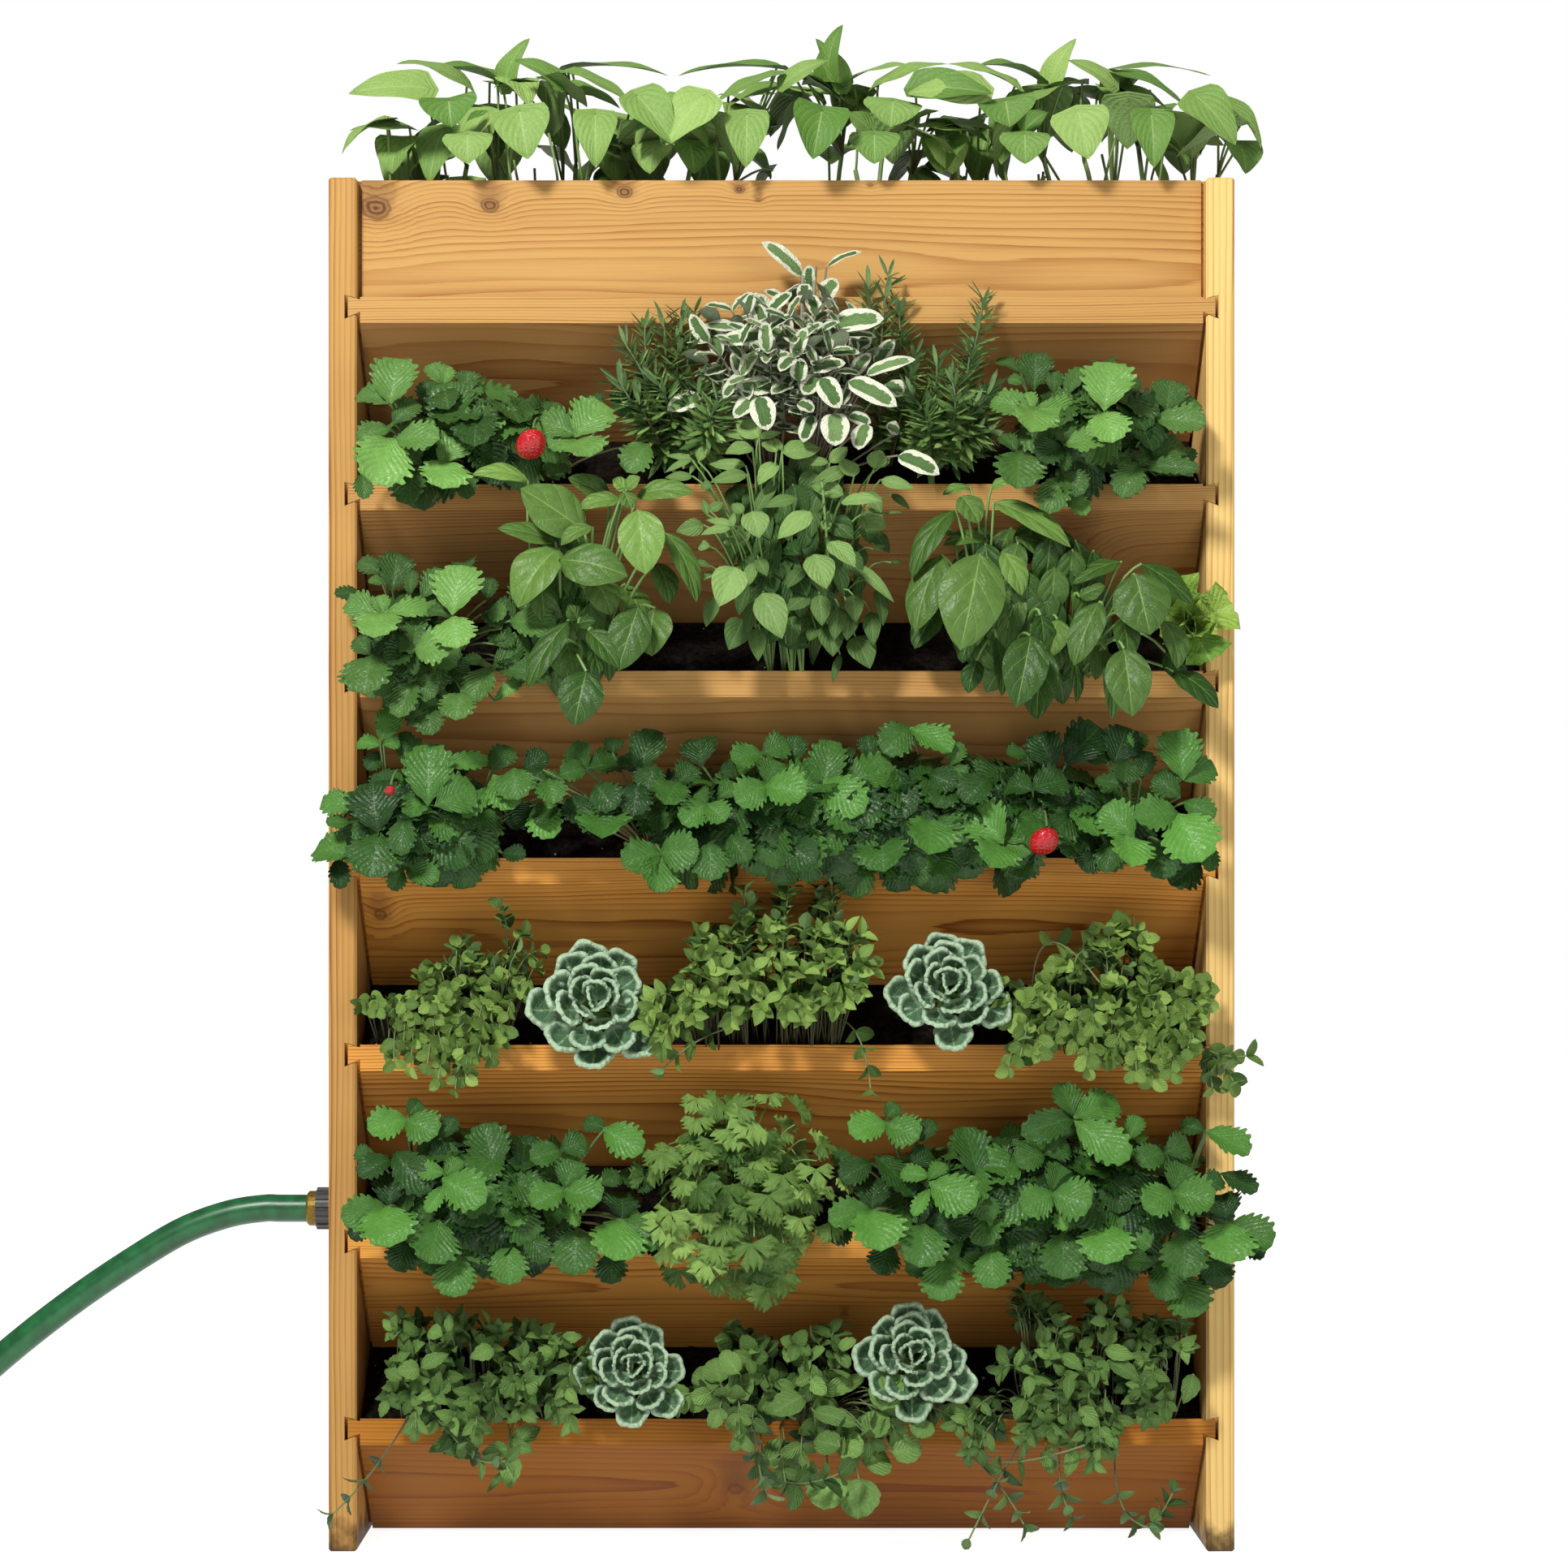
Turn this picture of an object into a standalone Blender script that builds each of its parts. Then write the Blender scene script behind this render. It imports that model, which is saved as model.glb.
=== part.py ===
"""Vertical garden planter: seven tilted cedar boards dovetailed between two side panels, with a
column of potting soil behind them, drip watering inside it, a hose inlet and the planting itself.

Metres, +Z up. The front faces -Y. The origin lies on the ground under the middle of the planting.
"""

import math

import bmesh
import bpy
import numpy as np
from mathutils import Matrix, Vector

# Wooden case
WIDTH = 0.813
DEPTH = 0.229
PANEL_THICKNESS = 0.0254
BOARD_THICKNESS = 0.017
BOARD_WIDTH = 0.1485
TIERS = 7
TIER_PITCH = 0.1677
TIER_TILT = math.radians(45)
GROUND_CLEARANCE = 0.003
FRONT_Y = -0.0595
PANEL_EASING = 0.002
ARRIS = 0.0012

# Dovetail joints, heights as they show on the plumb front of a board
SHOULDER_GAP = 0.003
TAIL_LENGTH = 0.011
TAIL_TIP_HEIGHT = 0.0182
TAIL_ROOT_HEIGHT = 0.0109
TAIL_ROOT_DROP = 0.0029
SOCKET_DEPTH = 0.011
SOCKET_SLACK = 0.0008
SOCKET_END_SLACK = 0.002

# Top board, back wall and floor
FASCIA_SHOWING = 0.107
FASCIA_SETBACK = 0.013
FASCIA_TAIL_TIP = 0.0125
FASCIA_TAIL_ROOT = 0.008
BACK_BOARDS = 8
BACK_INSET = 0.010
BACK_BOTTOM = 0.020
BACK_TOP_DROP = 0.021
BACK_BOARD_GAP = 0.0005
HOUSING_DEPTH = 0.008
HOUSING_SLACK = 0.0003
FLOOR_UNDERSIDE = 0.018
BOARD_EASING = 0.0015
FLOOR_EASING = 0.0005
CLEAR = 0.0005

# Soil
SOIL_TOP_DROP = 0.043
SOIL_SETBACK = 0.012
SOIL_END_GAP = 0.001
SOIL_NOTCH_MARGIN = 0.006

# Watering
INLET_HEIGHT = 0.2934
RISER_RADIUS = 0.0105
RISER_WALL_GAP = 0.0075
RISER_TOP_COVER = 0.015
RISER_FOOT = 0.135
STUB_RADIUS = 0.009
DRIP_RADIUS = 0.006
DRIP_BORE = 0.004
DRIP_ABOVE_RIM = 0.030
DRIP_TOP_COVER = 0.030
DRIP_END_MARGIN = 0.060
DRIP_CAP = 0.004
BARB_RADIUS = 0.0037
BARB_REACH = 0.012

# Hose inlet, lengths along X from the outside of the left panel
TAILPIECE_RADIUS = 0.009
FLANGE_RADIUS = 0.015
FLANGE_THICKNESS = 0.0037
LIP_RADIUS = 0.0125
LIP_THICKNESS = 0.002
NUT_GAP = 0.001
NUT_LENGTH = 0.030
NUT_RADIUS = 0.020
NUT_WALL = 0.004
NUT_THREAD_RADIUS = 0.0135
NUT_RIBS = 16
NUT_RIB_DEPTH = 0.0016
WASHER_THICKNESS = 0.003
WASHER_BORE = 0.007
THREAD_RADIUS = 0.013
COLLAR_RADIUS = 0.0165
COLLAR_LENGTH = 0.009
COLLAR_EASING = 0.002
FACE_GAP = 0.0003

# Hose
HOSE_RADIUS = 0.013
HOSE_REST = 0.0132
COIL_TURNS = 1.25
COIL_BEND_START = 0.174
COIL_BEND_END = 0.107
COIL_POINTS_PER_TURN = 24
COIL_END_LIFT = 0.0046
COIL_LIFT_LENGTH = 0.10
FERRULE_RADIUS = 0.015
FERRULE_LENGTH = 0.025
TAP_NECK_RADIUS = 0.0104
TAP_LIP_RADIUS = 0.0129
TAP_NUT_RADIUS = 0.0168
TAP_NUT_LENGTH = 0.022
TAP_NUT_BORE = 0.0135
TAP_NUT_RIBS = 12
TAP_NUT_RIB_DEPTH = 0.0012
SWIVEL_CLEARANCE = 0.0005

# Planting
ROOT_MARGIN = 0.008
LEAF_GAP = 0.001
CANOPY_ABOVE_CASE = 0.012
CANOPY_HEIGHT = 0.117
CANOPY_OVERHANG = 0.026
CANOPY_THICKNESS = 0.062
CANOPY_SAG = 0.28
CANOPY_DROOP = 0.40
CANOPY_MOUND = 0.656
CANOPY_PEAK = -0.590
CANOPY_TIP = 0.13
CANOPY_ROWS = 6
STEM_RADIUS = 0.005
STEM_STAGGER = 0.0145
LUMP_RINGS = 7
LUMP_SEGMENTS_PER_LOBE = 4
LUMP_ROUNDNESS = 0.8
LUMP_DOME = 1.5
LOBE_DEPTH = 0.10

HALF = WIDTH / 2
INNER = HALF - PANEL_THICKNESS
SHOULDER = INNER - SHOULDER_GAP
COS = math.cos(TIER_TILT)
SIN = math.sin(TIER_TILT)
DOWN_SLOPE = Vector((0, COS, -SIN))
OFF_SLOPE = Vector((0, SIN, COS))
RIM_HEIGHT = BOARD_THICKNESS / COS
BOTTOM_RIM = BOARD_WIDTH * SIN + BOARD_THICKNESS * COS + GROUND_CLEARANCE
RIMS = [BOTTOM_RIM + (TIERS - tier) * TIER_PITCH for tier in range(1, TIERS + 1)]
HEIGHT = RIMS[0] + FASCIA_SHOWING
BACK_Y = FRONT_Y + DEPTH
BACK_FACE = BACK_Y - BACK_INSET - BOARD_THICKNESS
FLOOR_TOP = FLOOR_UNDERSIDE + BOARD_THICKNESS
BOARD_REACH = FRONT_Y + BOARD_WIDTH * COS
RISER_Y = (BOARD_REACH + BACK_FACE) / 2
RISER_X = -INNER + RISER_WALL_GAP + RISER_RADIUS
SOIL_TOP = HEIGHT - SOIL_TOP_DROP

CEDAR = (0.62, 0.33, 0.12)
CEDAR_PALE = (0.72, 0.48, 0.22)
SOIL_BROWN = (0.025, 0.018, 0.014)
LEAF_GREEN = (0.09, 0.26, 0.04)
LEAF_DARK = (0.03, 0.14, 0.02)
SPROUT_GREEN = (0.16, 0.30, 0.18)
PIPE_BLACK = (0.03, 0.03, 0.03)
NUT_GREY = (0.06, 0.06, 0.065)
BRASS = (0.30, 0.22, 0.06)
HOSE_GREEN = (0.01, 0.13, 0.03)
WASHER_BLACK = (0.02, 0.02, 0.02)


def clear_scene():
    for obj in list(bpy.data.objects):
        bpy.data.objects.remove(obj)


clear_scene()
planter = bpy.data.collections.new("vertical_garden_planter")
bpy.context.scene.collection.children.link(planter)
cutters = bpy.data.collections.new("cutters")
bpy.context.scene.collection.children.link(cutters)
materials = {}


def finish(name, colour, roughness=0.6, metallic=0.0):
    """A Principled material, made once for each name."""
    if name not in materials:
        material = bpy.data.materials.new(name)
        material.use_nodes = True
        shader = material.node_tree.nodes["Principled BSDF"]
        shader.inputs["Base Color"].default_value = (*colour, 1.0)
        shader.inputs["Roughness"].default_value = roughness
        shader.inputs["Metallic"].default_value = metallic
        materials[name] = material
    return materials[name]


def add_part(name, data, material):
    obj = bpy.data.objects.new(name, data)
    obj.data.materials.append(material)
    planter.objects.link(obj)
    return obj


def add_cutter(name, data):
    obj = bpy.data.objects.new(name, data)
    cutters.objects.link(obj)
    obj.hide_render = True
    obj.display_type = "WIRE"
    return obj


def to_mesh(name, bm):
    bmesh.ops.recalc_face_normals(bm, faces=bm.faces)
    mesh = bpy.data.meshes.new(name)
    bm.to_mesh(mesh)
    bm.free()
    return mesh


def box_mesh(name, low, high):
    """A box between two corners."""
    low = Vector(low)
    high = Vector(high)
    bm = bmesh.new()
    bmesh.ops.create_cube(bm, size=1)
    bmesh.ops.scale(bm, vec=high - low, verts=bm.verts)
    bmesh.ops.translate(bm, vec=(low + high) / 2, verts=bm.verts)
    return to_mesh(name, bm)


def swept_bmesh(outline, sweep):
    """A flat outline of points carried straight along the sweep vector."""
    bm = bmesh.new()
    face = bm.faces.new([bm.verts.new(point) for point in outline])
    swept = bmesh.ops.extrude_face_region(bm, geom=[face])
    moved = [item for item in swept["geom"] if isinstance(item, bmesh.types.BMVert)]
    bmesh.ops.translate(bm, vec=sweep, verts=moved)
    bmesh.ops.recalc_face_normals(bm, faces=bm.faces)
    return bm


def swept_mesh(name, outline, sweep):
    return to_mesh(name, swept_bmesh(outline, sweep))


def rod_mesh(name, start, direction, length, radius, sides=16):
    """A round rod from a point along a direction."""
    bm = bmesh.new()
    bmesh.ops.create_cone(
        bm, cap_ends=True, segments=sides, radius1=radius, radius2=radius, depth=length
    )
    bmesh.ops.translate(bm, vec=(0, 0, length / 2), verts=bm.verts)
    turn = Vector(direction).to_track_quat("Z", "Y").to_matrix().to_4x4()
    bmesh.ops.transform(bm, matrix=Matrix.Translation(start) @ turn, verts=bm.verts)
    return to_mesh(name, bm)


def turned(name, profile, start, direction, sides, link):
    """A profile of (radius, distance) points spun about an axis by a Screw modifier.

    Its points run down the outer side, from the far end to the near one, and back up the bore.
    """
    mesh = bpy.data.meshes.new(name)
    points = [(radius, 0, distance) for radius, distance in profile]
    count = len(points)
    closed = profile[0][0] > 0 and profile[-1][0] > 0
    edges = [(i, i + 1) for i in range(count - 1)]
    if closed:
        edges.append((count - 1, 0))
    mesh.from_pydata(points, edges, [])
    obj = link(name, mesh)
    turn = Vector(direction).to_track_quat("Z", "Y")
    obj.rotation_mode = "QUATERNION"
    obj.rotation_quaternion = turn
    obj.location = start
    screw = obj.modifiers.new("Screw", "SCREW")
    screw.steps = sides
    screw.render_steps = sides
    screw.use_merge_vertices = True
    screw.merge_threshold = 0.00001
    screw.use_smooth_shade = True
    return obj


def turned_part(name, profile, start, direction, sides, material):
    return turned(name, profile, start, direction, sides, lambda n, d: add_part(n, d, material))


def turned_cutter(name, profile, start, direction, sides):
    return turned(name, profile, start, direction, sides, add_cutter)


def cut(obj, cutter, operation="DIFFERENCE"):
    modifier = obj.modifiers.new(cutter.name, "BOOLEAN")
    modifier.operation = operation
    modifier.solver = "EXACT"
    modifier.object = cutter


def ease(obj, width, angle=40):
    """Rounds the edges over by a small bevel."""
    bevel = obj.modifiers.new("Eased edges", "BEVEL")
    bevel.width = width
    bevel.segments = 1
    bevel.limit_method = "ANGLE"
    bevel.angle_limit = math.radians(angle)


def tail_flanks(out, slack):
    """Top and bottom of a tail, as drops below the rim, at a distance out from the shoulder."""
    share = out / TAIL_LENGTH
    top = TAIL_ROOT_DROP * (1 - share)
    bottom = top + TAIL_ROOT_HEIGHT + (TAIL_TIP_HEIGHT - TAIL_ROOT_HEIGHT) * share
    return top - slack, bottom + slack


def tier_outline(rim):
    """Front of a tier board: a plumb face between shoulders, with a tail on each end."""
    root_top, root_bottom = tail_flanks(0, 0)
    tip_top, tip_bottom = tail_flanks(TAIL_LENGTH, 0)
    tip = SHOULDER + TAIL_LENGTH
    right = [
        (SHOULDER, 0),
        (SHOULDER, root_top),
        (tip, tip_top),
        (tip, tip_bottom),
        (SHOULDER, root_bottom),
        (SHOULDER, RIM_HEIGHT),
    ]
    left = [(-x, drop) for x, drop in reversed(right)]
    return [Vector((x, FRONT_Y, rim - drop)) for x, drop in right + left]


def socket_outline(rim):
    """The matching sockets of both panels, joined by a bar that lies in the open between them."""
    deep = INNER + SOCKET_DEPTH
    mouth_top, mouth_bottom = tail_flanks(SHOULDER_GAP, SOCKET_SLACK)
    deep_top, deep_bottom = tail_flanks(SHOULDER_GAP + SOCKET_DEPTH, SOCKET_SLACK)
    right = [(INNER, mouth_top), (deep, deep_top), (deep, deep_bottom), (INNER, mouth_bottom)]
    left = [(-x, drop) for x, drop in reversed(right)]
    return [Vector((x, FRONT_Y, rim - drop)) for x, drop in right + left]


def squared_sweep(outline, rim, length):
    """Sweeps a front outline down the slope and saws its far end square to the board."""
    bm = swept_bmesh(outline, DOWN_SLOPE * (length + 2 * RIM_HEIGHT))
    end = Vector((0, FRONT_Y, rim)) + DOWN_SLOPE * length
    geometry = bm.verts[:] + bm.edges[:] + bm.faces[:]
    bmesh.ops.bisect_plane(
        bm, geom=geometry, plane_co=end, plane_no=DOWN_SLOPE, clear_outer=True
    )
    bmesh.ops.holes_fill(bm, edges=[edge for edge in bm.edges if edge.is_boundary])
    return bm


def tier_board(tier):
    """A tilted board whose front is cut plumb, with its top arris eased."""
    rim = RIMS[tier - 1]
    bm = squared_sweep(tier_outline(rim), rim, BOARD_WIDTH)
    arris = [
        edge
        for edge in bm.edges
        if all(abs(v.co.y - FRONT_Y) < ARRIS / 10 for v in edge.verts)
        and all(abs(v.co.z - rim) < ARRIS / 10 for v in edge.verts)
        and edge.calc_length() > SHOULDER
    ]
    bmesh.ops.bevel(bm, geom=arris, offset=ARRIS, segments=2, profile=0.5, affect="EDGES")
    mesh = to_mesh(f"tier_board_{tier}", bm)
    add_part(f"tier_board_{tier}", mesh, finish("cedar", CEDAR))


def socket_cutter(tier):
    """Runs out past the panels' front, so that the boards slide in from there."""
    rim = RIMS[tier - 1]
    outline = socket_outline(rim)
    lead_in = DOWN_SLOPE * -(PANEL_THICKNESS)
    outline = [point + lead_in for point in outline]
    run = BOARD_WIDTH + SOCKET_END_SLACK
    bm = swept_bmesh(outline, DOWN_SLOPE * (PANEL_THICKNESS + run + 2 * RIM_HEIGHT))
    end = Vector((0, FRONT_Y, rim)) + DOWN_SLOPE * run
    geometry = bm.verts[:] + bm.edges[:] + bm.faces[:]
    bmesh.ops.bisect_plane(
        bm, geom=geometry, plane_co=end, plane_no=DOWN_SLOPE, clear_outer=True
    )
    bmesh.ops.holes_fill(bm, edges=[edge for edge in bm.edges if edge.is_boundary])
    return add_cutter(f"socket_{tier}", to_mesh(f"socket_{tier}", bm))


def fascia_outline(reach, body, root, tip, low):
    """Plan of the top board or of its grooves: tails centred on its thickness."""
    middle = FRONT_Y + FASCIA_SETBACK + BOARD_THICKNESS / 2
    right = [
        (SHOULDER, body / 2),
        (SHOULDER, root / 2),
        (reach, tip / 2),
        (reach, -tip / 2),
        (SHOULDER, -root / 2),
        (SHOULDER, -body / 2),
    ]
    left = [(-x, -y) for x, y in right]
    return [Vector((x, middle + y, low)) for x, y in right + left]


def fascia_board():
    """The upright top board stands on the slope of the first tier board, behind its rim."""
    low = RIMS[0] - FASCIA_SETBACK * SIN / COS + CLEAR
    outline = fascia_outline(
        SHOULDER + TAIL_LENGTH, BOARD_THICKNESS, FASCIA_TAIL_ROOT, FASCIA_TAIL_TIP, low
    )
    mesh = swept_mesh("fascia_board", outline, Vector((0, 0, HEIGHT - low)))
    add_part("fascia_board", mesh, finish("cedar", CEDAR))
    slack = 2 * SOCKET_SLACK
    groove = fascia_outline(
        INNER + SOCKET_DEPTH,
        FASCIA_TAIL_ROOT + slack,
        FASCIA_TAIL_ROOT + slack,
        FASCIA_TAIL_TIP + slack,
        low - SOCKET_SLACK,
    )
    run = Vector((0, 0, HEIGHT - low + 2 * PANEL_THICKNESS))
    return add_cutter("fascia_groove", swept_mesh("fascia_groove", groove, run))


def housed_board(name, low_y, high_y, low_z, high_z, easing):
    """A plain board whose ends sit in housings cut in both panels."""
    reach = INNER + HOUSING_DEPTH - HOUSING_SLACK
    mesh = box_mesh(name, (-reach, low_y, low_z), (reach, high_y, high_z))
    obj = add_part(name, mesh, finish("cedar", CEDAR))
    ease(obj, easing)
    return obj


def back_and_floor():
    """Back wall of boards dropped one on another, and the board under the soil."""
    low = BACK_FACE
    high = BACK_FACE + BOARD_THICKNESS
    pitch = (HEIGHT - BACK_TOP_DROP - BACK_BOTTOM) / BACK_BOARDS
    for index in range(BACK_BOARDS):
        foot = BACK_BOTTOM + index * pitch
        name = f"back_board_{index + 1}"
        housed_board(name, low, high, foot, foot + pitch - BACK_BOARD_GAP, BOARD_EASING)
    reach = INNER + HOUSING_DEPTH
    slack = HOUSING_SLACK
    groove = box_mesh(
        "back_groove",
        (-reach, low - slack, BACK_BOTTOM - slack),
        (reach, high + slack, HEIGHT + PANEL_THICKNESS),
    )
    run_to_board = (RIMS[-1] - FLOOR_UNDERSIDE) * COS / SIN
    floor_front = FRONT_Y + run_to_board + CLEAR / SIN
    floor_back = BACK_FACE - CLEAR
    housed_board(
        "floor_board", floor_front, floor_back, FLOOR_UNDERSIDE, FLOOR_TOP, FLOOR_EASING
    )
    dado = box_mesh(
        "floor_dado",
        (-reach, floor_front - slack, FLOOR_UNDERSIDE - slack),
        (reach, BACK_FACE, FLOOR_TOP + slack),
    )
    return [add_cutter("back_groove", groove), add_cutter("floor_dado", dado)]


def side_panels(joinery):
    for name, side in (("side_panel_left", -1), ("side_panel_right", 1)):
        near, far = sorted((side * INNER, side * HALF))
        obj = add_part(
            name,
            box_mesh(name, (near, FRONT_Y, 0), (far, BACK_Y, HEIGHT)),
            finish("cedar_pale", CEDAR_PALE),
        )
        ease(obj, PANEL_EASING)
        for cutter in joinery:
            cut(obj, cutter)
        if side < 0:
            hole = rod_mesh(
                "inlet_hole",
                (-HALF - PANEL_THICKNESS, RISER_Y, INLET_HEIGHT),
                (1, 0, 0),
                3 * PANEL_THICKNESS,
                TAILPIECE_RADIUS + SWIVEL_CLEARANCE,
                20,
            )
            cut(obj, add_cutter("inlet_hole", hole))


def on_slope(rim, down, up):
    """A point of a tier board's section: down the slope from its rim, and up off its top face."""
    return Vector((0, FRONT_Y, rim)) + DOWN_SLOPE * down + OFF_SLOPE * up


def soil_front(rim):
    """Where the soil of a pocket thins out on the board behind its rim."""
    return on_slope(rim, SOIL_SETBACK / COS, CLEAR)


def soil_back(rim_above):
    """Where the soil of a pocket meets the lower edge of the board above."""
    return on_slope(rim_above, BOARD_WIDTH + CLEAR, -(BOARD_THICKNESS + CLEAR))


def potting_soil():
    """One mass: a column behind the boards, with a wedge in each pocket, open to the front."""
    fascia_back = FRONT_Y + FASCIA_SETBACK + BOARD_THICKNESS + CLEAR
    top_drop = fascia_back - FRONT_Y
    section = [
        Vector((0, BACK_FACE - CLEAR, SOIL_TOP)),
        Vector((0, fascia_back, SOIL_TOP)),
        Vector((0, fascia_back, RIMS[0] - top_drop * SIN / COS + CLEAR / COS)),
    ]
    for above, rim in zip(RIMS, RIMS[1:]):
        section.append(on_slope(above, BOARD_WIDTH + CLEAR, CLEAR))
        section.append(soil_back(above))
        section.append(soil_front(rim))
    floor = FLOOR_TOP + CLEAR
    down = (RIMS[-1] + CLEAR * COS - floor) / SIN
    section.append(on_slope(RIMS[-1], down, CLEAR))
    section.append(Vector((0, BACK_FACE - CLEAR, floor)))
    reach = INNER - SOIL_END_GAP
    outline = [point + Vector((-reach, 0, 0)) for point in section]
    mesh = swept_mesh("potting_soil", outline, Vector((2 * reach, 0, 0)))
    soil = add_part("potting_soil", mesh, finish("potting_soil", SOIL_BROWN, 0.95))
    margin = RISER_RADIUS + SOIL_NOTCH_MARGIN
    notch = box_mesh(
        "riser_notch",
        (-INNER - margin, RISER_Y - margin, RISER_FOOT - CLEAR),
        (RISER_X + margin, RISER_Y + margin, SOIL_TOP - RISER_TOP_COVER + CLEAR),
    )
    cut(soil, add_cutter("riser_notch", notch))
    for index, height in enumerate(drip_heights()):
        start = Vector((RISER_X, RISER_Y, height))
        length = drip_end() + CLEAR - RISER_X
        tunnel = rod_mesh(
            f"drip_tunnel_{index + 1}", start, (1, 0, 0), length, DRIP_RADIUS + CLEAR, 12
        )
        cut(soil, add_cutter(f"drip_tunnel_{index + 1}", tunnel))


def drip_heights():
    """One line under the top planting and one behind each pocket."""
    pockets = [rim + DRIP_ABOVE_RIM for rim in RIMS[1:]]
    return [SOIL_TOP - DRIP_TOP_COVER] + pockets


def drip_start():
    return RISER_X + RISER_RADIUS + SOIL_NOTCH_MARGIN / 2


def drip_end():
    return INNER - DRIP_END_MARGIN


def watering():
    """Riser pipe with a barb for each drip line, and the drip lines, closed at their far ends."""
    top = SOIL_TOP - RISER_TOP_COVER
    start = Vector((RISER_X, RISER_Y, RISER_FOOT))
    black = finish("black_pipe", PIPE_BLACK, 0.5)
    riser = add_part(
        "riser_pipe",
        rod_mesh("riser_pipe", start, (0, 0, 1), top - RISER_FOOT, RISER_RADIUS, 16),
        black,
    )
    inlet_reach = RISER_X - (-INNER + FLANGE_THICKNESS + 2 * FACE_GAP)
    stub = rod_mesh(
        "riser_stub",
        (RISER_X, RISER_Y, INLET_HEIGHT),
        (-1, 0, 0),
        inlet_reach,
        STUB_RADIUS,
        16,
    )
    cut(riser, add_cutter("riser_stub", stub), "UNION")
    for index, height in enumerate(drip_heights()):
        barb = rod_mesh(
            f"drip_barb_{index + 1}",
            (RISER_X, RISER_Y, height),
            (1, 0, 0),
            drip_start() + BARB_REACH - RISER_X,
            BARB_RADIUS,
            8,
        )
        cut(riser, add_cutter(f"drip_barb_{index + 1}", barb), "UNION")
        length = drip_end() - drip_start()
        pipe = [
            (0, length),
            (DRIP_RADIUS, length),
            (DRIP_RADIUS, 0),
            (DRIP_BORE, 0),
            (DRIP_BORE, length - DRIP_CAP),
            (0, length - DRIP_CAP),
        ]
        turned_part(
            f"drip_line_{index + 1}",
            pipe,
            (drip_start(), RISER_Y, height),
            (1, 0, 0),
            12,
            black,
        )


def ribbed_nut(name, radius, ribs, rib_depth, length, start, direction, bore, material):
    """A round nut with square-edged grip ribs, bored by a turned cutter."""
    outline = []
    for index in range(ribs):
        for share, r in (
            (0.0, radius - rib_depth),
            (0.30, radius - rib_depth),
            (0.42, radius),
            (0.88, radius),
        ):
            angle = 2 * math.pi * (index + share) / ribs
            outline.append(Vector((r * math.cos(angle), r * math.sin(angle), 0)))
    bm = swept_bmesh(outline, Vector((0, 0, length)))
    turn = Vector(direction).to_track_quat("Z", "Y").to_matrix().to_4x4()
    bmesh.ops.transform(bm, matrix=turn, verts=bm.verts)
    obj = add_part(name, to_mesh(name, bm), material)
    obj.location = start
    cutter = turned_cutter(f"{name}_bore", bore, start, direction, 24)
    cut(obj, cutter)
    return obj


def hose_inlet():
    """Tailpiece through the left panel, its captive swivel nut, and the hose end screwed into it."""
    outside = -HALF
    away = Vector((-1, 0, 0))
    axis = Vector((outside, RISER_Y, INLET_HEIGHT))
    inside = -(PANEL_THICKNESS + FLANGE_THICKNESS + FACE_GAP)
    nut_end = NUT_GAP + NUT_LENGTH
    lip_far = NUT_GAP + NUT_WALL + FACE_GAP + LIP_THICKNESS
    tailpiece = [
        (0, lip_far),
        (LIP_RADIUS, lip_far),
        (LIP_RADIUS, lip_far - LIP_THICKNESS),
        (TAILPIECE_RADIUS, lip_far - LIP_THICKNESS),
        (TAILPIECE_RADIUS, -(PANEL_THICKNESS + FACE_GAP)),
        (FLANGE_RADIUS, -(PANEL_THICKNESS + FACE_GAP)),
        (FLANGE_RADIUS, inside),
        (0, inside),
    ]
    grey = finish("grey_plastic", NUT_GREY, 0.45)
    turned_part("inlet_tailpiece", tailpiece, axis, away, 24, grey)
    neck = TAILPIECE_RADIUS + SWIVEL_CLEARANCE
    bore = [
        (0, NUT_LENGTH + NUT_GAP),
        (NUT_THREAD_RADIUS, NUT_LENGTH + NUT_GAP),
        (NUT_THREAD_RADIUS, NUT_WALL),
        (neck, NUT_WALL),
        (neck, -NUT_GAP),
        (0, -NUT_GAP),
    ]
    ribbed_nut(
        "inlet_swivel_nut",
        NUT_RADIUS,
        NUT_RIBS,
        NUT_RIB_DEPTH,
        NUT_LENGTH,
        axis + away * NUT_GAP,
        away,
        bore,
        grey,
    )
    seat = lip_far + FACE_GAP
    washer = [
        (LIP_RADIUS, seat + WASHER_THICKNESS),
        (LIP_RADIUS, seat),
        (WASHER_BORE, seat),
        (WASHER_BORE, seat + WASHER_THICKNESS),
    ]
    turned_part(
        "hose_washer", washer, axis, away, 24, finish("black_rubber", WASHER_BLACK, 0.8)
    )
    thread_start = seat + WASHER_THICKNESS + FACE_GAP
    collar_start = nut_end + FACE_GAP
    collar_end = collar_start + COLLAR_LENGTH
    male_end = [
        (0, collar_end),
        (COLLAR_RADIUS - COLLAR_EASING, collar_end),
        (COLLAR_RADIUS, collar_end - COLLAR_EASING),
        (COLLAR_RADIUS, collar_start),
        (THREAD_RADIUS, collar_start),
        (THREAD_RADIUS, thread_start),
        (0, thread_start),
    ]
    turned_part("hose_male_end", male_end, axis, away, 24, finish("brass", BRASS, 0.35, 1.0))
    return axis + away * (collar_end + FACE_GAP)


def smooth_curve(points, steps):
    """Catmull-Rom curve through all but the end points, which are joined on by straight legs."""
    points = [np.array(point) for point in points]
    curve = [points[0]]
    for a, b, c, d in zip(points, points[1:], points[2:], points[3:]):
        for t in np.arange(steps) / steps:
            cubic = (-a + 3 * b - 3 * c + d) * t**3
            square = (2 * a - 5 * b + 4 * c - d) * t**2
            curve.append((cubic + square + (c - a) * t + 2 * b) / 2)
    return np.array(curve + points[-2:])


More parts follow.
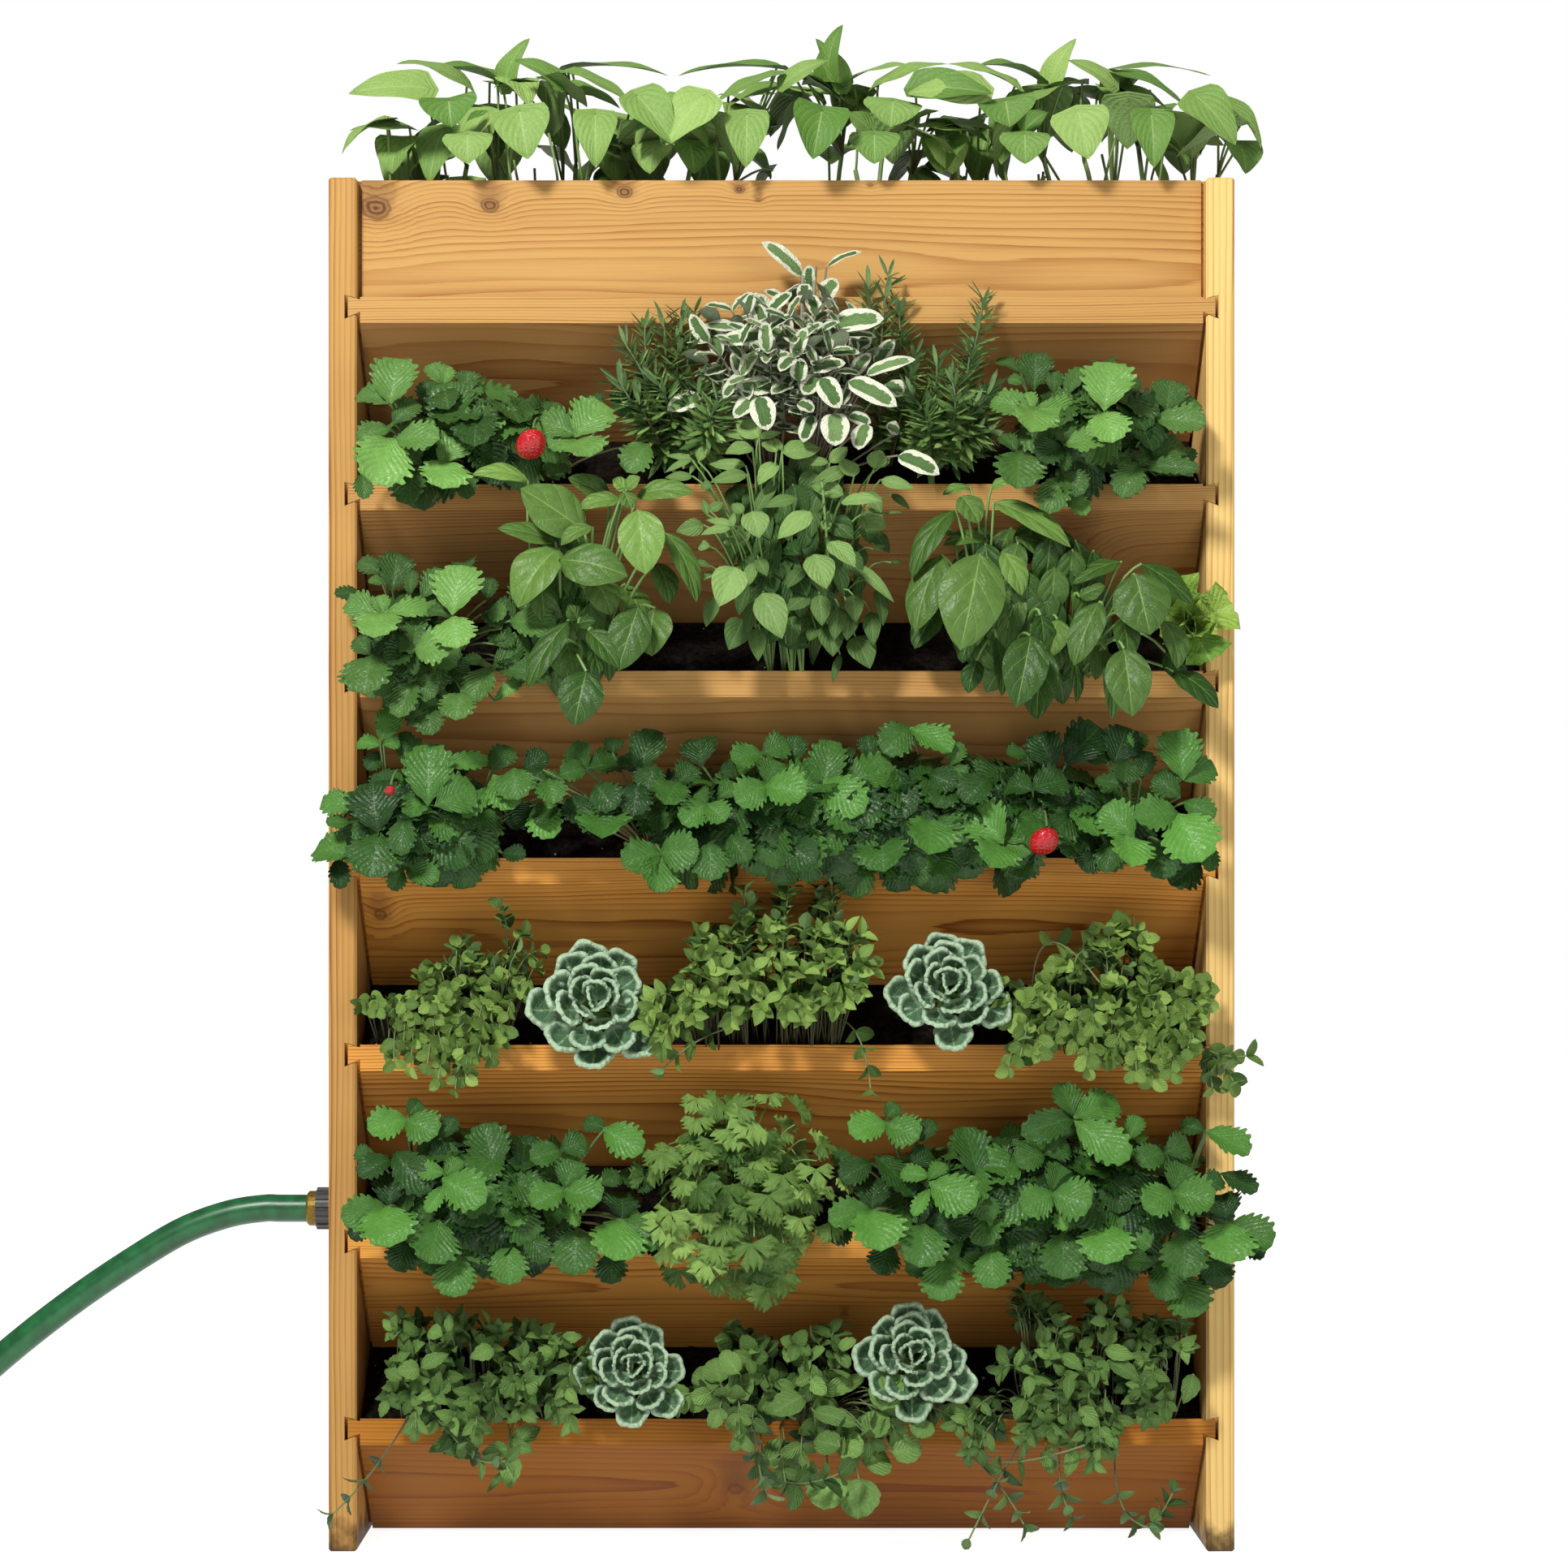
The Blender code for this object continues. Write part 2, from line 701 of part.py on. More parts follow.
def hose_route(start):
    """Centre line of the free hose: out of the collar, down in a bow, and along the ground.

    Each place is a distance out from the collar and a share of the inlet's height.
    """
    places = (
        (0.0, 1.0),
        (0.026, 1.0),
        (0.041, 1.0),
        (0.073, 0.982),
        (0.113, 0.932),
        (0.153, 0.851),
        (0.213, 0.709),
        (0.273, 0.545),
        (0.328, 0.374),
        (0.378, 0.210),
        (0.428, 0.081),
        (0.478, 0.016),
        (0.518, 0.0015),
        (0.543, 0.0),
        (0.569, 0.0),
    )
    drop = start.z - HOSE_REST
    return [(start.x - out, start.y, HOSE_REST + share * drop) for out, share in places]


def coil_curve(start):
    """Turns on the ground whose bend tightens at a steady rate, with the end raised a little.

    Both ends are straight for one hose diameter.
    """
    count = round(COIL_POINTS_PER_TURN * COIL_TURNS)
    middle = (np.arange(count) + 0.5) / count
    bend = COIL_BEND_START + (COIL_BEND_END - COIL_BEND_START) * middle
    arcs = bend * 2 * math.pi * COIL_TURNS / count
    straight = [2 * HOSE_RADIUS]
    turning = np.concatenate([[0.0], middle, [1.0]])
    lengths = np.concatenate([straight, arcs, straight])
    heading = math.pi + 2 * math.pi * COIL_TURNS * turning
    legs = np.stack([np.cos(heading), np.sin(heading)], axis=1) * lengths[:, None]
    plan = np.concatenate([[[0.0, 0.0]], np.cumsum(legs, axis=0)]) + np.array(start[:2])
    run = np.concatenate([[0.0], np.cumsum(lengths)])
    rise = np.clip((run - run[-2] + COIL_LIFT_LENGTH) / COIL_LIFT_LENGTH, 0, 1)
    height = start[2] + COIL_END_LIFT * rise**2 * (3 - 2 * rise)
    return np.column_stack([plan, height])


def hose_part(name, points, bevel_resolution):
    curve = bpy.data.curves.new(name, "CURVE")
    curve.dimensions = "3D"
    curve.bevel_depth = HOSE_RADIUS
    curve.bevel_resolution = bevel_resolution
    curve.use_fill_caps = True
    spline = curve.splines.new("POLY")
    spline.points.add(len(points) - 1)
    for point, place in zip(spline.points, points):
        point.co = (*place, 1)
    return add_part(name, curve, finish("green_hose", HOSE_GREEN, 0.35))


def least_self_gap(points, apart):
    """Smallest clear distance between stretches of the coil that lie some way apart along it."""
    places = np.concatenate([[0], np.cumsum(np.linalg.norm(np.diff(points, axis=0), axis=1))])
    distance = np.linalg.norm(points[:, None] - points[None], axis=2)
    far = np.abs(places[:, None] - places[None]) > apart
    return distance[far].min() - 2 * HOSE_RADIUS


def hose_and_tap_coupling(start):
    """The leader hose, its turns, and the coupling for the tap on its far end."""
    route = hose_route(start)
    hose_part("hose_tube", smooth_curve(route, 2), 2)
    coil_start = np.array(route[-1]) - np.array([FACE_GAP, 0, 0])
    coil = coil_curve(coil_start)
    hose_part("hose_coil", coil, 1)
    print("least gap between turns of the hose, mm:", 1000 * least_self_gap(coil, 0.25))
    heading = math.pi + 2 * math.pi * COIL_TURNS
    away = Vector((round(math.cos(heading), 6), round(math.sin(heading), 6), 0))
    end = Vector(coil[-1]) + away * FACE_GAP
    brass = finish("brass", BRASS, 0.35, 1.0)
    lip_start = FERRULE_LENGTH + NUT_GAP + NUT_WALL + FACE_GAP
    ferrule = [
        (0, lip_start + LIP_THICKNESS),
        (TAP_LIP_RADIUS, lip_start + LIP_THICKNESS),
        (TAP_LIP_RADIUS, lip_start),
        (TAP_NECK_RADIUS, lip_start),
        (TAP_NECK_RADIUS, FERRULE_LENGTH),
        (FERRULE_RADIUS, FERRULE_LENGTH),
        (FERRULE_RADIUS, 0),
        (0, 0),
    ]
    turned_part("tap_coupling_ferrule", ferrule, end, away, 24, brass)
    hole = TAP_NECK_RADIUS + SWIVEL_CLEARANCE
    bore = [
        (0, TAP_NUT_LENGTH + NUT_GAP),
        (TAP_NUT_BORE, TAP_NUT_LENGTH + NUT_GAP),
        (TAP_NUT_BORE, NUT_WALL),
        (hole, NUT_WALL),
        (hole, -NUT_GAP),
        (0, -NUT_GAP),
    ]
    ribbed_nut(
        "tap_coupling_nut",
        TAP_NUT_RADIUS,
        TAP_NUT_RIBS,
        TAP_NUT_RIB_DEPTH,
        TAP_NUT_LENGTH,
        end + away * (FERRULE_LENGTH + NUT_GAP),
        away,
        bore,
        brass,
    )


def lump_bmesh(low, high, lobes, phase):
    """A domed clump filling the space between two corners, its outline drawn into lobes."""
    low = Vector(low)
    high = Vector(high)
    bm = bmesh.new()
    segments = LUMP_SEGMENTS_PER_LOBE * lobes
    bmesh.ops.create_uvsphere(bm, u_segments=segments, v_segments=LUMP_RINGS, radius=1)
    bmesh.ops.rotate(bm, matrix=Matrix.Rotation(math.radians(90), 3, "X"), verts=bm.verts)
    for vert in bm.verts:
        angle = math.atan2(vert.co.z, vert.co.x)
        swell = 1 + LOBE_DEPTH * math.sin(lobes * angle + phase)
        vert.co.x = math.copysign(abs(vert.co.x) ** LUMP_ROUNDNESS, vert.co.x) * swell
        vert.co.z = math.copysign(abs(vert.co.z) ** LUMP_ROUNDNESS, vert.co.z) * swell
        if vert.co.y < 0:
            vert.co.y = -(abs(vert.co.y) ** LUMP_DOME)
    least = Vector([min(vert.co[axis] for vert in bm.verts) for axis in range(3)])
    most = Vector([max(vert.co[axis] for vert in bm.verts) for axis in range(3)])
    for vert in bm.verts:
        for axis in range(3):
            share = (vert.co[axis] - least[axis]) / (most[axis] - least[axis])
            vert.co[axis] = low[axis] + share * (high[axis] - low[axis])
    return bm


def pocket_space(tier):
    """The room a pocket's planting may fill: in front of the case, and in over the soil."""
    rim = RIMS[tier - 1]
    above = RIMS[tier - 2]
    slack = LEAF_GAP / COS
    lap = 2 * LEAF_GAP
    under = Vector((0, FRONT_Y, above - RIM_HEIGHT - slack))
    depth = soil_back(above).y - ROOT_MARGIN - FRONT_Y
    roof = under + DOWN_SLOPE * (depth / COS)
    front = soil_front(rim) + Vector((0, 0, LEAF_GAP))
    back = soil_back(above) + Vector((0, 0, LEAF_GAP))
    share = (FRONT_Y + depth - front.y) / (back.y - front.y)
    outline = [
        Vector((0, FRONT_Y - lap, rim + lap + slack)),
        front,
        front.lerp(back, share),
        roof,
        under - DOWN_SLOPE * (lap / COS),
    ]
    reach = SHOULDER - LEAF_GAP
    outline = [point - Vector((reach, 0, 0)) for point in outline]
    wedge = swept_mesh(f"pocket_{tier}", outline, Vector((2 * reach, 0, 0)))
    pocket = add_cutter(f"pocket_{tier}", wedge)
    room = box_mesh(
        f"pocket_front_{tier}",
        (-WIDTH, FRONT_Y - DEPTH, rim - TIER_PITCH),
        (WIDTH, FRONT_Y - LEAF_GAP, above + TIER_PITCH),
    )
    cut(pocket, add_cutter(f"pocket_front_{tier}", room), "UNION")
    return pocket


def clump(name, pocket, tier, left, right, hang, headroom, reach, lobes, phase, material):
    """One plant: from a drop below its own rim to a drop below the rim above it."""
    rim = RIMS[tier - 1]
    above = RIMS[tier - 2]
    back = soil_back(above).y - ROOT_MARGIN + LEAF_GAP
    low = (left * INNER, FRONT_Y - reach * TIER_PITCH, rim - hang * TIER_PITCH)
    high = (right * INNER, back, above - headroom * TIER_PITCH)
    bm = lump_bmesh(low, high, lobes, phase)
    obj = add_part(name, to_mesh(name, bm), material)
    cut(obj, pocket, "INTERSECT")
    return obj


def planting():
    """The plants of each pocket, from left to right.

    Each row holds a name, the tier, the left and right ends as shares of half the pocket's length,
    then as shares of the tier pitch the drops below its own rim and below the rim above and the
    reach in front of the case, and last the number of lobes, their phase and the leaf.
    """
    leaf = finish("leaf_green", LEAF_GREEN, 0.55)
    dark = finish("leaf_dark", LEAF_DARK, 0.5)
    sprout = finish("sprout_green", SPROUT_GREEN, 0.5)
    pockets = {tier: pocket_space(tier) for tier in range(2, TIERS + 1)}
    plants = (
        ("strawberry_1_left", 2, -1.000, -0.415, 0.107, 0.370, 0.477, 5, 0.3, leaf),
        ("sage_1", 2, -0.231, 0.255, -0.310, -0.173, 0.566, 6, 1.1, leaf),
        ("strawberry_1_right", 2, 0.475, 0.981, 0.072, 0.310, 0.507, 5, 2.0, leaf),
        ("strawberry_2_left", 3, -1.002, -0.711, 0.358, 0.400, 0.537, 4, 0.6, leaf),
        ("basil_2_left", 3, -0.698, -0.299, 0.316, 0.137, 0.626, 5, 1.7, leaf),
        ("basil_2_middle", 3, -0.213, 0.265, 0.060, -0.274, 0.656, 5, 0.2, leaf),
        ("basil_2_right", 3, 0.278, 0.887, 0.292, 0.107, 0.626, 5, 2.4, leaf),
        ("strawberry_3_left", 4, -1.081, -0.580, 0.173, 0.394, 0.537, 5, 0.9, dark),
        ("strawberry_3_right", 4, -0.496, 1.010, 0.185, 0.340, 0.507, 9, 0.4, dark),
        ("oregano_4_left", 5, -1.002, -0.601, 0.239, 0.244, 0.477, 5, 1.3, leaf),
        ("sprout_4_left", 5, -0.585, -0.281, 0.155, 0.382, 0.566, 5, 0.0, sprout),
        ("oregano_4_middle", 5, -0.268, 0.186, -0.036, 0.221, 0.507, 5, 2.2, leaf),
        ("sprout_4_right", 5, 0.257, 0.512, 0.060, 0.322, 0.566, 5, 0.8, sprout),
        ("oregano_4_right", 5, 0.522, 1.113, 0.262, 0.221, 0.537, 6, 0.5, leaf),
        ("strawberry_5_left", 6, -1.013, -0.399, 0.286, 0.304, 0.566, 6, 1.9, dark),
        ("cilantro_5", 6, -0.336, 0.134, 0.328, 0.179, 0.596, 7, 0.7, leaf),
        ("strawberry_5_right", 6, 0.144, 1.118, 0.328, 0.292, 0.596, 8, 1.2, dark),
        ("mint_6_left", 7, -1.034, -0.485, 0.441, 0.411, 0.537, 6, 0.1, leaf),
        ("sprout_6_left", 7, -0.478, -0.215, 0.024, 0.382, 0.537, 5, 1.5, sprout),
        ("mint_6_middle", 7, -0.205, 0.144, 0.459, 0.501, 0.537, 5, 2.6, leaf),
        ("sprout_6_right", 7, 0.152, 0.459, -0.072, 0.364, 0.566, 5, 0.5, sprout),
        ("mint_6_right", 7, 0.530, 0.981, 0.566, 0.501, 0.537, 6, 1.0, leaf),
    )
    for name, tier, *shape in plants:
        clump(name, pockets[tier], tier, *shape)


def canopy_bmesh(low, high, columns):
    """A roof of leaves between two corners, in mounds along its length and drooping to both sides.

    The upper side is a grid of points. Each falls short of the full height by a cosine between the
    mounds and by the square of the distance from the middle line. Every other column stops short of
    the front and the back, which leaves pointed tips. The underside follows at one thickness, and
    is cut off level at the lower corner.
    """
    bm = bmesh.new()
    middle = (low[1] + high[1]) / 2
    half = (high[1] - low[1]) / 2
    rise = high[2] - low[2]
    upper, under = [], []
    for column in range(columns + 1):
        x = low[0] + (high[0] - low[0]) * column / columns
        turn = 2 * math.pi * (x / INNER - CANOPY_PEAK) / CANOPY_MOUND
        reach = 1 - CANOPY_TIP * (column % 2 + (column in (0, columns)))
        tops, bottoms = [], []
        for row in range(CANOPY_ROWS + 1):
            across = reach * (2 * row / CANOPY_ROWS - 1)
            fall = CANOPY_SAG * (1 - math.cos(turn)) / 2 + CANOPY_DROOP * across**2
            y = middle + across * half
            z = high[2] - rise * fall
            tops.append(bm.verts.new((x, y, z)))
            bottoms.append(bm.verts.new((x, y, max(z - CANOPY_THICKNESS, low[2]))))
        upper.append(tops)
        under.append(bottoms)
    for column in range(columns):
        for row in range(CANOPY_ROWS):
            for grid in (upper, under):
                near, far = grid[column], grid[column + 1]
                bm.faces.new((near[row], far[row], far[row + 1]))
                bm.faces.new((near[row], far[row + 1], near[row + 1]))
        for row in (0, CANOPY_ROWS):
            top, bottom = upper[column][row], under[column][row]
            next_top, next_bottom = upper[column + 1][row], under[column + 1][row]
            bm.faces.new((top, next_top, next_bottom))
            bm.faces.new((top, next_bottom, bottom))
    for column in (0, columns):
        tops, bottoms = upper[column], under[column]
        for row in range(CANOPY_ROWS):
            bm.faces.new((tops[row], tops[row + 1], bottoms[row + 1], bottoms[row]))
    return bm


def bean_plants(name, left, right, stems, columns):
    """Beans in the open top: thin stems out of the soil, carrying a canopy of leaves.

    The ends and the stems are given as shares of half the pocket's length.
    """
    canopy_low = HEIGHT + CANOPY_ABOVE_CASE
    low = (left * INNER, FRONT_Y - CANOPY_OVERHANG, canopy_low)
    high = (right * INNER, BACK_FACE - CLEAR, canopy_low + CANOPY_HEIGHT)
    canopy = canopy_bmesh(low, high, columns)
    obj = add_part(name, to_mesh(name, canopy), finish("leaf_green", LEAF_GREEN, 0.55))
    start = SOIL_TOP + CLEAR
    length = canopy_low + CANOPY_HEIGHT / 2 - start
    for index, x in enumerate(stems):
        y = RISER_Y - (-1) ** index * STEM_STAGGER
        label = f"{name}_stem_{index + 1}"
        stem = rod_mesh(label, (x * INNER, y, start), (0, 0, 1), length, STEM_RADIUS, 6)
        cut(obj, add_cutter(label, stem), "UNION")


joinery = [socket_cutter(tier) for tier in range(1, TIERS + 1)]
for tier in range(1, TIERS + 1):
    tier_board(tier)
joinery.append(fascia_board())
joinery.extend(back_and_floor())
side_panels(joinery)
potting_soil()
watering()
hose_exit = hose_inlet()
hose_and_tap_coupling(hose_exit)
planting()
bean_plants("bean_plants_left", -1.055, 0.010, (-0.866, -0.656, -0.420, -0.157), 16)
bean_plants("bean_plants_right", 0.021, 1.147, (0.184, 0.394, 0.630, 0.866), 16)
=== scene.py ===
"""A cedar vertical garden planter before a white backdrop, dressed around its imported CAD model."""

import math

import bpy
import numpy as np
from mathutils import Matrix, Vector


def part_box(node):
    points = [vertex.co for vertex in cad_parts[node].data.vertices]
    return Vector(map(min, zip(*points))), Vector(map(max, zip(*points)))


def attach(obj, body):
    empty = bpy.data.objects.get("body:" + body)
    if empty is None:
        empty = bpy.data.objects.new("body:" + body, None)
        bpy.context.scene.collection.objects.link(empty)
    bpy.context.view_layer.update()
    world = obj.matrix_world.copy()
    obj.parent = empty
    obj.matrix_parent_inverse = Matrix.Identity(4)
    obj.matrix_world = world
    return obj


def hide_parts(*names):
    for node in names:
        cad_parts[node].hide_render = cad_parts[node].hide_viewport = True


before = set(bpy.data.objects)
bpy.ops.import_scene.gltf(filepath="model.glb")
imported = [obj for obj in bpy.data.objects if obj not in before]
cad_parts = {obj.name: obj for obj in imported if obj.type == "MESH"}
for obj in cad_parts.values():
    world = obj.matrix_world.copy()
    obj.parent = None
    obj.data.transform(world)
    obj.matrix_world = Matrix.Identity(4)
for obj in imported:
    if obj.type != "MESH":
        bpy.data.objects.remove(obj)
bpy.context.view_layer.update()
scene = bpy.context.scene
scene.view_settings.view_transform = "Standard"

# View: a long lens at about half the planter's height, level, and a little left of its middle.
# The picture's centre lies above the lens axis, as in a camera with a rising front.
CAMERA_LEFT, CAMERA_AWAY, CAMERA_HEIGHT = 0.0182, 2.85, 0.584
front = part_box("side_panel_right")[0][1]
camera = bpy.data.objects.new("camera", bpy.data.cameras.new("camera"))
scene.collection.objects.link(camera)
camera.location = (-CAMERA_LEFT, front - CAMERA_AWAY, CAMERA_HEIGHT)
camera.rotation_euler = (math.radians(90), 0, 0)
camera.data.sensor_width = 36
camera.data.lens = 72.95
camera.data.shift_x = 0.0145
camera.data.shift_y = 0.0745
scene.camera = camera

# Studio: a wide pale floor under a white surround. A large soft lamp stands high at the front
# left, a weaker one low at the right, and the surround fills the shadows evenly.
SURROUND_LIGHT = 0.22
FLOOR_GLOW = 0.90
FLOOR_REACH = 9.0


def ray_share(tree, *kinds):
    """A value that is 1 for rays of either of two kinds and 0 for all others."""
    path = tree.nodes.new("ShaderNodeLightPath")
    seen = tree.nodes.new("ShaderNodeMath")
    seen.operation = "MAXIMUM"
    for number, kind in enumerate(kinds):
        tree.links.new(path.outputs[kind], seen.inputs[number])
    return seen.outputs[0]


def new_material(name, roughness, specular=None):
    """A material, its node tree and its shader, at a roughness and, where given, a specular level."""
    material = bpy.data.materials.new(name)
    material.use_nodes = True
    shader = material.node_tree.nodes["Principled BSDF"]
    shader.inputs["Roughness"].default_value = roughness
    if specular is not None:
        shader.inputs["Specular IOR Level"].default_value = specular
    return material, material.node_tree, shader


def lamp(name, place, aim, size, watts):
    """A square soft lamp at a place, turned to face a point."""
    light = bpy.data.lights.new(name, "AREA")
    light.size = size
    light.energy = watts
    holder = bpy.data.objects.new(name, light)
    scene.collection.objects.link(holder)
    holder.location = place
    towards = np.array(aim) - np.array(place)
    flat = math.hypot(towards[0], towards[1])
    holder.rotation_euler = (
        math.atan2(flat, -towards[2]),
        0,
        math.atan2(towards[0], -towards[1]) + math.pi,
    )


world = bpy.data.worlds.new("surround")
world.use_nodes = True
scene.world = world
tree = world.node_tree
surround = tree.nodes["Background"]
surround.inputs["Color"].default_value = (1, 1, 1, 1)
strength = tree.nodes.new("ShaderNodeMapRange")
strength.inputs["To Min"].default_value = SURROUND_LIGHT
strength.inputs["To Max"].default_value = 1.0
tree.links.new(ray_share(tree, "Is Camera Ray", "Is Transmission Ray"), strength.inputs["Value"])
tree.links.new(strength.outputs[0], surround.inputs["Strength"])
lamp("key_lamp", (-1.3, -2.7, 3.1), (0, 0, 0.6), 0.6, 132)
lamp("fill_lamp", (2.0, -2.6, 1.2), (0, 0, 0.6), 1.6, 18)

floor_mesh = bpy.data.meshes.new("floor")
floor_mesh.from_pydata(
    [(x * FLOOR_REACH, y * FLOOR_REACH, 0) for x, y in ((-1, -1), (1, -1), (1, 1), (-1, 1))],
    [],
    [(0, 1, 2, 3)],
)
floor = bpy.data.objects.new("floor", floor_mesh)
scene.collection.objects.link(floor)
paper, tree, shader = new_material("floor_paper", 0.9, 0.1)
shader.inputs["Base Color"].default_value = (0.86, 0.86, 0.86, 1)
shader.inputs["Emission Color"].default_value = (1, 1, 1, 1)
glow = tree.nodes.new("ShaderNodeMath")
glow.operation = "MULTIPLY"
glow.inputs[1].default_value = FLOOR_GLOW
tree.links.new(ray_share(tree, "Is Camera Ray", "Is Glossy Ray"), glow.inputs[0])
tree.links.new(glow.outputs[0], shader.inputs["Emission Strength"])
floor_mesh.materials.append(paper)

# Garden hose: 1.8 m of green vinyl leader hose, 26 mm outside. It leaves the inlet level, sinks in
# a bow to the ground and lies there in a loose ring, which ends in the coupling for the tap.
HOSE_RADIUS = 0.013
HOSE_REST = 0.0132
INLET_HEIGHT = 0.2934
RING_FROM_INLET = 0.5693
RING_TURNS, RING_STEPS = 1.25, 60
RING_BEND, RING_TIGHTENING = 0.174, 0.067
END_LIFT, LIFT_LENGTH = 0.0046, 0.10
inlet = np.array(
    [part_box("hose_tube")[1][0], sum(c[1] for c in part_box("hose_male_end")) / 2, INLET_HEIGHT]
)


def hose_line():
    """Catmull-Rom curve through the bow's places, then a ring whose bend tightens steadily.

    A place is a distance out from the collar and a share of the inlet's height. Along the ring
    the heading turns by 1.25 turns while the radius falls in a straight line.
    """
    places = np.array(
        [(0.0, 1.0), (0.026, 1.0), (0.041, 1.0), (0.073, 0.982), (0.113, 0.932), (0.153, 0.851)]
        + [(0.213, 0.709), (0.273, 0.545), (0.328, 0.374), (0.378, 0.210), (0.428, 0.081)]
        + [(0.478, 0.016), (0.518, 0.0015), (0.543, 0.0), (0.569, 0.0)]
    )
    a, b, c, d = places[:-3, None], places[1:-2, None], places[2:-1, None], places[3:, None]
    t = (np.arange(4) / 4)[None, :, None]
    cubic, square = -a + 3 * b - 3 * c + d, 2 * a - 5 * b + 4 * c - d
    bow = ((cubic * t + square) * t + c - a) * t / 2 + b
    bow = np.concatenate([places[:1], bow.reshape(-1, 2), places[-2:-1]])
    drop = inlet[2] - HOSE_REST
    bow = np.column_stack(
        [inlet[0] - bow[:, 0], np.full(len(bow), inlet[1]), HOSE_REST + bow[:, 1] * drop]
    )
    middle = (np.arange(RING_STEPS) + 0.5) / RING_STEPS
    arcs = (RING_BEND - RING_TIGHTENING * middle) * 2 * math.pi * RING_TURNS / RING_STEPS
    lengths = np.concatenate([[2 * HOSE_RADIUS], arcs, [2 * HOSE_RADIUS]])
    heading = math.pi + 2 * math.pi * RING_TURNS * np.concatenate([[0], middle, [1]])
    legs = np.column_stack([np.cos(heading), np.sin(heading)]) * lengths[:, None]
    start = np.array([inlet[0] - RING_FROM_INLET, inlet[1]])
    ring = np.concatenate([[[0.0, 0.0]], np.cumsum(legs, axis=0)]) + start
    run = np.concatenate([[0.0], np.cumsum(lengths)])
    rise = np.clip((run - run[-2] + LIFT_LENGTH) / LIFT_LENGTH, 0, 1)
    height = HOSE_REST + END_LIFT * rise**2 * (3 - 2 * rise)
    return np.concatenate([bow, np.column_stack([ring, height])])


centre_line = hose_line()
hose_curve = bpy.data.curves.new("garden_hose", "CURVE")
hose_curve.dimensions = "3D"
hose_curve.bevel_depth = HOSE_RADIUS
hose_curve.bevel_resolution = 6
hose_curve.use_fill_caps = True
spline = hose_curve.splines.new("POLY")
spline.points.add(len(centre_line) - 1)
spline.points.foreach_set("co", np.column_stack([centre_line, np.ones(len(centre_line))]).ravel())
spline.use_smooth = True
hose = bpy.data.objects.new("garden_hose", hose_curve)
scene.collection.objects.link(hose)
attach(hose, "planter")
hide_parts("hose_tube", "hose_coil")

# Cedar case: planed one-inch boards, finished with clear oil and left unpainted. Every board was
# sawn from its own log, so each has its own pith line and ring width, and some have knots.
def node(tree, kind, sockets=None, **options):
    """Adds a shader node, sets its options, and fills or wires its sockets by name or number."""
    made = tree.nodes.new("ShaderNode" + kind)
    for option, value in options.items():
        setattr(made, option, value)
    for socket, value in (sockets or {}).items():
        if isinstance(value, bpy.types.NodeSocket):
            tree.links.new(value, made.inputs[socket])
        else:
            made.inputs[socket].default_value = value
    return made


def reckon(tree, operation, *values):
    """One step of arithmetic in a node tree: the operation on one to three values."""
    return node(tree, "Math", dict(enumerate(values)), operation=operation).outputs[0]


def reckon_vector(tree, operation, first, second):
    """One step of arithmetic in a node tree on two vectors."""
    return node(tree, "VectorMath", {0: first, 1: second}, operation=operation).outputs[0]


def stretched_noise(tree, place, scale, detail=2.0, output="Fac"):
    """Noise of unit scale at a place that is stretched by three factors."""
    place = node(tree, "Mapping", {"Vector": place, "Scale": scale}).outputs[0]
    sockets = {"Vector": place, "Scale": 1.0, "Detail": detail}
    return node(tree, "TexNoise", sockets).outputs[output]


def ramp(tree, value, low, high):
    """Rises smoothly from 0 to 1 as the value goes from low to high."""
    sockets = {"Value": value, "From Min": low, "From Max": high}
    return node(tree, "MapRange", sockets, interpolation_type="SMOOTHSTEP").outputs[0]


def blend(tree, share, first, second):
    """Colour mixed from the first to the second as the share goes from 0 to 1."""
    sockets = {"Factor": share, 6: first, 7: second}
    return node(tree, "Mix", sockets, data_type="RGBA").outputs[2]


def new_group(name, inputs, outputs):
    """A shader node group with named inputs and outputs, given as (name, kind, value)."""
    tree = bpy.data.node_groups.new(name, "ShaderNodeTree")
    for label, kind, value in inputs:
        socket = tree.interface.new_socket(label, in_out="INPUT", socket_type="NodeSocket" + kind)
        if value is not None:
            socket.default_value = value
    for label, kind in outputs:
        tree.interface.new_socket(label, in_out="OUTPUT", socket_type="NodeSocket" + kind)
    return tree, tree.nodes.new("NodeGroupInput"), tree.nodes.new("NodeGroupOutput")


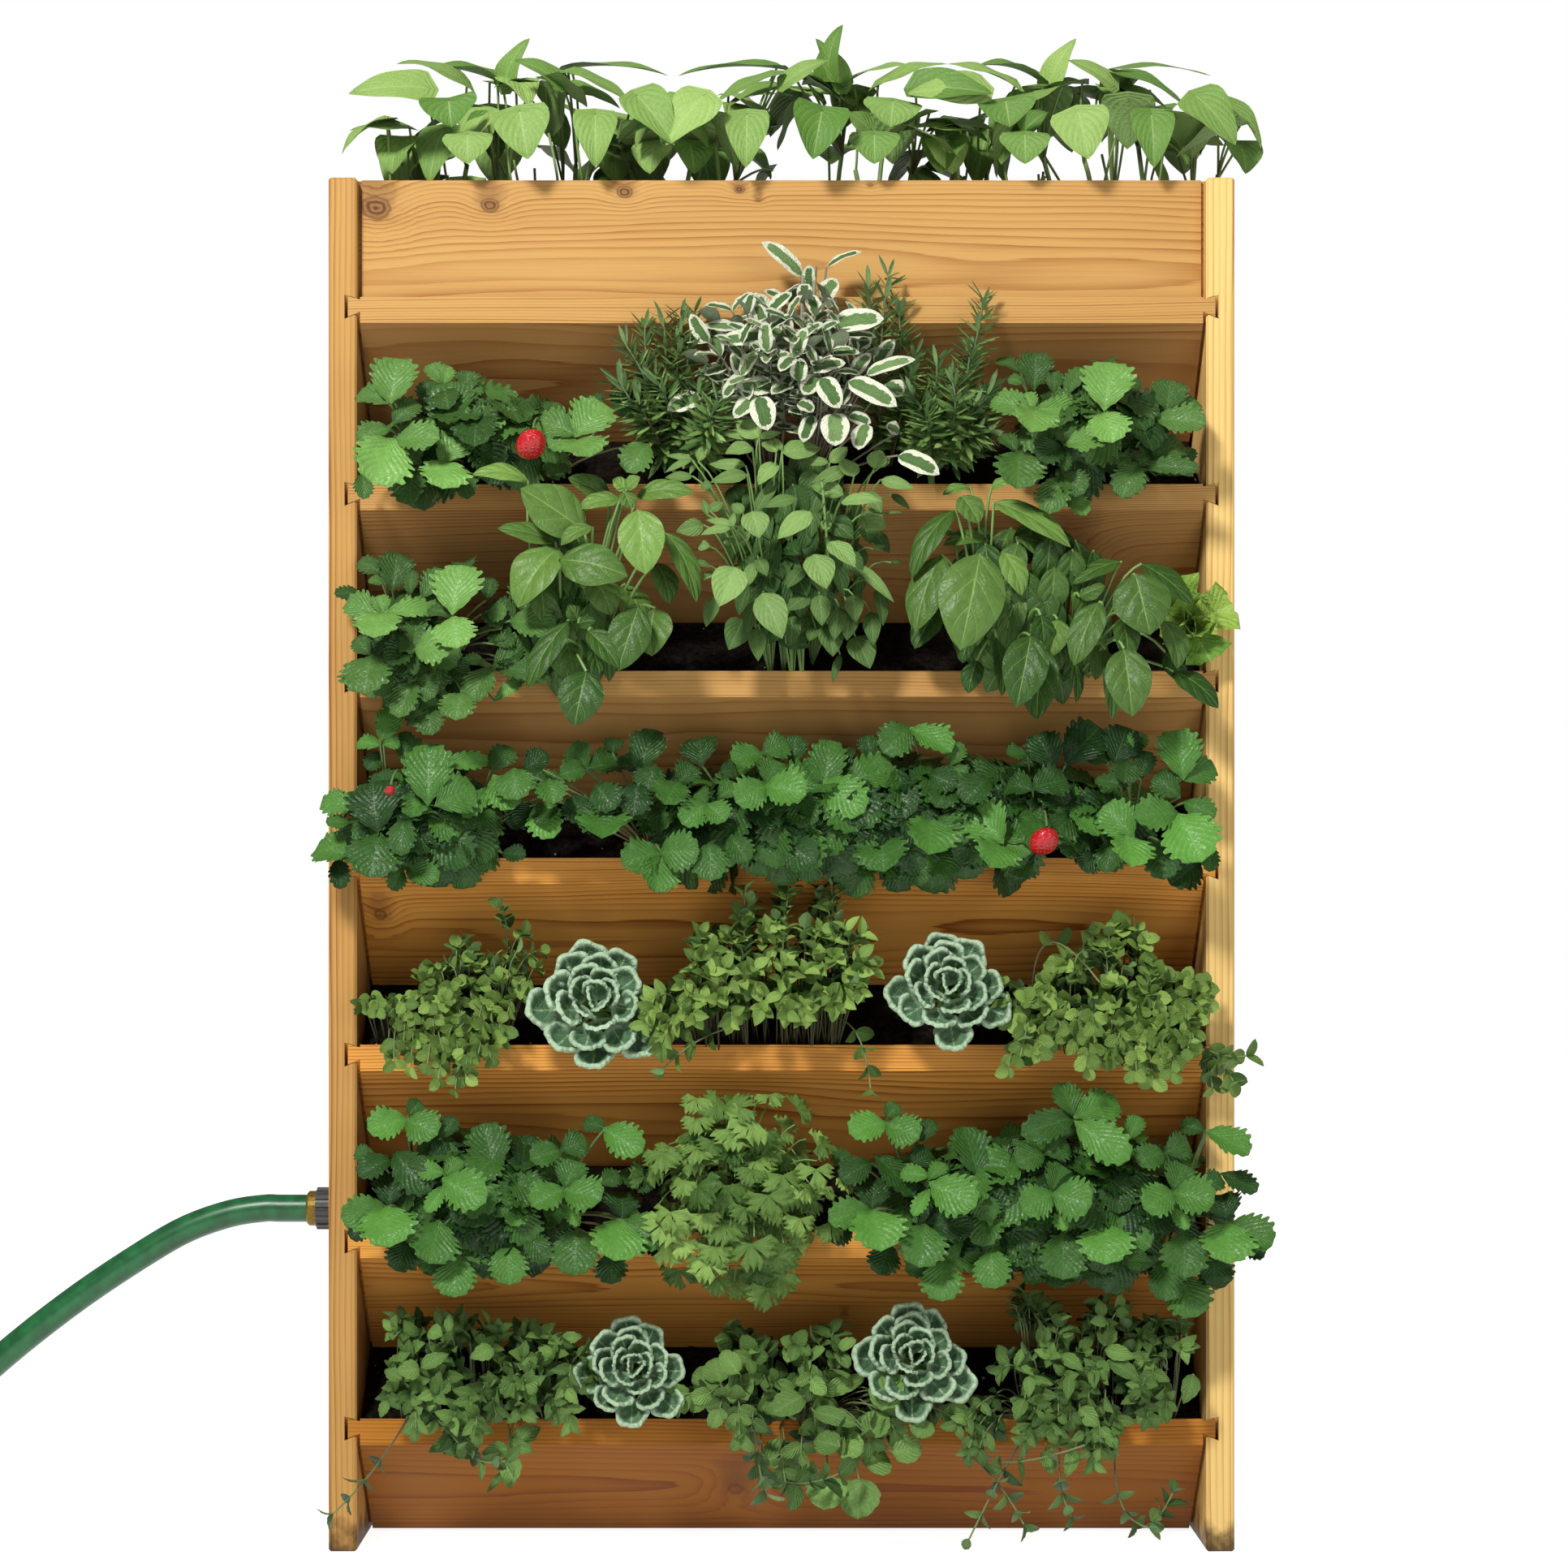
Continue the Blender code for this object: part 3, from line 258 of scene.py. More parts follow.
def cedar_grain_group():
    """Growth rings about a pith line along X, in metres.

    The radius from the pith, waved by slow noise and pushed aside round knots, is divided by the
    ring width. Each ring goes gradually from pale early wood to a dark, sharp-edged late line.
    """
    tree, given, out = new_group(
        "cedar_grain",
        [
            ("Vector", "Vector", None),
            ("Pith", "Vector", None),
            ("Ring Width", "Float", 0.003),
            ("Wave", "Float", 0.02),
            ("Push", "Float", 0.0),
            ("Early Wood", "Color", (0.70, 0.36, 0.13, 1)),
            ("Late Wood", "Color", (0.42, 0.15, 0.035, 1)),
        ],
        [("Color", "Color"), ("Height", "Float")],
    )
    place = reckon_vector(tree, "SUBTRACT", given.outputs["Vector"], given.outputs["Pith"])
    wave = stretched_noise(tree, place, (1.1, 7.0, 7.0), 2.5, "Color")
    wave = reckon_vector(tree, "SUBTRACT", wave, (0.5, 0.5, 0.5))
    wave = node(
        tree, "VectorMath", {0: wave, "Scale": given.outputs["Wave"]}, operation="SCALE"
    ).outputs[0]
    moved = reckon_vector(tree, "ADD", place, wave)
    across = reckon_vector(tree, "MULTIPLY", moved, (0, 1, 1))
    radius = node(tree, "VectorMath", {0: across}, operation="LENGTH").outputs["Value"]
    radius = reckon(tree, "ADD", radius, given.outputs["Push"])
    rings = reckon(tree, "DIVIDE", radius, given.outputs["Ring Width"])
    ragged = stretched_noise(tree, place, (6.0, 260.0, 260.0))
    rings = reckon(tree, "MULTIPLY_ADD", ragged, 0.35, rings)
    share = reckon(tree, "FRACT", rings)
    which = reckon(tree, "FLOOR", rings)
    weight = node(tree, "TexWhiteNoise", {"W": which}, noise_dimensions="1D").outputs["Value"]
    weight = reckon(tree, "MULTIPLY_ADD", weight, 0.75, 0.25)
    late = reckon(tree, "POWER", share, 3.0)
    edge = reckon(tree, "SUBTRACT", 1.0, ramp(tree, share, 0.93, 1.0))
    late = reckon(tree, "MULTIPLY", reckon(tree, "MULTIPLY", late, edge), weight)
    fibre = stretched_noise(tree, place, (16.0, 900.0, 900.0), 3.0)
    broad = stretched_noise(tree, place, (2.2, 16.0, 16.0))
    streak = reckon(tree, "MULTIPLY", late, 1.5)
    streak = reckon(tree, "MULTIPLY_ADD", reckon(tree, "SUBTRACT", fibre, 0.5), 0.5, streak)
    streak = reckon(tree, "MULTIPLY_ADD", reckon(tree, "SUBTRACT", broad, 0.5), 0.7, streak)
    streak = node(tree, "Clamp", {"Value": reckon(tree, "ADD", streak, 0.04)}).outputs[0]
    colour = blend(tree, streak, given.outputs["Early Wood"], given.outputs["Late Wood"])
    tree.links.new(colour, out.inputs["Color"])
    height = reckon(tree, "MULTIPLY_ADD", fibre, 0.6, late)
    tree.links.new(height, out.inputs["Height"])
    return tree


def knot_group():
    """A knot: the distance from a line across the board, over the knot's radius.

    Inside one radius it is dark, with rings of its own, and a fainter stain of twice that width
    runs up from it. Round it the grain is pushed aside by an amount that fades with the square of
    the distance.
    """
    tree, given, out = new_group(
        "knot",
        [("Vector", "Vector", None), ("Centre", "Vector", None), ("Radius", "Float", 0.008)],
        [("Mask", "Float"), ("Push", "Float")],
    )
    place = reckon_vector(tree, "SUBTRACT", given.outputs["Vector"], given.outputs["Centre"])
    place = reckon_vector(tree, "MULTIPLY", place, (0.8, 0.15, 1.0))
    ragged = node(tree, "TexNoise", {"Vector": place, "Scale": 110.0, "Detail": 2.0}).outputs["Fac"]
    length = node(tree, "VectorMath", {0: place}, operation="LENGTH").outputs["Value"]
    length = reckon(tree, "DIVIDE", length, given.outputs["Radius"])
    length = reckon(tree, "MULTIPLY_ADD", reckon(tree, "SUBTRACT", ragged, 0.5), 0.5, length)
    inside = reckon(tree, "SUBTRACT", 1.0, ramp(tree, length, 0.65, 1.15))
    rings = reckon(tree, "SINE", reckon(tree, "MULTIPLY", length, 17.0))
    rings = reckon(tree, "MULTIPLY_ADD", rings, 0.22, 0.78)
    split = node(tree, "SeparateXYZ", {0: place})
    aside = reckon(tree, "DIVIDE", split.outputs["X"], given.outputs["Radius"])
    aside = reckon(tree, "ABSOLUTE", aside)
    aside = reckon(tree, "MULTIPLY_ADD", reckon(tree, "SUBTRACT", ragged, 0.5), 1.6, aside)
    above = reckon(tree, "DIVIDE", split.outputs["Z"], given.outputs["Radius"])
    stain = reckon(tree, "SUBTRACT", 1.0, ramp(tree, aside, 0.3, 1.8))
    stain = reckon(tree, "MULTIPLY", stain, ramp(tree, above, -1.6, 0.4))
    top = reckon(tree, "SUBTRACT", 0.45, ramp(tree, above, 2.0, 6.0))
    stain = reckon(tree, "MULTIPLY", stain, top)
    stain = reckon(tree, "MAXIMUM", stain, 0.0)
    mask = reckon(tree, "MAXIMUM", reckon(tree, "MULTIPLY", inside, rings), stain)
    tree.links.new(mask, out.inputs["Mask"])
    squared = reckon(tree, "MULTIPLY", length, length)
    fade = reckon(tree, "EXPONENT", reckon(tree, "MULTIPLY", squared, -0.22))
    push = reckon(tree, "MULTIPLY", fade, given.outputs["Radius"])
    tree.links.new(push, out.inputs["Push"])
    return tree


cedar_grain = cedar_grain_group()
knot_shape = knot_group()
KNOT_BROWN = (0.120, 0.042, 0.014, 1)
UNDERSIDE_SHADE_BROWN = (0.16, 0.045, 0.012, 1)
GROUND_EDGE_BROWN = (0.045, 0.025, 0.012, 1)


def cedar(name, pith, ring_width, wave, early, late, turn=(0, 0, 0), knots=(), underside_shade=0.0, ground_darkening=0.0):
    """Cedar for one board. Undersides may be darkened with painted shade, and ends near the ground are
    darker.
    """
    material, tree, shader = new_material(name, 0.55, 0.18)
    world_place = node(tree, "TexCoord").outputs["Object"]
    place = node(tree, "Mapping", {"Vector": world_place, "Rotation": turn}).outputs[0]
    mask, push = 0.0, 0.0
    for x, z, radius in knots:
        sockets = {"Vector": world_place, "Centre": (x, front, z), "Radius": radius}
        knot = node(tree, "Group", sockets, node_tree=knot_shape)
        mask = reckon(tree, "MAXIMUM", mask, knot.outputs["Mask"])
        push = reckon(tree, "ADD", push, knot.outputs["Push"])
    sockets = {"Vector": place, "Pith": pith, "Ring Width": ring_width, "Wave": wave}
    sockets |= {"Early Wood": (*early, 1), "Late Wood": (*late, 1)}
    grain = node(tree, "Group", sockets, node_tree=cedar_grain)
    colour = grain.outputs["Color"]
    if knots:
        tree.links.new(push, grain.inputs["Push"])
        colour = blend(tree, mask, colour, KNOT_BROWN)
    # Painted shade: faces turned downward are darkened towards a shaded brown.
    if underside_shade:
        facing = node(tree, "SeparateXYZ", {0: node(tree, "NewGeometry").outputs["Normal"]})
        under = ramp(tree, reckon(tree, "MULTIPLY", facing.outputs["Z"], -1.0), 0.2, 0.5)
        colour = blend(tree, reckon(tree, "MULTIPLY", under, underside_shade), colour, UNDERSIDE_SHADE_BROWN)
    # The wood is darker within a few centimetres of the ground.
    if ground_darkening:
        height = node(tree, "SeparateXYZ", {0: world_place}).outputs["Z"]
        ragged = node(tree, "TexNoise", {"Vector": world_place, "Scale": 45.0, "Detail": 4.0})
        ragged = reckon(tree, "SUBTRACT", ragged.outputs["Fac"], 0.5)
        low = reckon(tree, "MULTIPLY_ADD", ragged, 0.07, height)
        near_ground = reckon(tree, "SUBTRACT", 1.0, ramp(tree, low, 0.002, 0.035))
        colour = blend(tree, reckon(tree, "MULTIPLY", near_ground, ground_darkening), colour, GROUND_EDGE_BROWN)
    tree.links.new(colour, shader.inputs["Base Color"])
    bump = node(
        tree, "Bump", {"Height": grain.outputs["Height"], "Strength": 0.25, "Distance": 0.0006}
    )
    tree.links.new(bump.outputs[0], shader.inputs["Normal"])
    return material


def give_finish(name, material):
    """Puts a material in the slots of a CAD node's object."""
    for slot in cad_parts[name].material_slots:
        slot.material = material


HONEY, HONEY_LATE = (0.62, 0.350, 0.108), (0.37, 0.145, 0.033)
AMBER, AMBER_LATE = (0.88, 0.400, 0.078), (0.38, 0.110, 0.014)
RUSSET, RUSSET_LATE = (0.54, 0.210, 0.026), (0.28, 0.075, 0.008)
TAN, TAN_LATE = (0.60, 0.330, 0.095), (0.33, 0.120, 0.024)
BLOND, BLOND_LATE = (0.94, 0.640, 0.225), (0.55, 0.250, 0.060)
fascia_knots = [
    (-0.3656, 1.2080, 0.013), (-0.2630, 1.2105, 0.008), (-0.1416, 1.2225, 0.007),
    (-0.0381, 1.2250, 0.005), (-0.0210, 1.2155, 0.003), (0.0800, 1.2290, 0.003),
]
give_finish(
    "fascia_board",
    cedar(
        "cedar_fascia", (0.3, 0.035, 1.150), 0.0028, 0.030, HONEY, HONEY_LATE, knots=fascia_knots
    ),
)
# The last number of each log is how strongly painted shade darkens the board's underside.
tier_logs = (
    (0.105, 0.000, 0.0026, 0.45), (0.070, -0.060, 0.0022, 0.35), (0.120, 0.020, 0.0030, 0.25),
    (0.085, -0.020, 0.0024, 0.1), (0.110, -0.070, 0.0028, 0.1), (0.075, 0.030, 0.0022, 0.2),
    (0.065, -0.010, 0.0034, 0.35),
)
tier_knots = {
    2: [(0.2655, 0.895, 0.013)],
    4: [(-0.363, 0.571, 0.007)],
    6: [(-0.250, 0.249, 0.004), (0.167, 0.249, 0.006), (0.058, 0.205, 0.003)],
    7: [(-0.0414, 0.0480, 0.011), (0.262, 0.078, 0.005)],
}
for tier, (away, shift, ring_width, underside_shade) in enumerate(tier_logs, 1):
    low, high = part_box(f"tier_board_{tier}")
    pith = (0.7 * tier, (low[1] + high[1]) / 2 - away, (low[2] + high[2]) / 2 + shift - away)
    early, late = (HONEY, HONEY_LATE) if tier < 4 else (AMBER, AMBER_LATE)
    if tier == 7:
        early, late = RUSSET, RUSSET_LATE
    give_finish(
        f"tier_board_{tier}",
        cedar(
            f"cedar_tier_{tier}", pith, ring_width, 0.035, early, late,
            knots=tier_knots.get(tier, ()), underside_shade=underside_shade,
        ),
    )
for row in range(1, 9):
    low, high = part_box(f"back_board_{row}")
    pith = (1.3 * row, high[1] + 0.05 + 0.012 * (row % 3), low[2] + 0.02 * (row * 5 % 7))
    give_finish(
        f"back_board_{row}",
        cedar(f"cedar_back_{row}", pith, 0.0022 + 0.0003 * (row % 4), 0.03, AMBER, AMBER_LATE),
    )
give_finish(
    "floor_board", cedar("cedar_floor", (0, 0.10, -0.05), 0.0025, 0.02, AMBER, AMBER_LATE, ground_darkening=0.7)
)
for side, place, tones in (
    ("left", -0.394, (TAN, TAN_LATE)), ("right", 0.394, (BLOND, BLOND_LATE))
):
    pith = (0.2 * place, 0.05 + 0.05 * place, -place * 0.62)
    give_finish(
        f"side_panel_{side}",
        cedar(
            f"cedar_panel_{side}", pith, 0.0042, 0.022, *tones,
            turn=(0, math.radians(90), 0), ground_darkening=0.9,
        ),
    )

# Fittings: a ribbed dark grey nylon nut on the inlet, a dull brass collar and tap coupling on the
# hose, a rubber washer between, and black polyethylene pipes inside the case.
def plain(name, colour, roughness, metallic=0.0, grit=0.0, scale=400.0):
    """A material of one colour, unevenly worn by noise where grit is given."""
    material, tree, shader = new_material(name, roughness)
    shader.inputs["Metallic"].default_value = metallic
    shader.inputs["Base Color"].default_value = (*colour, 1)
    if grit:
        place = node(tree, "TexCoord").outputs["Object"]
        noise = node(tree, "TexNoise", {"Vector": place, "Scale": scale, "Detail": 4.0})
        darker = tuple(0.6 * part for part in colour)
        shade = blend(
            tree, ramp(tree, noise.outputs["Fac"], 0.35, 0.65), (*darker, 1), (*colour, 1)
        )
        tree.links.new(shade, shader.inputs["Base Color"])
        uneven = reckon(tree, "MULTIPLY_ADD", noise.outputs["Fac"], grit, roughness - 0.5 * grit)
        tree.links.new(uneven, shader.inputs["Roughness"])
    return material


vinyl = plain("hose_vinyl", (0.012, 0.150, 0.040), 0.34, grit=0.12, scale=60.0)
hose_curve.materials.append(vinyl)
nylon = plain("grey_nylon", (0.060, 0.060, 0.062), 0.45, grit=0.1)
yellow_brass = plain("yellow_brass", (0.27, 0.17, 0.020), 0.50, metallic=0.6, grit=0.2)
for name in ("inlet_tailpiece", "inlet_swivel_nut"):
    give_finish(name, nylon)
for name in ("hose_male_end", "tap_coupling_ferrule", "tap_coupling_nut"):
    give_finish(name, yellow_brass)
give_finish("hose_washer", plain("washer_rubber", (0.02, 0.02, 0.02), 0.7))
pipe_plastic = plain("pipe_polyethylene", (0.022, 0.022, 0.024), 0.5, grit=0.1)
for name in ["riser_pipe"] + [f"drip_line_{tier}" for tier in range(1, 8)]:
    give_finish(name, pipe_plastic)

# Potting soil: dark, damp and crumbly, with white perlite in it; its near-black colour also paints
# the shade deep in the pockets. It slopes from behind each rim up to the lower edge of the board
# above, and lies nearly level in the open top.
def mesh_object(name, points, faces, materials, maps=None, tint=None, kinds=None):
    """One mesh from point and face arrays, with its map, tone-and-shade values and material numbers.

    Faces are rows of four corners; a row that names a corner twice is a triangle.
    """
    mesh = bpy.data.meshes.new(name)
    sides = np.where(faces[:, 2] == faces[:, 3], 3, 4)
    corners = faces[np.arange(4)[None, :] < sides[:, None]]
    mesh.vertices.add(len(points))
    mesh.vertices.foreach_set("co", np.ascontiguousarray(points, np.float32).ravel())
    mesh.loops.add(len(corners))
    mesh.loops.foreach_set("vertex_index", corners.astype(np.int32))
    mesh.polygons.add(len(faces))
    mesh.polygons.foreach_set("loop_start", np.concatenate([[0], np.cumsum(sides)[:-1]]))
    mesh.polygons.foreach_set("loop_total", sides.astype(np.int32))
    mesh.update(calc_edges=True)
    mesh.shade_smooth()
    if maps is not None:
        layer = mesh.uv_layers.new(name="blade")
        layer.uv.foreach_set("vector", maps[corners].astype(np.float32).ravel())
    if tint is not None:
        shade = mesh.attributes.new("tint", "FLOAT", "POINT")
        shade.data.foreach_set("value", tint.astype(np.float32))
    for material in materials:
        mesh.materials.append(material)
    if kinds is not None:
        mesh.polygons.foreach_set("material_index", kinds.astype(np.int32))
    made = bpy.data.objects.new(name, mesh)
    scene.collection.objects.link(made)
    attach(made, "planter")
    return made


def grid_faces(count, rows, columns, closed=False):
    """Corners of the quads of many grids of (rows + 1) by (columns + 1) points, one after another.

    On a closed grid the last column joins the first, and it has no points of its own.
    """
    width = columns if closed else columns + 1
    row, column = np.meshgrid(np.arange(rows), np.arange(columns), indexing="ij")
    row, column = row.ravel(), column.ravel()
    after = (column + 1) % width
    near, far = row * width, (row + 1) * width
    one = np.column_stack([near + column, near + after, far + after, far + column])
    return (one[None] + np.arange(count)[:, None, None] * (rows + 1) * width).reshape(-1, 4)


def ripples(x, y, size, seed):
    """Uneven heights from -1 to 1: nine sine waves of mixed headings and lengths, averaged."""
    dice = np.random.default_rng(seed)
    total = np.zeros(np.broadcast(x, y).shape)
    for octave in range(9):
        heading, phase = dice.uniform(0, 2 * math.pi, 2)
        length = size * 0.78**octave
        total += np.sin((x * np.cos(heading) + y * np.sin(heading)) * 2 * math.pi / length + phase)
    return total / 4.5


def soil_finish():
    """Near-black crumbs, darker by painted shade: two noises, one for clods and one for grains, drive
    colour and bump.
    """
    material, tree, shader = new_material("potting_soil_crumbs", 0.95, 0.1)
    place = node(tree, "TexCoord").outputs["Object"]
    clods = node(tree, "TexNoise", {"Vector": place, "Scale": 160.0, "Detail": 5.0}).outputs["Fac"]
    grains = node(tree, "TexVoronoi", {"Vector": place, "Scale": 420.0}).outputs["Distance"]
    colour = blend(
        tree, ramp(tree, clods, 0.35, 0.75), (0.003, 0.002, 0.0015, 1), (0.018, 0.012, 0.008, 1)
    )
    tree.links.new(colour, shader.inputs["Base Color"])
    height = reckon(tree, "MULTIPLY_ADD", grains, 0.5, clods)
    bump = node(tree, "Bump", {"Height": height, "Strength": 0.9, "Distance": 0.003})
    tree.links.new(bump.outputs[0], shader.inputs["Normal"])
    return material


def lumps(centres, sizes, seed):
    """Small rough stones: an octahedron whose six tips are pulled in, out and aside at random."""
    dice = np.random.default_rng(seed)
    tips = np.array([(1, 0, 0), (-1, 0, 0), (0, 1, 0), (0, -1, 0), (0, 0, 1), (0, 0, -1)], float)
    faces = np.array(
        [(0, 2, 4), (2, 1, 4), (1, 3, 4), (3, 0, 4), (2, 0, 5), (1, 2, 5), (3, 1, 5), (0, 3, 5)]
    )
    shape = tips[None] * dice.uniform(0.6, 1.3, (len(centres), 6, 1))
    shape += dice.uniform(-0.25, 0.25, shape.shape)
    points = centres[:, None] + shape * sizes[:, None, None]
    corners = np.column_stack([faces, faces[:, 2]])
    corners = (corners[None] + np.arange(len(centres))[:, None, None] * 6).reshape(-1, 4)
    return points.reshape(-1, 3), corners


rims = [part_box(f"tier_board_{tier}")[1][2] for tier in range(1, 8)]
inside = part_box("fascia_board")[1][0] - 0.012
soil_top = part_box("potting_soil")[1][2]
TOP_SETBACK, TOP_DEPTH = 0.0315, 0.169
POCKET_SETBACK, POCKET_DEPTH = 0.0125, 0.0805
POCKET_DROP, POCKET_RISE = 0.0105, 0.0605


def soil_surface():
    """For each pocket a sheet that rises by 37 degrees from the rim, waved by ripples and crumbs.

    The top sheet is level. Every sheet's near edge runs down out of sight.
    """
    sheets, faces, clods = [], [], []
    across, deep = 260, 26
    x = np.linspace(-inside, inside, across + 1)[None, :]
    share = np.linspace(0, 1, deep + 1)[:, None]
    dice = np.random.default_rng(11)
    for tier in range(1, 8):
        if tier == 1:
            y = front + TOP_SETBACK + share * TOP_DEPTH
            z = np.full_like(share, soil_top + 0.002)
        else:
            y = front + POCKET_SETBACK + share * POCKET_DEPTH
            z = rims[tier - 1] - POCKET_DROP + share * POCKET_RISE
        crumbs = ripples(x, y, 0.09, tier) * 0.003 + ripples(x, y, 0.018, tier + 20) * 0.0016
        fade = np.minimum(1, np.minimum(share, 1 - share) * 9)
        z = z + crumbs * fade
        sheet = np.stack(np.broadcast_arrays(x, y, z), axis=-1).reshape(-1, 3)
        faces.append(grid_faces(1, deep, across) + sum(len(part) for part in sheets))
        sheets.append(sheet)
        clods.append(sheet[dice.integers(0, len(sheet), 190)])
    return np.concatenate(sheets), np.concatenate(faces), np.concatenate(clods)


sheet_points, sheet_faces, clod_places = soil_surface()
dice = np.random.default_rng(4)
clod_points, clod_faces = lumps(clod_places, dice.uniform(0.0012, 0.0042, len(clod_places)), 5)
white = clod_places[::4] + dice.uniform(-0.004, 0.004, (len(clod_places[::4]), 3)) * (1, 1, 0)
perlite_points, perlite_faces = lumps(
    white + (0, 0, 0.001), dice.uniform(0.0007, 0.0019, len(white)), 6
)
perlite, tree, shader = new_material("perlite", 0.9)
shader.inputs["Base Color"].default_value = (0.50, 0.47, 0.42, 1)
soil = mesh_object(
    "potting_soil_surface",
    np.concatenate([sheet_points, clod_points, perlite_points]),
    np.concatenate(
        [
            sheet_faces,
            clod_faces + len(sheet_points),
            perlite_faces + len(sheet_points) + len(clod_points),
        ]
    ),
    [soil_finish(), perlite],
    kinds=np.repeat([0, 0, 1], [len(sheet_faces), len(clod_faces), len(perlite_faces)]),
)
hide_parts("potting_soil")

# Strawberry plants: leaves of three leaflets on hairy stalks out of a crown. The leaflets are broad
# and blunt, folded along the midrib, with coarse teeth and straight, sunken side veins.
def unit(vectors):
    """Vectors divided by their own lengths."""
    return vectors / np.maximum(np.linalg.norm(vectors, axis=-1, keepdims=True), 1e-9)


def turn_about(vectors, axes, angles):
    """Vectors turned about unit axes by angles, by the rule of cosine, sine and projection."""
    cos, sin = np.cos(angles)[:, None], np.sin(angles)[:, None]
    along = (vectors * axes).sum(axis=1, keepdims=True) * axes
    return vectors * cos + np.cross(axes, vectors) * sin + along * (1 - cos)


def blades(
    root, along, face, length, width, outline, grid=(8, 4), bend=0.4, fold=0.2, cup=0.0,
    wave=0.0, waves=2.5, notch=0.0, teeth=0.0, lobes=0.0, pucker=0.0, ribs=6, tint=None, seed=0,
):
    """Leaf blades, each a grid along its midrib (u from 0 to 1) and across it (v from -1 to 1).

    The midrib leaves the root along the first direction and turns down at a steady rate by the
    bend. Half the width times the outline of u places each edge, lifted by the fold, sunk by the
    cup times v squared, and waved at the margin. A notch draws the base's edges back, teeth
    shorten every third row's edge and crowd the columns towards it, lobes shorten the end by a wave
    across it, and puckers lift the blade between its side ribs.
    """
    count, (rows, columns) = len(root), grid
    dice = np.random.default_rng(seed)
    ones = np.ones(count)
    length, width, bend, fold, cup, wave = (
        (np.asarray(value, float) * ones)[:, None, None]
        for value in (length, width, bend, fold, cup, wave)
    )
    u = np.linspace(0, 1, rows + 1)[None, :, None]
    v = np.linspace(-1, 1, columns + 1)[None, None, :]
    if teeth:
        v = np.sign(v) * np.abs(v) ** 0.6
    tangent = unit(along)
    normal = unit(face - (face * tangent).sum(axis=1, keepdims=True) * tangent)
    side = np.cross(tangent, normal)
    bend = np.where(np.abs(bend) < 1e-3, 1e-3, bend)
    forward = length * np.sin(bend * u) / bend
    fall = -length * (1 - np.cos(bend * u)) / bend
    forward = forward - notch * length * np.abs(v) ** 1.5 * (1 - u) ** 3
    forward = forward * (1 - lobes * u**2 * (0.5 - 0.5 * np.cos(3 * math.pi * v)))
    half = width / 2 * outline(u) * np.ones_like(v)
    if teeth:
        gap = (np.arange(rows + 1) % 3 == 0)[None, :, None] & (np.abs(v) > 0.99)
        half = half * np.where(gap, 1 - teeth, 1.0)
        forward = forward - np.where(gap, 0.25 * teeth * length, 0)
    phase = dice.uniform(0, 2 * math.pi, (count, 1, 1))
    lift = half * np.abs(v) * np.sin(fold) - cup * half * v**2
    lift = lift + wave * half * v**2 * np.sin(2 * math.pi * waves * u + phase + 2.0 * np.sign(v))
    rib = np.abs(np.sin(math.pi * ribs * (u - 0.35 * np.abs(v))))
    lift = lift + pucker * half * (rib - 0.5) * (1 - v**2) * (np.abs(v) > 0.01)
    turned = bend * u
    spine = tangent[:, None, None] * forward[..., None] + normal[:, None, None] * fall[..., None]
    upward = (
        normal[:, None, None] * np.cos(turned)[..., None]
        + tangent[:, None, None] * np.sin(turned)[..., None]
    )
    edge = side[:, None, None] * (half * v * np.cos(fold))[..., None]
    points = root[:, None, None] + spine + edge + upward * lift[..., None]
    maps = np.stack(np.broadcast_arrays(u, (v + 1) / 2), axis=-1) * np.ones((count, 1, 1, 1))
    tint = dice.uniform(0, 1, count) if tint is None else tint
    tint = tint[:, None, None] * np.ones((1, rows + 1, columns + 1))
    return points.reshape(-1, 3), grid_faces(count, rows, columns), maps.reshape(-1, 2), tint.ravel()


def stalks(paths, radius, sides=5):
    """Round stalks: at each point of a path a ring square to it, of the radius given for that point."""
    count, steps = paths.shape[:2]
    tangent = unit(np.gradient(paths, axis=1))
    first = unit(np.cross(tangent, np.array([0.31, 0.22, 0.92])))
    second = np.cross(tangent, first)
    angle = 2 * math.pi * np.arange(sides) / sides
    radius = np.asarray(radius, float) * np.ones((count, steps))
    ring = first[:, :, None] * np.cos(angle)[:, None] + second[:, :, None] * np.sin(angle)[:, None]
    points = paths[:, :, None] + ring * radius[:, :, None, None]
    u = np.linspace(0, 1, steps)[None, :, None]
    maps = np.stack(np.broadcast_arrays(u, (angle / 6.3)[None, None]), axis=-1)
    maps = maps * np.ones((count, 1, 1, 1))
    tint = np.full(points.shape[:3], 0.5)
    faces = grid_faces(count, steps - 1, sides, closed=True)
    return points.reshape(-1, 3), faces, maps.reshape(-1, 2), tint.ravel()


def arcs(start, end, sag, steps=7):
    """Paths from starts to ends as parabolas, pushed off the straight line by a sag vector."""
    t = np.linspace(0, 1, steps)[None, :, None]
    return start[:, None] * (1 - t) + end[:, None] * t + sag[:, None] * 4 * t * (1 - t)


def plant(name, parts, stands_for=()):
    """Joins blades and stalks, given as (part, material) pairs, into one piece of the object."""
    points, faces, maps, tints, kinds, finishes, start = [], [], [], [], [], [], 0
    for (part_points, part_faces, part_maps, part_tint), material in parts:
        if material not in finishes:
            finishes.append(material)
        points.append(part_points)
        faces.append(part_faces + start)
        maps.append(part_maps)
        tints.append(part_tint)
        kinds.append(np.full(len(part_faces), finishes.index(material)))
        start += len(part_points)
    made = mesh_object(
        name, np.concatenate(points), np.concatenate(faces), finishes,
        np.concatenate(maps), np.concatenate(tints), np.concatenate(kinds),
    )
    if stands_for:
        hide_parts(*stands_for)


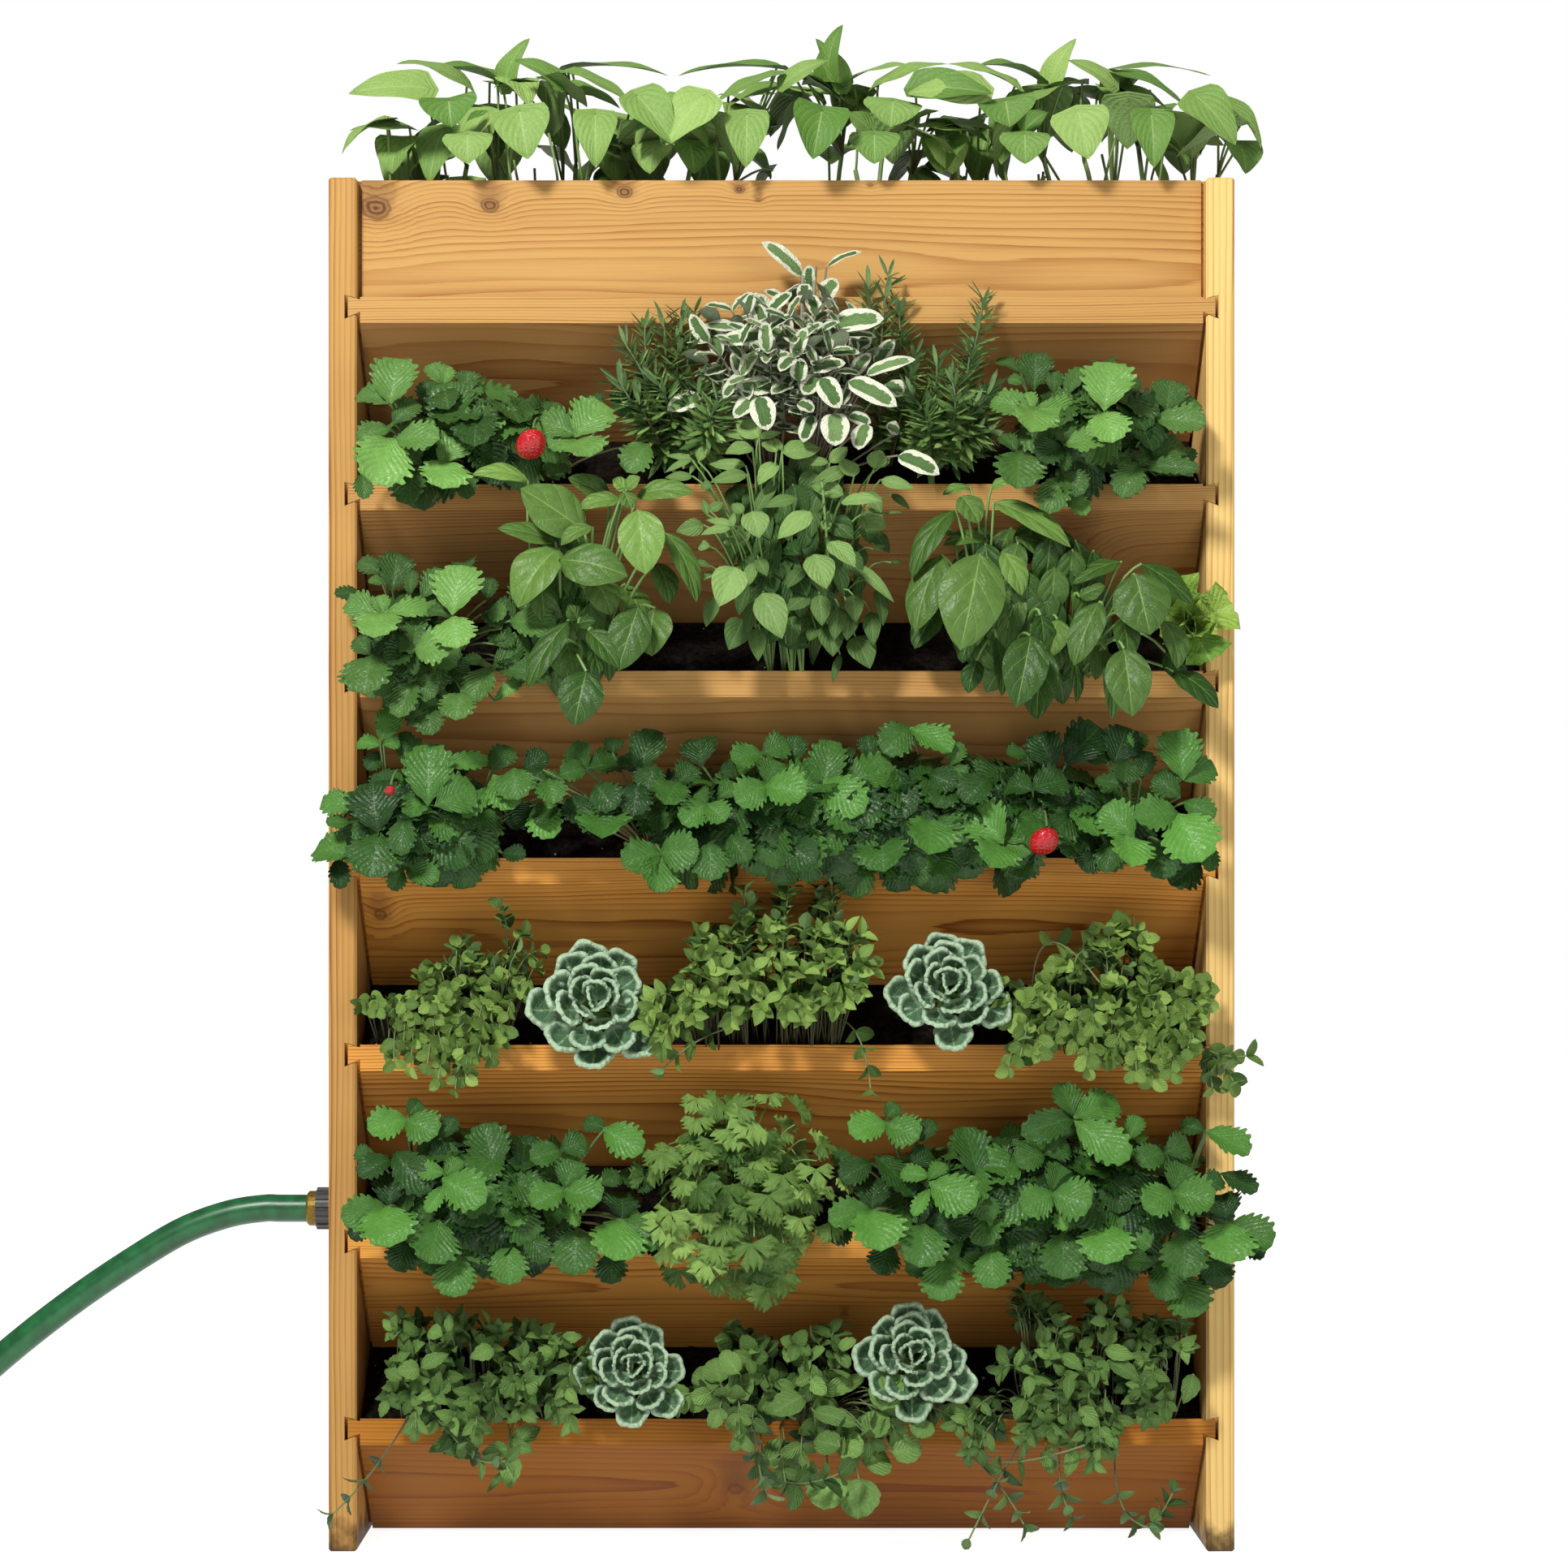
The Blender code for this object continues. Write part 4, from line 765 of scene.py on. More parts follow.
def blade_group():
    """The marks of a leaf, from its map: midrib, side veins, fine veins, margin and relief.

    A side vein is where the distance along, less a slant times the distance out, times the number
    of veins, is a whole number. Between veins the blade bulges by the square root of the distance.
    """
    tree, given, out = new_group(
        "leaf_blade",
        [
            ("Veins", "Float", 7.0),
            ("Slant", "Float", 0.45),
            ("Vein Width", "Float", 0.10),
            ("Rib Width", "Float", 0.05),
            ("Fine", "Float", 0.3),
        ],
        [("Vein", "Float"), ("Margin", "Float"), ("Height", "Float"), ("Mottle", "Float")],
    )
    where = node(tree, "UVMap", uv_map="blade").outputs[0]
    split = node(tree, "SeparateXYZ", {0: where})
    u = split.outputs["X"]
    out_v = reckon(tree, "ABSOLUTE", reckon(tree, "MULTIPLY_ADD", split.outputs["Y"], 2.0, -1.0))
    slant = reckon(tree, "MULTIPLY", out_v, given.outputs["Slant"])
    phase = reckon(tree, "MULTIPLY", reckon(tree, "SUBTRACT", u, slant), given.outputs["Veins"])
    away = reckon(tree, "MULTIPLY", reckon(tree, "PINGPONG", phase, 0.5), 2.0)
    side = reckon(tree, "SUBTRACT", 1.0, ramp(tree, away, 0.0, given.outputs["Vein Width"]))
    fading = reckon(tree, "SUBTRACT", 1.0, ramp(tree, out_v, 0.55, 1.0))
    side = reckon(tree, "MULTIPLY", side, fading)
    rib = reckon(tree, "SUBTRACT", 1.0, ramp(tree, out_v, 0.0, given.outputs["Rib Width"]))
    vein = reckon(tree, "MAXIMUM", side, rib)
    stretched = node(tree, "Mapping", {"Vector": where, "Scale": (16.0, 12.0, 1.0)}).outputs[0]
    cells = node(
        tree, "TexVoronoi", {"Vector": stretched, "Scale": 1.0}, feature="DISTANCE_TO_EDGE"
    ).outputs["Distance"]
    fine = reckon(tree, "MULTIPLY", ramp(tree, cells, 0.0, 0.25), given.outputs["Fine"])
    bulge = reckon(tree, "SQRT", ramp(tree, out_v, 0.0, 0.5))
    bulge = reckon(tree, "MULTIPLY", reckon(tree, "SQRT", away), bulge)
    height = reckon(tree, "ADD", bulge, fine)
    mottle = node(tree, "TexNoise", {"Vector": stretched, "Scale": 0.7, "Detail": 3.0})
    margin = reckon(tree, "MAXIMUM", out_v, ramp(tree, u, 0.7, 1.0))
    tree.links.new(vein, out.inputs["Vein"])
    tree.links.new(margin, out.inputs["Margin"])
    tree.links.new(height, out.inputs["Height"])
    tree.links.new(mottle.outputs["Fac"], out.inputs["Mottle"])
    return tree


leaf_blade = blade_group()


def leaf_finish(
    name, deep, bright, vein, under, veins=7.0, slant=0.45, vein_width=0.10, rib_width=0.05,
    vein_share=0.5, relief=0.0006, gloss=0.42, margin=None, margin_from=0.8, fine=0.3, sheen=0.26,
):
    """A living leaf: from deep to bright by its tone and painted light and shade and by mottling, with
    veins and an underside.
    """
    material, tree, shader = new_material(name, gloss, sheen)
    sizes = {"Veins": veins, "Slant": slant, "Vein Width": vein_width, "Rib Width": rib_width}
    marks = node(tree, "Group", sizes | {"Fine": fine}, node_tree=leaf_blade)
    # The per-point value mixes each leaf's own tone with painted light and shade, where a plant gives it.
    tint = node(tree, "Attribute", attribute_name="tint").outputs["Fac"]
    mottle = reckon(tree, "MULTIPLY", marks.outputs["Mottle"], 0.25)
    share = reckon(tree, "MULTIPLY_ADD", tint, 0.75, mottle)
    share = reckon(tree, "POWER", share, 1.6)
    colour = blend(tree, share, (*deep, 1), (*bright, 1))
    if margin:
        where = node(tree, "UVMap", uv_map="blade").outputs[0]
        ragged = node(tree, "TexNoise", {"Vector": where, "Scale": 6.0}).outputs["Fac"]
        ragged = reckon(tree, "SUBTRACT", ragged, 0.5)
        edge = reckon(tree, "MULTIPLY_ADD", ragged, 0.6, marks.outputs["Margin"])
        edge = ramp(tree, edge, margin_from - 0.04, margin_from + 0.04)
        colour = blend(tree, edge, colour, (*margin, 1))
    veined = reckon(tree, "MULTIPLY", marks.outputs["Vein"], vein_share)
    colour = blend(tree, veined, colour, (*vein, 1))
    back = node(tree, "NewGeometry").outputs["Backfacing"]
    colour = blend(tree, back, colour, (*under, 1))
    tree.links.new(colour, shader.inputs["Base Color"])
    height = marks.outputs["Height"]
    bump = node(tree, "Bump", {"Height": height, "Strength": 0.8, "Distance": relief})
    tree.links.new(bump.outputs[0], shader.inputs["Normal"])
    return material


def stalk_finish(name, low, high):
    """A fresh stalk, its colour running from the foot to the tip."""
    material, tree, shader = new_material(name, 0.55)
    u = node(tree, "SeparateXYZ", {0: node(tree, "UVMap", uv_map="blade").outputs[0]}).outputs["X"]
    colour = blend(tree, u, (*low, 1), (*high, 1))
    tree.links.new(colour, shader.inputs["Base Color"])
    return material


def spread(low, high, count, seed, power=2.4, inner=0.0):
    """Places over a rounded clump between two corners, about evenly apart, with outward directions.

    Each new place is the best of thirty tries, the one farthest from those already there. The
    clump's front is a dome: its depth falls as the root of one less 0.85 of the distance to the
    power of four.
    """
    dice = np.random.default_rng(seed)
    tries = dice.uniform(-1, 1, (count * 40, 2))
    tries = tries[(np.abs(tries) ** power).sum(axis=1) < 1]
    size = (high - low)[[0, 2]] / 2
    chosen = [tries[0]]
    for index in range(1, count):
        some = tries[(index * 29) % (len(tries) - 30) :][:30]
        gaps = np.linalg.norm((some[:, None] - np.array(chosen)[None]) * size, axis=2).min(axis=1)
        chosen.append(some[gaps.argmax()])
    flat = np.array(chosen)
    squared = np.clip((flat**2).sum(axis=1), 0, 1)
    dome = np.sqrt(1 - 0.85 * squared**2) * (1 - inner)
    back = front + 0.015
    points = np.empty((count, 3))
    points[:, [0, 2]] = (low + high)[[0, 2]] / 2 + flat * size * (1 - 0.5 * inner)
    points[:, 1] = back + (low[1] - back) * dome
    outward = unit(np.column_stack([flat[:, 0] * 0.9, -dome - 0.15, flat[:, 1] * 0.9]))
    return points, outward


def leaflet_outline(u):
    """A wedge at the base that widens to a broad, round end: the sine of pi u^1.35, flattened."""
    return np.clip(np.sin(math.pi * np.clip(u, 0, 1) ** 1.35), 0, 1) ** 0.55


strawberry_leaf = leaf_finish(
    "strawberry_leaf", (0.006, 0.034, 0.005), (0.230, 0.480, 0.100), (0.24, 0.46, 0.13),
    (0.16, 0.28, 0.10), veins=7.0, slant=0.6, vein_width=0.16, vein_share=0.16, relief=0.0008,
    gloss=0.34,
)
dark_strawberry_leaf = leaf_finish(
    "dark_strawberry_leaf", (0.003, 0.022, 0.004), (0.155, 0.410, 0.065), (0.18, 0.38, 0.10),
    (0.12, 0.22, 0.07), veins=7.0, slant=0.6, vein_width=0.16, vein_share=0.16, relief=0.0008,
    gloss=0.34,
)
strawberry_stalk = stalk_finish("strawberry_stalk", (0.18, 0.10, 0.05), (0.16, 0.26, 0.08))
fan_leaflets = (
    (-311, 1022, -317, 1047, 20, 2), (-301, 1043, -315, 1063, 18, 6),
    (-301, 1043, -297, 1061, 14, 7),
    (-281, 1036, -280, 1057, 22, 3), (-282, 1037, -266, 1041, 17, 4),
    (-298, 1037, -294, 1017, 27, 2),
    (-298, 1015, -270, 1020, 16, 3), (-288, 970, -277, 938, 24, 3), (-326, 966, -328, 932, 34, 3),
    (-372, 963, -370, 939, 17, 4), (-342, 1005, -322, 1025, 24, 3), (-346, 1000, -372, 987, 23, 5),
    (-341, 1022, -376, 1031, 25, 5), (-345, 1022, -339, 1064, 40, 6), (-339, 990, -299, 987, 32, 6),
    (-301, 970, -277, 998, 34, 7), (-294, 971, -296, 943, 42, 9), (-341, 988, -357, 947, 51, 9),
)
lone_leaflets = (
    (-164, 1020, -169, 1035, 19, 2), (-139, 1014, -145, 1039, 22, 2),
    (-242, 1019, -220, 1022, 19, 3),
    (-203, 1012, -203, 1027, 19, 3), (-238, 1005, -237, 985, 19, 3), (-267, 980, -252, 968, 22, 1),
    (-206, 960, -196, 974, 25, 4), (-242, 1019, -266, 997, 28, 7), (-118, 987, -137, 961, 29, 5),
    (-181, 991, -205, 981, 24, 6), (-181, 993, -215, 1007, 32, 5), (-180, 989, -167, 969, 41, 7),
    (-180, 992, -156, 1022, 41, 7),
)
mound_leaflets = (
    (290, 1056, 286, 1066, 23, 3), (196, 1036, 172, 1036, 14, 2), (213, 1055, 191, 1067, 17, 3),
    (215, 1044, 202, 1050, 11, 5), (308, 1029, 312, 1050, 15, 2), (224, 1039, 227, 1073, 31, 2),
    (241, 1034, 242, 1056, 15, 3), (252, 1031, 268, 1058, 21, 4), (355, 969, 366, 988, 15, 3),
    (275, 971, 294, 960, 19, 1), (341, 1019, 346, 1047, 32, 3), (334, 1010, 313, 1029, 21, 2),
    (322, 1003, 307, 1021, 18, 2), (286, 973, 305, 977, 11, 5), (345, 1010, 370, 1028, 25, 4),
    (316, 989, 334, 996, 15, 3), (331, 1010, 372, 1002, 30, 5), (318, 967, 366, 962, 18, 3),
    (331, 960, 366, 962, 12, 5), (316, 969, 355, 991, 32, 3), (313, 969, 297, 937, 29, 4),
    (252, 941, 268, 923, 21, 6), (246, 958, 234, 923, 30, 4), (248, 959, 265, 941, 27, 3),
    (246, 984, 224, 970, 29, 1), (248, 986, 250, 1010, 23, 3), (247, 982, 248, 960, 12, 2),
    (207, 980, 193, 995, 17, 3), (281, 1012, 259, 1018, 18, 3), (209, 978, 205, 943, 45, 4),
    (220, 1015, 215, 1032, 16, 7), (218, 1014, 185, 1026, 27, 6), (223, 1016, 264, 1019, 21, 8),
    (223, 1015, 215, 991, 41, 8), (249, 984, 284, 984, 37, 7), (283, 1011, 287, 982, 36, 9),
    (282, 1015, 289, 1058, 44, 8),
)
spilling_leaflets = (
    (-229, 700, -210, 717, 21, 1), (-258, 700, -240, 720, 24, 3), (-355, 716, -368, 700, 16, 2),
    (-333, 705, -335, 735, 18, 3), (-324, 713, -324, 729, 13, 5), (-248, 626, -226, 624, 16, 1),
    (-305, 645, -295, 632, 24, 1), (-217, 668, -236, 650, 24, 1), (-217, 675, -196, 695, 24, 5),
    (-351, 681, -354, 700, 24, 2), (-299, 675, -288, 697, 24, 2), (-302, 705, -260, 708, 17, 7),
    (-256, 684, -280, 657, 17, 6), (-254, 694, -236, 664, 31, 7), (-215, 670, -201, 639, 33, 8),
    (-355, 721, -377, 724, 17, 7), (-352, 722, -338, 725, 14, 7), (-355, 726, -344, 754, 23, 7),
    (-393, 621, -390, 594, 19, 1), (-374, 668, -408, 670, 24, 7), (-381, 653, -401, 653, 14, 5),
    (-305, 662, -335, 665, 13, 7), (-335, 612, -343, 593, 17, 4), (-330, 612, -301, 601, 25, 5),
    (-335, 616, -319, 618, 10, 7), (-310, 670, -311, 723, 41, 5), (-302, 668, -270, 684, 36, 5),
    (-330, 657, -332, 623, 24, 3), (-382, 624, -413, 629, 33, 6), (-354, 646, -360, 689, 45, 1),
    (-352, 642, -359, 604, 46, 3),
)
wide_leaflets = (
    (-302, 374, -290, 392, 17, 2), (-360, 355, -380, 361, 16, 4), (-346, 355, -374, 341, 25, 2),
    (-332, 394, -322, 406, 16, 4), (-311, 355, -292, 363, 25, 1), (-342, 361, -309, 327, 33, 2),
    (-333, 390, -366, 382, 30, 8), (-332, 390, -304, 377, 33, 6), (-253, 345, -265, 387, 37, 3),
    (-364, 299, -381, 285, 21, 0), (-329, 283, -340, 258, 28, 2), (-300, 305, -288, 324, 27, 1),
    (-299, 303, -257, 301, 29, 1), (-346, 316, -342, 341, 35, 1), (-296, 345, -321, 347, 17, 7),
    (-296, 343, -281, 356, 16, 6), (-296, 334, -311, 312, 14, 9), (-249, 330, -245, 307, 25, 4),
    (-232, 320, -238, 299, 23, 7), (-218, 326, -232, 336, 17, 5), (-224, 291, -206, 266, 24, 3),
    (-286, 271, -318, 264, 20, 4), (-282, 273, -249, 276, 30, 5), (-300, 303, -307, 269, 43, 5),
    (-347, 315, -385, 308, 30, 6), (-295, 341, -257, 322, 38, 7), (-241, 281, -239, 248, 32, 6),
    (-346, 315, -340, 284, 48, 8), (-284, 272, -286, 238, 36, 6),
)
crowded_leaflets = (
    (-230, 357, -222, 374, 23, 1), (-156, 382, -177, 386, 17, 3), (-142, 345, -113, 330, 24, 2),
    (-160, 334, -142, 341, 21, 3), (-199, 299, -199, 314, 21, 0), (-201, 295, -214, 303, 16, 3),
    (-125, 283, -105, 271, 18, 0), (-150, 273, -150, 246, 29, 2), (-195, 364, -221, 357, 25, 4),
    (-194, 365, -172, 372, 25, 3), (-156, 383, -122, 363, 32, 7), (-140, 305, -142, 326, 33, 1),
    (-179, 295, -181, 257, 42, 4), (-191, 318, -177, 300, 12, 9), (-138, 303, -104, 285, 35, 5),
    (-190, 334, -179, 355, 29, 4), (-140, 303, -146, 272, 46, 8), (-190, 332, -218, 319, 31, 6),
    (-189, 332, -157, 324, 37, 6),
)
row_leaflets = (
    (-71, 704, -73, 729, 34, 1), (-151, 716, -149, 730, 18, 2), (-55, 698, -39, 700, 18, 2),
    (-127, 700, -113, 737, 32, 2), (-127, 698, -141, 714, 22, 1), (10, 706, 12, 732, 22, 2),
    (32, 679, 14, 708, 24, 1), (0, 631, -11, 659, 36, 0), (-29, 639, -19, 659, 20, 2),
    (-131, 690, -107, 685, 24, 1), (-143, 685, -123, 656, 34, 2), (-174, 701, -197, 696, 22, 4),
    (-173, 703, -187, 724, 24, 4), (-172, 702, -142, 706, 34, 3), (-18, 715, -45, 708, 26, 5),
    (-17, 715, 6, 724, 25, 4), (-91, 688, -78, 704, 24, 2), (-91, 688, -103, 668, 34, 4),
    (-55, 675, -39, 686, 18, 5), (-155, 659, -159, 678, 24, 1), (-157, 659, -189, 671, 20, 4),
    (-154, 659, -157, 638, 47, 5), (-66, 669, -73, 681, 18, 4), (-66, 669, -88, 651, 27, 6),
    (-65, 669, -50, 653, 25, 6), (36, 681, 44, 727, 32, 4), (36, 675, 28, 649, 26, 4),
    (38, 690, 72, 661, 38, 7), (4, 635, 30, 617, 34, 2), (-45, 641, -31, 617, 24, 3),
    (-63, 635, -63, 601, 32, 4), (-14, 688, -5, 708, 28, 4), (-14, 685, -41, 670, 31, 6),
    (-13, 685, 21, 676, 38, 7), (-107, 626, -141, 617, 34, 5), (-107, 627, -72, 627, 34, 5),
    (-107, 624, -111, 591, 35, 6),
)
end_leaflets = (
    (252, 706, 284, 739, 38, 0), (295, 706, 308, 739, 34, 0), (241, 702, 226, 732, 32, 1),
    (80, 709, 76, 732, 19, 2), (217, 713, 198, 713, 19, 3), (149, 704, 157, 726, 19, 5),
    (151, 702, 162, 694, 17, 5), (115, 738, 89, 715, 32, 4), (115, 737, 150, 715, 33, 7),
    (131, 696, 155, 685, 24, 2), (101, 700, 110, 667, 32, 3), (181, 691, 159, 670, 34, 2),
    (220, 683, 252, 691, 32, 2), (220, 681, 198, 685, 28, 2), (129, 656, 131, 676, 37, 1),
    (134, 655, 164, 636, 32, 4), (119, 623, 121, 597, 30, 3), (78, 681, 104, 689, 19, 7),
    (80, 676, 94, 653, 13, 9), (131, 655, 127, 624, 48, 6), (89, 640, 89, 609, 45, 4),
    (370, 618, 342, 598, 34, 1),
)
hanging_leaflets = (
    (-243, 835, -227, 830, 18, 1), (-259, 823, -241, 816, 24, 1), (-249, 799, -231, 795, 26, 1),
    (-354, 796, -350, 763, 26, 3), (-260, 840, -243, 836, 19, 5), (-312, 754, -307, 729, 26, 3),
    (-253, 760, -229, 780, 13, 8), (-280, 766, -285, 741, 32, 5),
)
crest_leaflets = (
    (307, 373, 317, 393, 18, 6), (242, 267, 242, 241, 33, 3), (375, 265, 392, 242, 33, 3),
    (337, 267, 337, 232, 33, 4), (297, 267, 325, 267, 15, 7), (352, 252, 365, 218, 39, 5),
    (258, 393, 209, 379, 28, 3), (258, 394, 245, 422, 28, 4), (259, 394, 299, 405, 33, 6),
    (259, 389, 303, 358, 33, 7),
)
gap_leaflets = (
    (-238, 690, -252, 668, 26, 1), (-212, 700, -226, 684, 24, 2), (-226, 666, -240, 648, 24, 1),
    (-200, 672, -214, 650, 28, 2), (-184, 676, -176, 652, 28, 1), (-163, 686, -146, 664, 30, 2),
    (-127, 688, -131, 658, 30, 1), (-112, 704, -120, 680, 28, 2), (-178, 664, -152, 642, 34, 4),
    (-205, 690, -200, 668, 28, 5), (-236, 700, -232, 672, 34, 5),
)


def laid_leaflets(rows, reach, seed, mirror=None, shift=(0.0, 0.0)):
    """Roots, headings, faces, lengths, widths, bends and shades of leaflets, from rows.

    A row holds a base x and z, a tip x and z and a width, all in millimetres, and a shade out of
    nine that paints the light and shade on the leaflet. The rows run from the hindmost leaflet to
    the nearest. Their bases lie on a dome as deep as the reach: 0.6 of it falls with the square of
    the distance from the middle, and 0.4 of it grows along the rows. A leaflet shorter in the front
    view than 0.9 of its width leans in depth to make up that length, towards the front where it
    hangs and towards the back where it stands.
    """
    data = np.array(rows, float) / (1000, 1000, 1000, 1000, 1000, 9)
    if mirror is not None:
        data[:, [0, 2]] = 2 * mirror - data[:, [0, 2]]
    base, tip = data[:, :2] + shift, data[:, 2:4] + shift
    dice = np.random.default_rng(seed)
    middle = (base.max(axis=0) + base.min(axis=0)) / 2
    half = (base.max(axis=0) - base.min(axis=0)) / 2 + 0.03
    dome = 1 - 0.6 * (((base - middle) / half) ** 2).sum(axis=1)
    nearness = np.arange(len(data)) / len(data)
    depth = front + 0.015 - reach * (0.6 * dome + 0.4 * nearness)
    chord = np.linalg.norm(tip - base, axis=1)
    length = np.maximum(chord * 1.08, data[:, 4] * 0.95)
    lean = np.sqrt(length**2 - chord**2) * np.where(tip[:, 1] > base[:, 1], 1, -1)
    along = unit(np.column_stack([tip[:, 0] - base[:, 0], lean, tip[:, 1] - base[:, 1]]))
    face = np.array([0, -1, 0.45]) + dice.normal(0, 0.2, along.shape)
    face = unit(face - (face * along).sum(axis=1, keepdims=True) * along)
    bend = dice.uniform(0.2, 0.7, len(data))
    heading = along * np.cos(bend / 2)[:, None] + face * np.sin(bend / 2)[:, None]
    root = np.column_stack([base[:, 0], depth, base[:, 1]])
    return root, heading, face, length * (bend / 2) / np.sin(bend / 2), data[:, 4] * 1.18, bend, data[:, 5]


def strawberry_plant(name, crowns, fill, leaflet, finish, seed, *groups):
    """Leaflets laid out in groups with their painted light and shade, over three-part leaves that fill the
    clump behind them, painted darker as shade.
    """
    low, high = (np.array(corner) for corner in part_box(name))
    reach = front + 0.003 - low[1]
    margin = leaflet * 0.62
    low, high = low + (margin, 0.012, margin), high - (margin, 0, margin)
    dice = np.random.default_rng(seed)
    shape = {"grid": (21, 6), "wave": 0.09, "waves": 2.0, "teeth": 0.27, "pucker": 0.06, "ribs": 7}
    tier_rim = rims[int(name.split("_")[1])]
    crown_x = low[0] + (high[0] - low[0]) * (np.arange(crowns) + 0.5) / crowns
    crown = np.column_stack(
        [crown_x, np.full(crowns, front + 0.03), np.full(crowns, tier_rim + 0.004)]
    )
    parts, ends = [], []
    for index, (rows, mirror, shift) in enumerate(groups):
        laid = laid_leaflets(rows, reach, seed + index, mirror, shift)
        root, heading, face, length, width, bend, shade = laid
        fold = dice.uniform(0.12, 0.4, len(root))
        part = blades(
            root, heading, face, length, width, leaflet_outline, bend=bend, fold=fold,
            tint=shade, seed=seed + index, **shape,
        )
        parts.append((part, finish))
        ends.append(root)
    heads, outward = spread(low, high, fill, seed, inner=0.3)
    ends.append(heads)
    away = unit(heads - crown[np.abs(heads[:, None, 0] - crown[None, :, 0]).argmin(axis=1)])
    face = unit(outward + (0, -0.25, 0.65) + dice.normal(0, 0.22, heads.shape))
    along = unit(away - (away * face).sum(axis=1, keepdims=True) * face)
    size = leaflet * dice.uniform(0.8, 1.15, fill)
    # The filling leaves are painted dark, as the shade behind the laid leaflets.
    for angle in (0.0, 1.75, -1.75):
        heading = turn_about(along, face, angle + dice.normal(0, 0.12, fill))
        part = blades(
            heads, heading, unit(face + 0.22 * heading), size, size, leaflet_outline, bend=0.5,
            fold=0.25, tint=dice.uniform(0, 0.55, fill), seed=seed + 9, **shape,
        )
        parts.append((part, finish))
    ends = np.concatenate(ends)
    nearest = np.abs(ends[:, None, 0] - crown[None, :, 0]).argmin(axis=1)
    sag = np.tile((0, -0.008, 0.008), (len(ends), 1))
    parts.append((stalks(arcs(crown[nearest], ends, sag), 0.0011), strawberry_stalk))
    plant(name + "_leaves", parts, [name])


whole = (None, (0.0, 0.0))
strawberry_plant(
    "strawberry_1_left", 3, 18, 0.046, strawberry_leaf, 100, (lone_leaflets, *whole),
    (fan_leaflets, *whole)
)
strawberry_plant("strawberry_1_right", 2, 18, 0.044, strawberry_leaf, 110, (mound_leaflets, *whole))
strawberry_plant(
    "strawberry_2_left", 2, 16, 0.042, strawberry_leaf, 120,
    (mound_leaflets, None, (-0.5696, -0.1790)), (hanging_leaflets, *whole),
)
strawberry_plant(
    "strawberry_3_left", 2, 20, 0.042, dark_strawberry_leaf, 130, (spilling_leaflets, *whole)
)
strawberry_plant(
    "strawberry_3_right", 6, 68, 0.042, dark_strawberry_leaf, 140,
    (gap_leaflets, *whole), (row_leaflets, *whole), (end_leaflets, *whole),
    (lone_leaflets, 0.0062, (0.0, -0.3563)), (fan_leaflets, 0.0037, (0.0, -0.3296)),
)
strawberry_plant(
    "strawberry_5_left", 3, 28, 0.044, dark_strawberry_leaf, 150,
    (wide_leaflets, *whole), (crowded_leaflets, *whole),
)
strawberry_plant(
    "strawberry_5_right", 4, 48, 0.044, dark_strawberry_leaf, 160,
    (wide_leaflets, None, (0.4249, -0.0029)), (crowded_leaflets, None, (0.4252, -0.003)),
    (crowded_leaflets, None, (0.5310, -0.0020)), (crest_leaflets, *whole),
)

# Shared ways of growing: leaves put in at given places, and stems that bear leaves in pairs.
def placed(rows, seed, bend=0.6, mirror=None, shift=0.0, droop=0.22):
    """Roots, headings, faces, lengths, widths and bends of leaves from rows in millimetres.

    A row holds a base x and z, a tip x and z, a width, how many per cent of it face the front, and
    a depth behind the boards' front. A bent blade starts out half its bend above the line to its
    tip, and is longer than that line by the ratio of an arc to its chord.
    """
    data = np.array(rows, float) / 1000
    if mirror is not None:
        data[:, [0, 2]] = 2 * mirror - data[:, [0, 2]]
    data[:, [0, 2]] += shift
    shown = data[:, 5] * 10
    root = np.column_stack([data[:, 0], front + data[:, 6], data[:, 1]])
    line = np.column_stack([data[:, 2] - data[:, 0], np.zeros(len(data)), data[:, 3] - data[:, 1]])
    chord = np.linalg.norm(line, axis=1)
    line[:, 1] = -droop * chord
    across = unit(np.column_stack([-line[:, 2], np.zeros(len(data)), line[:, 0]]))
    across *= np.where(across[:, 2:] < 0, -1, 1)
    face = shown[:, None] * np.array([0, -1, 0]) + np.sqrt(1 - shown**2)[:, None] * across
    line = unit(line)
    face = unit(face - (face * line).sum(axis=1, keepdims=True) * line)
    bends = bend * np.random.default_rng(seed).uniform(0.5, 1.5, len(data))
    along = line * np.cos(bends / 2)[:, None] + face * np.sin(bends / 2)[:, None]
    length = chord * (bends / 2) / np.sin(bends / 2)
    return root, along, face, length, data[:, 4] * 1.08, bends


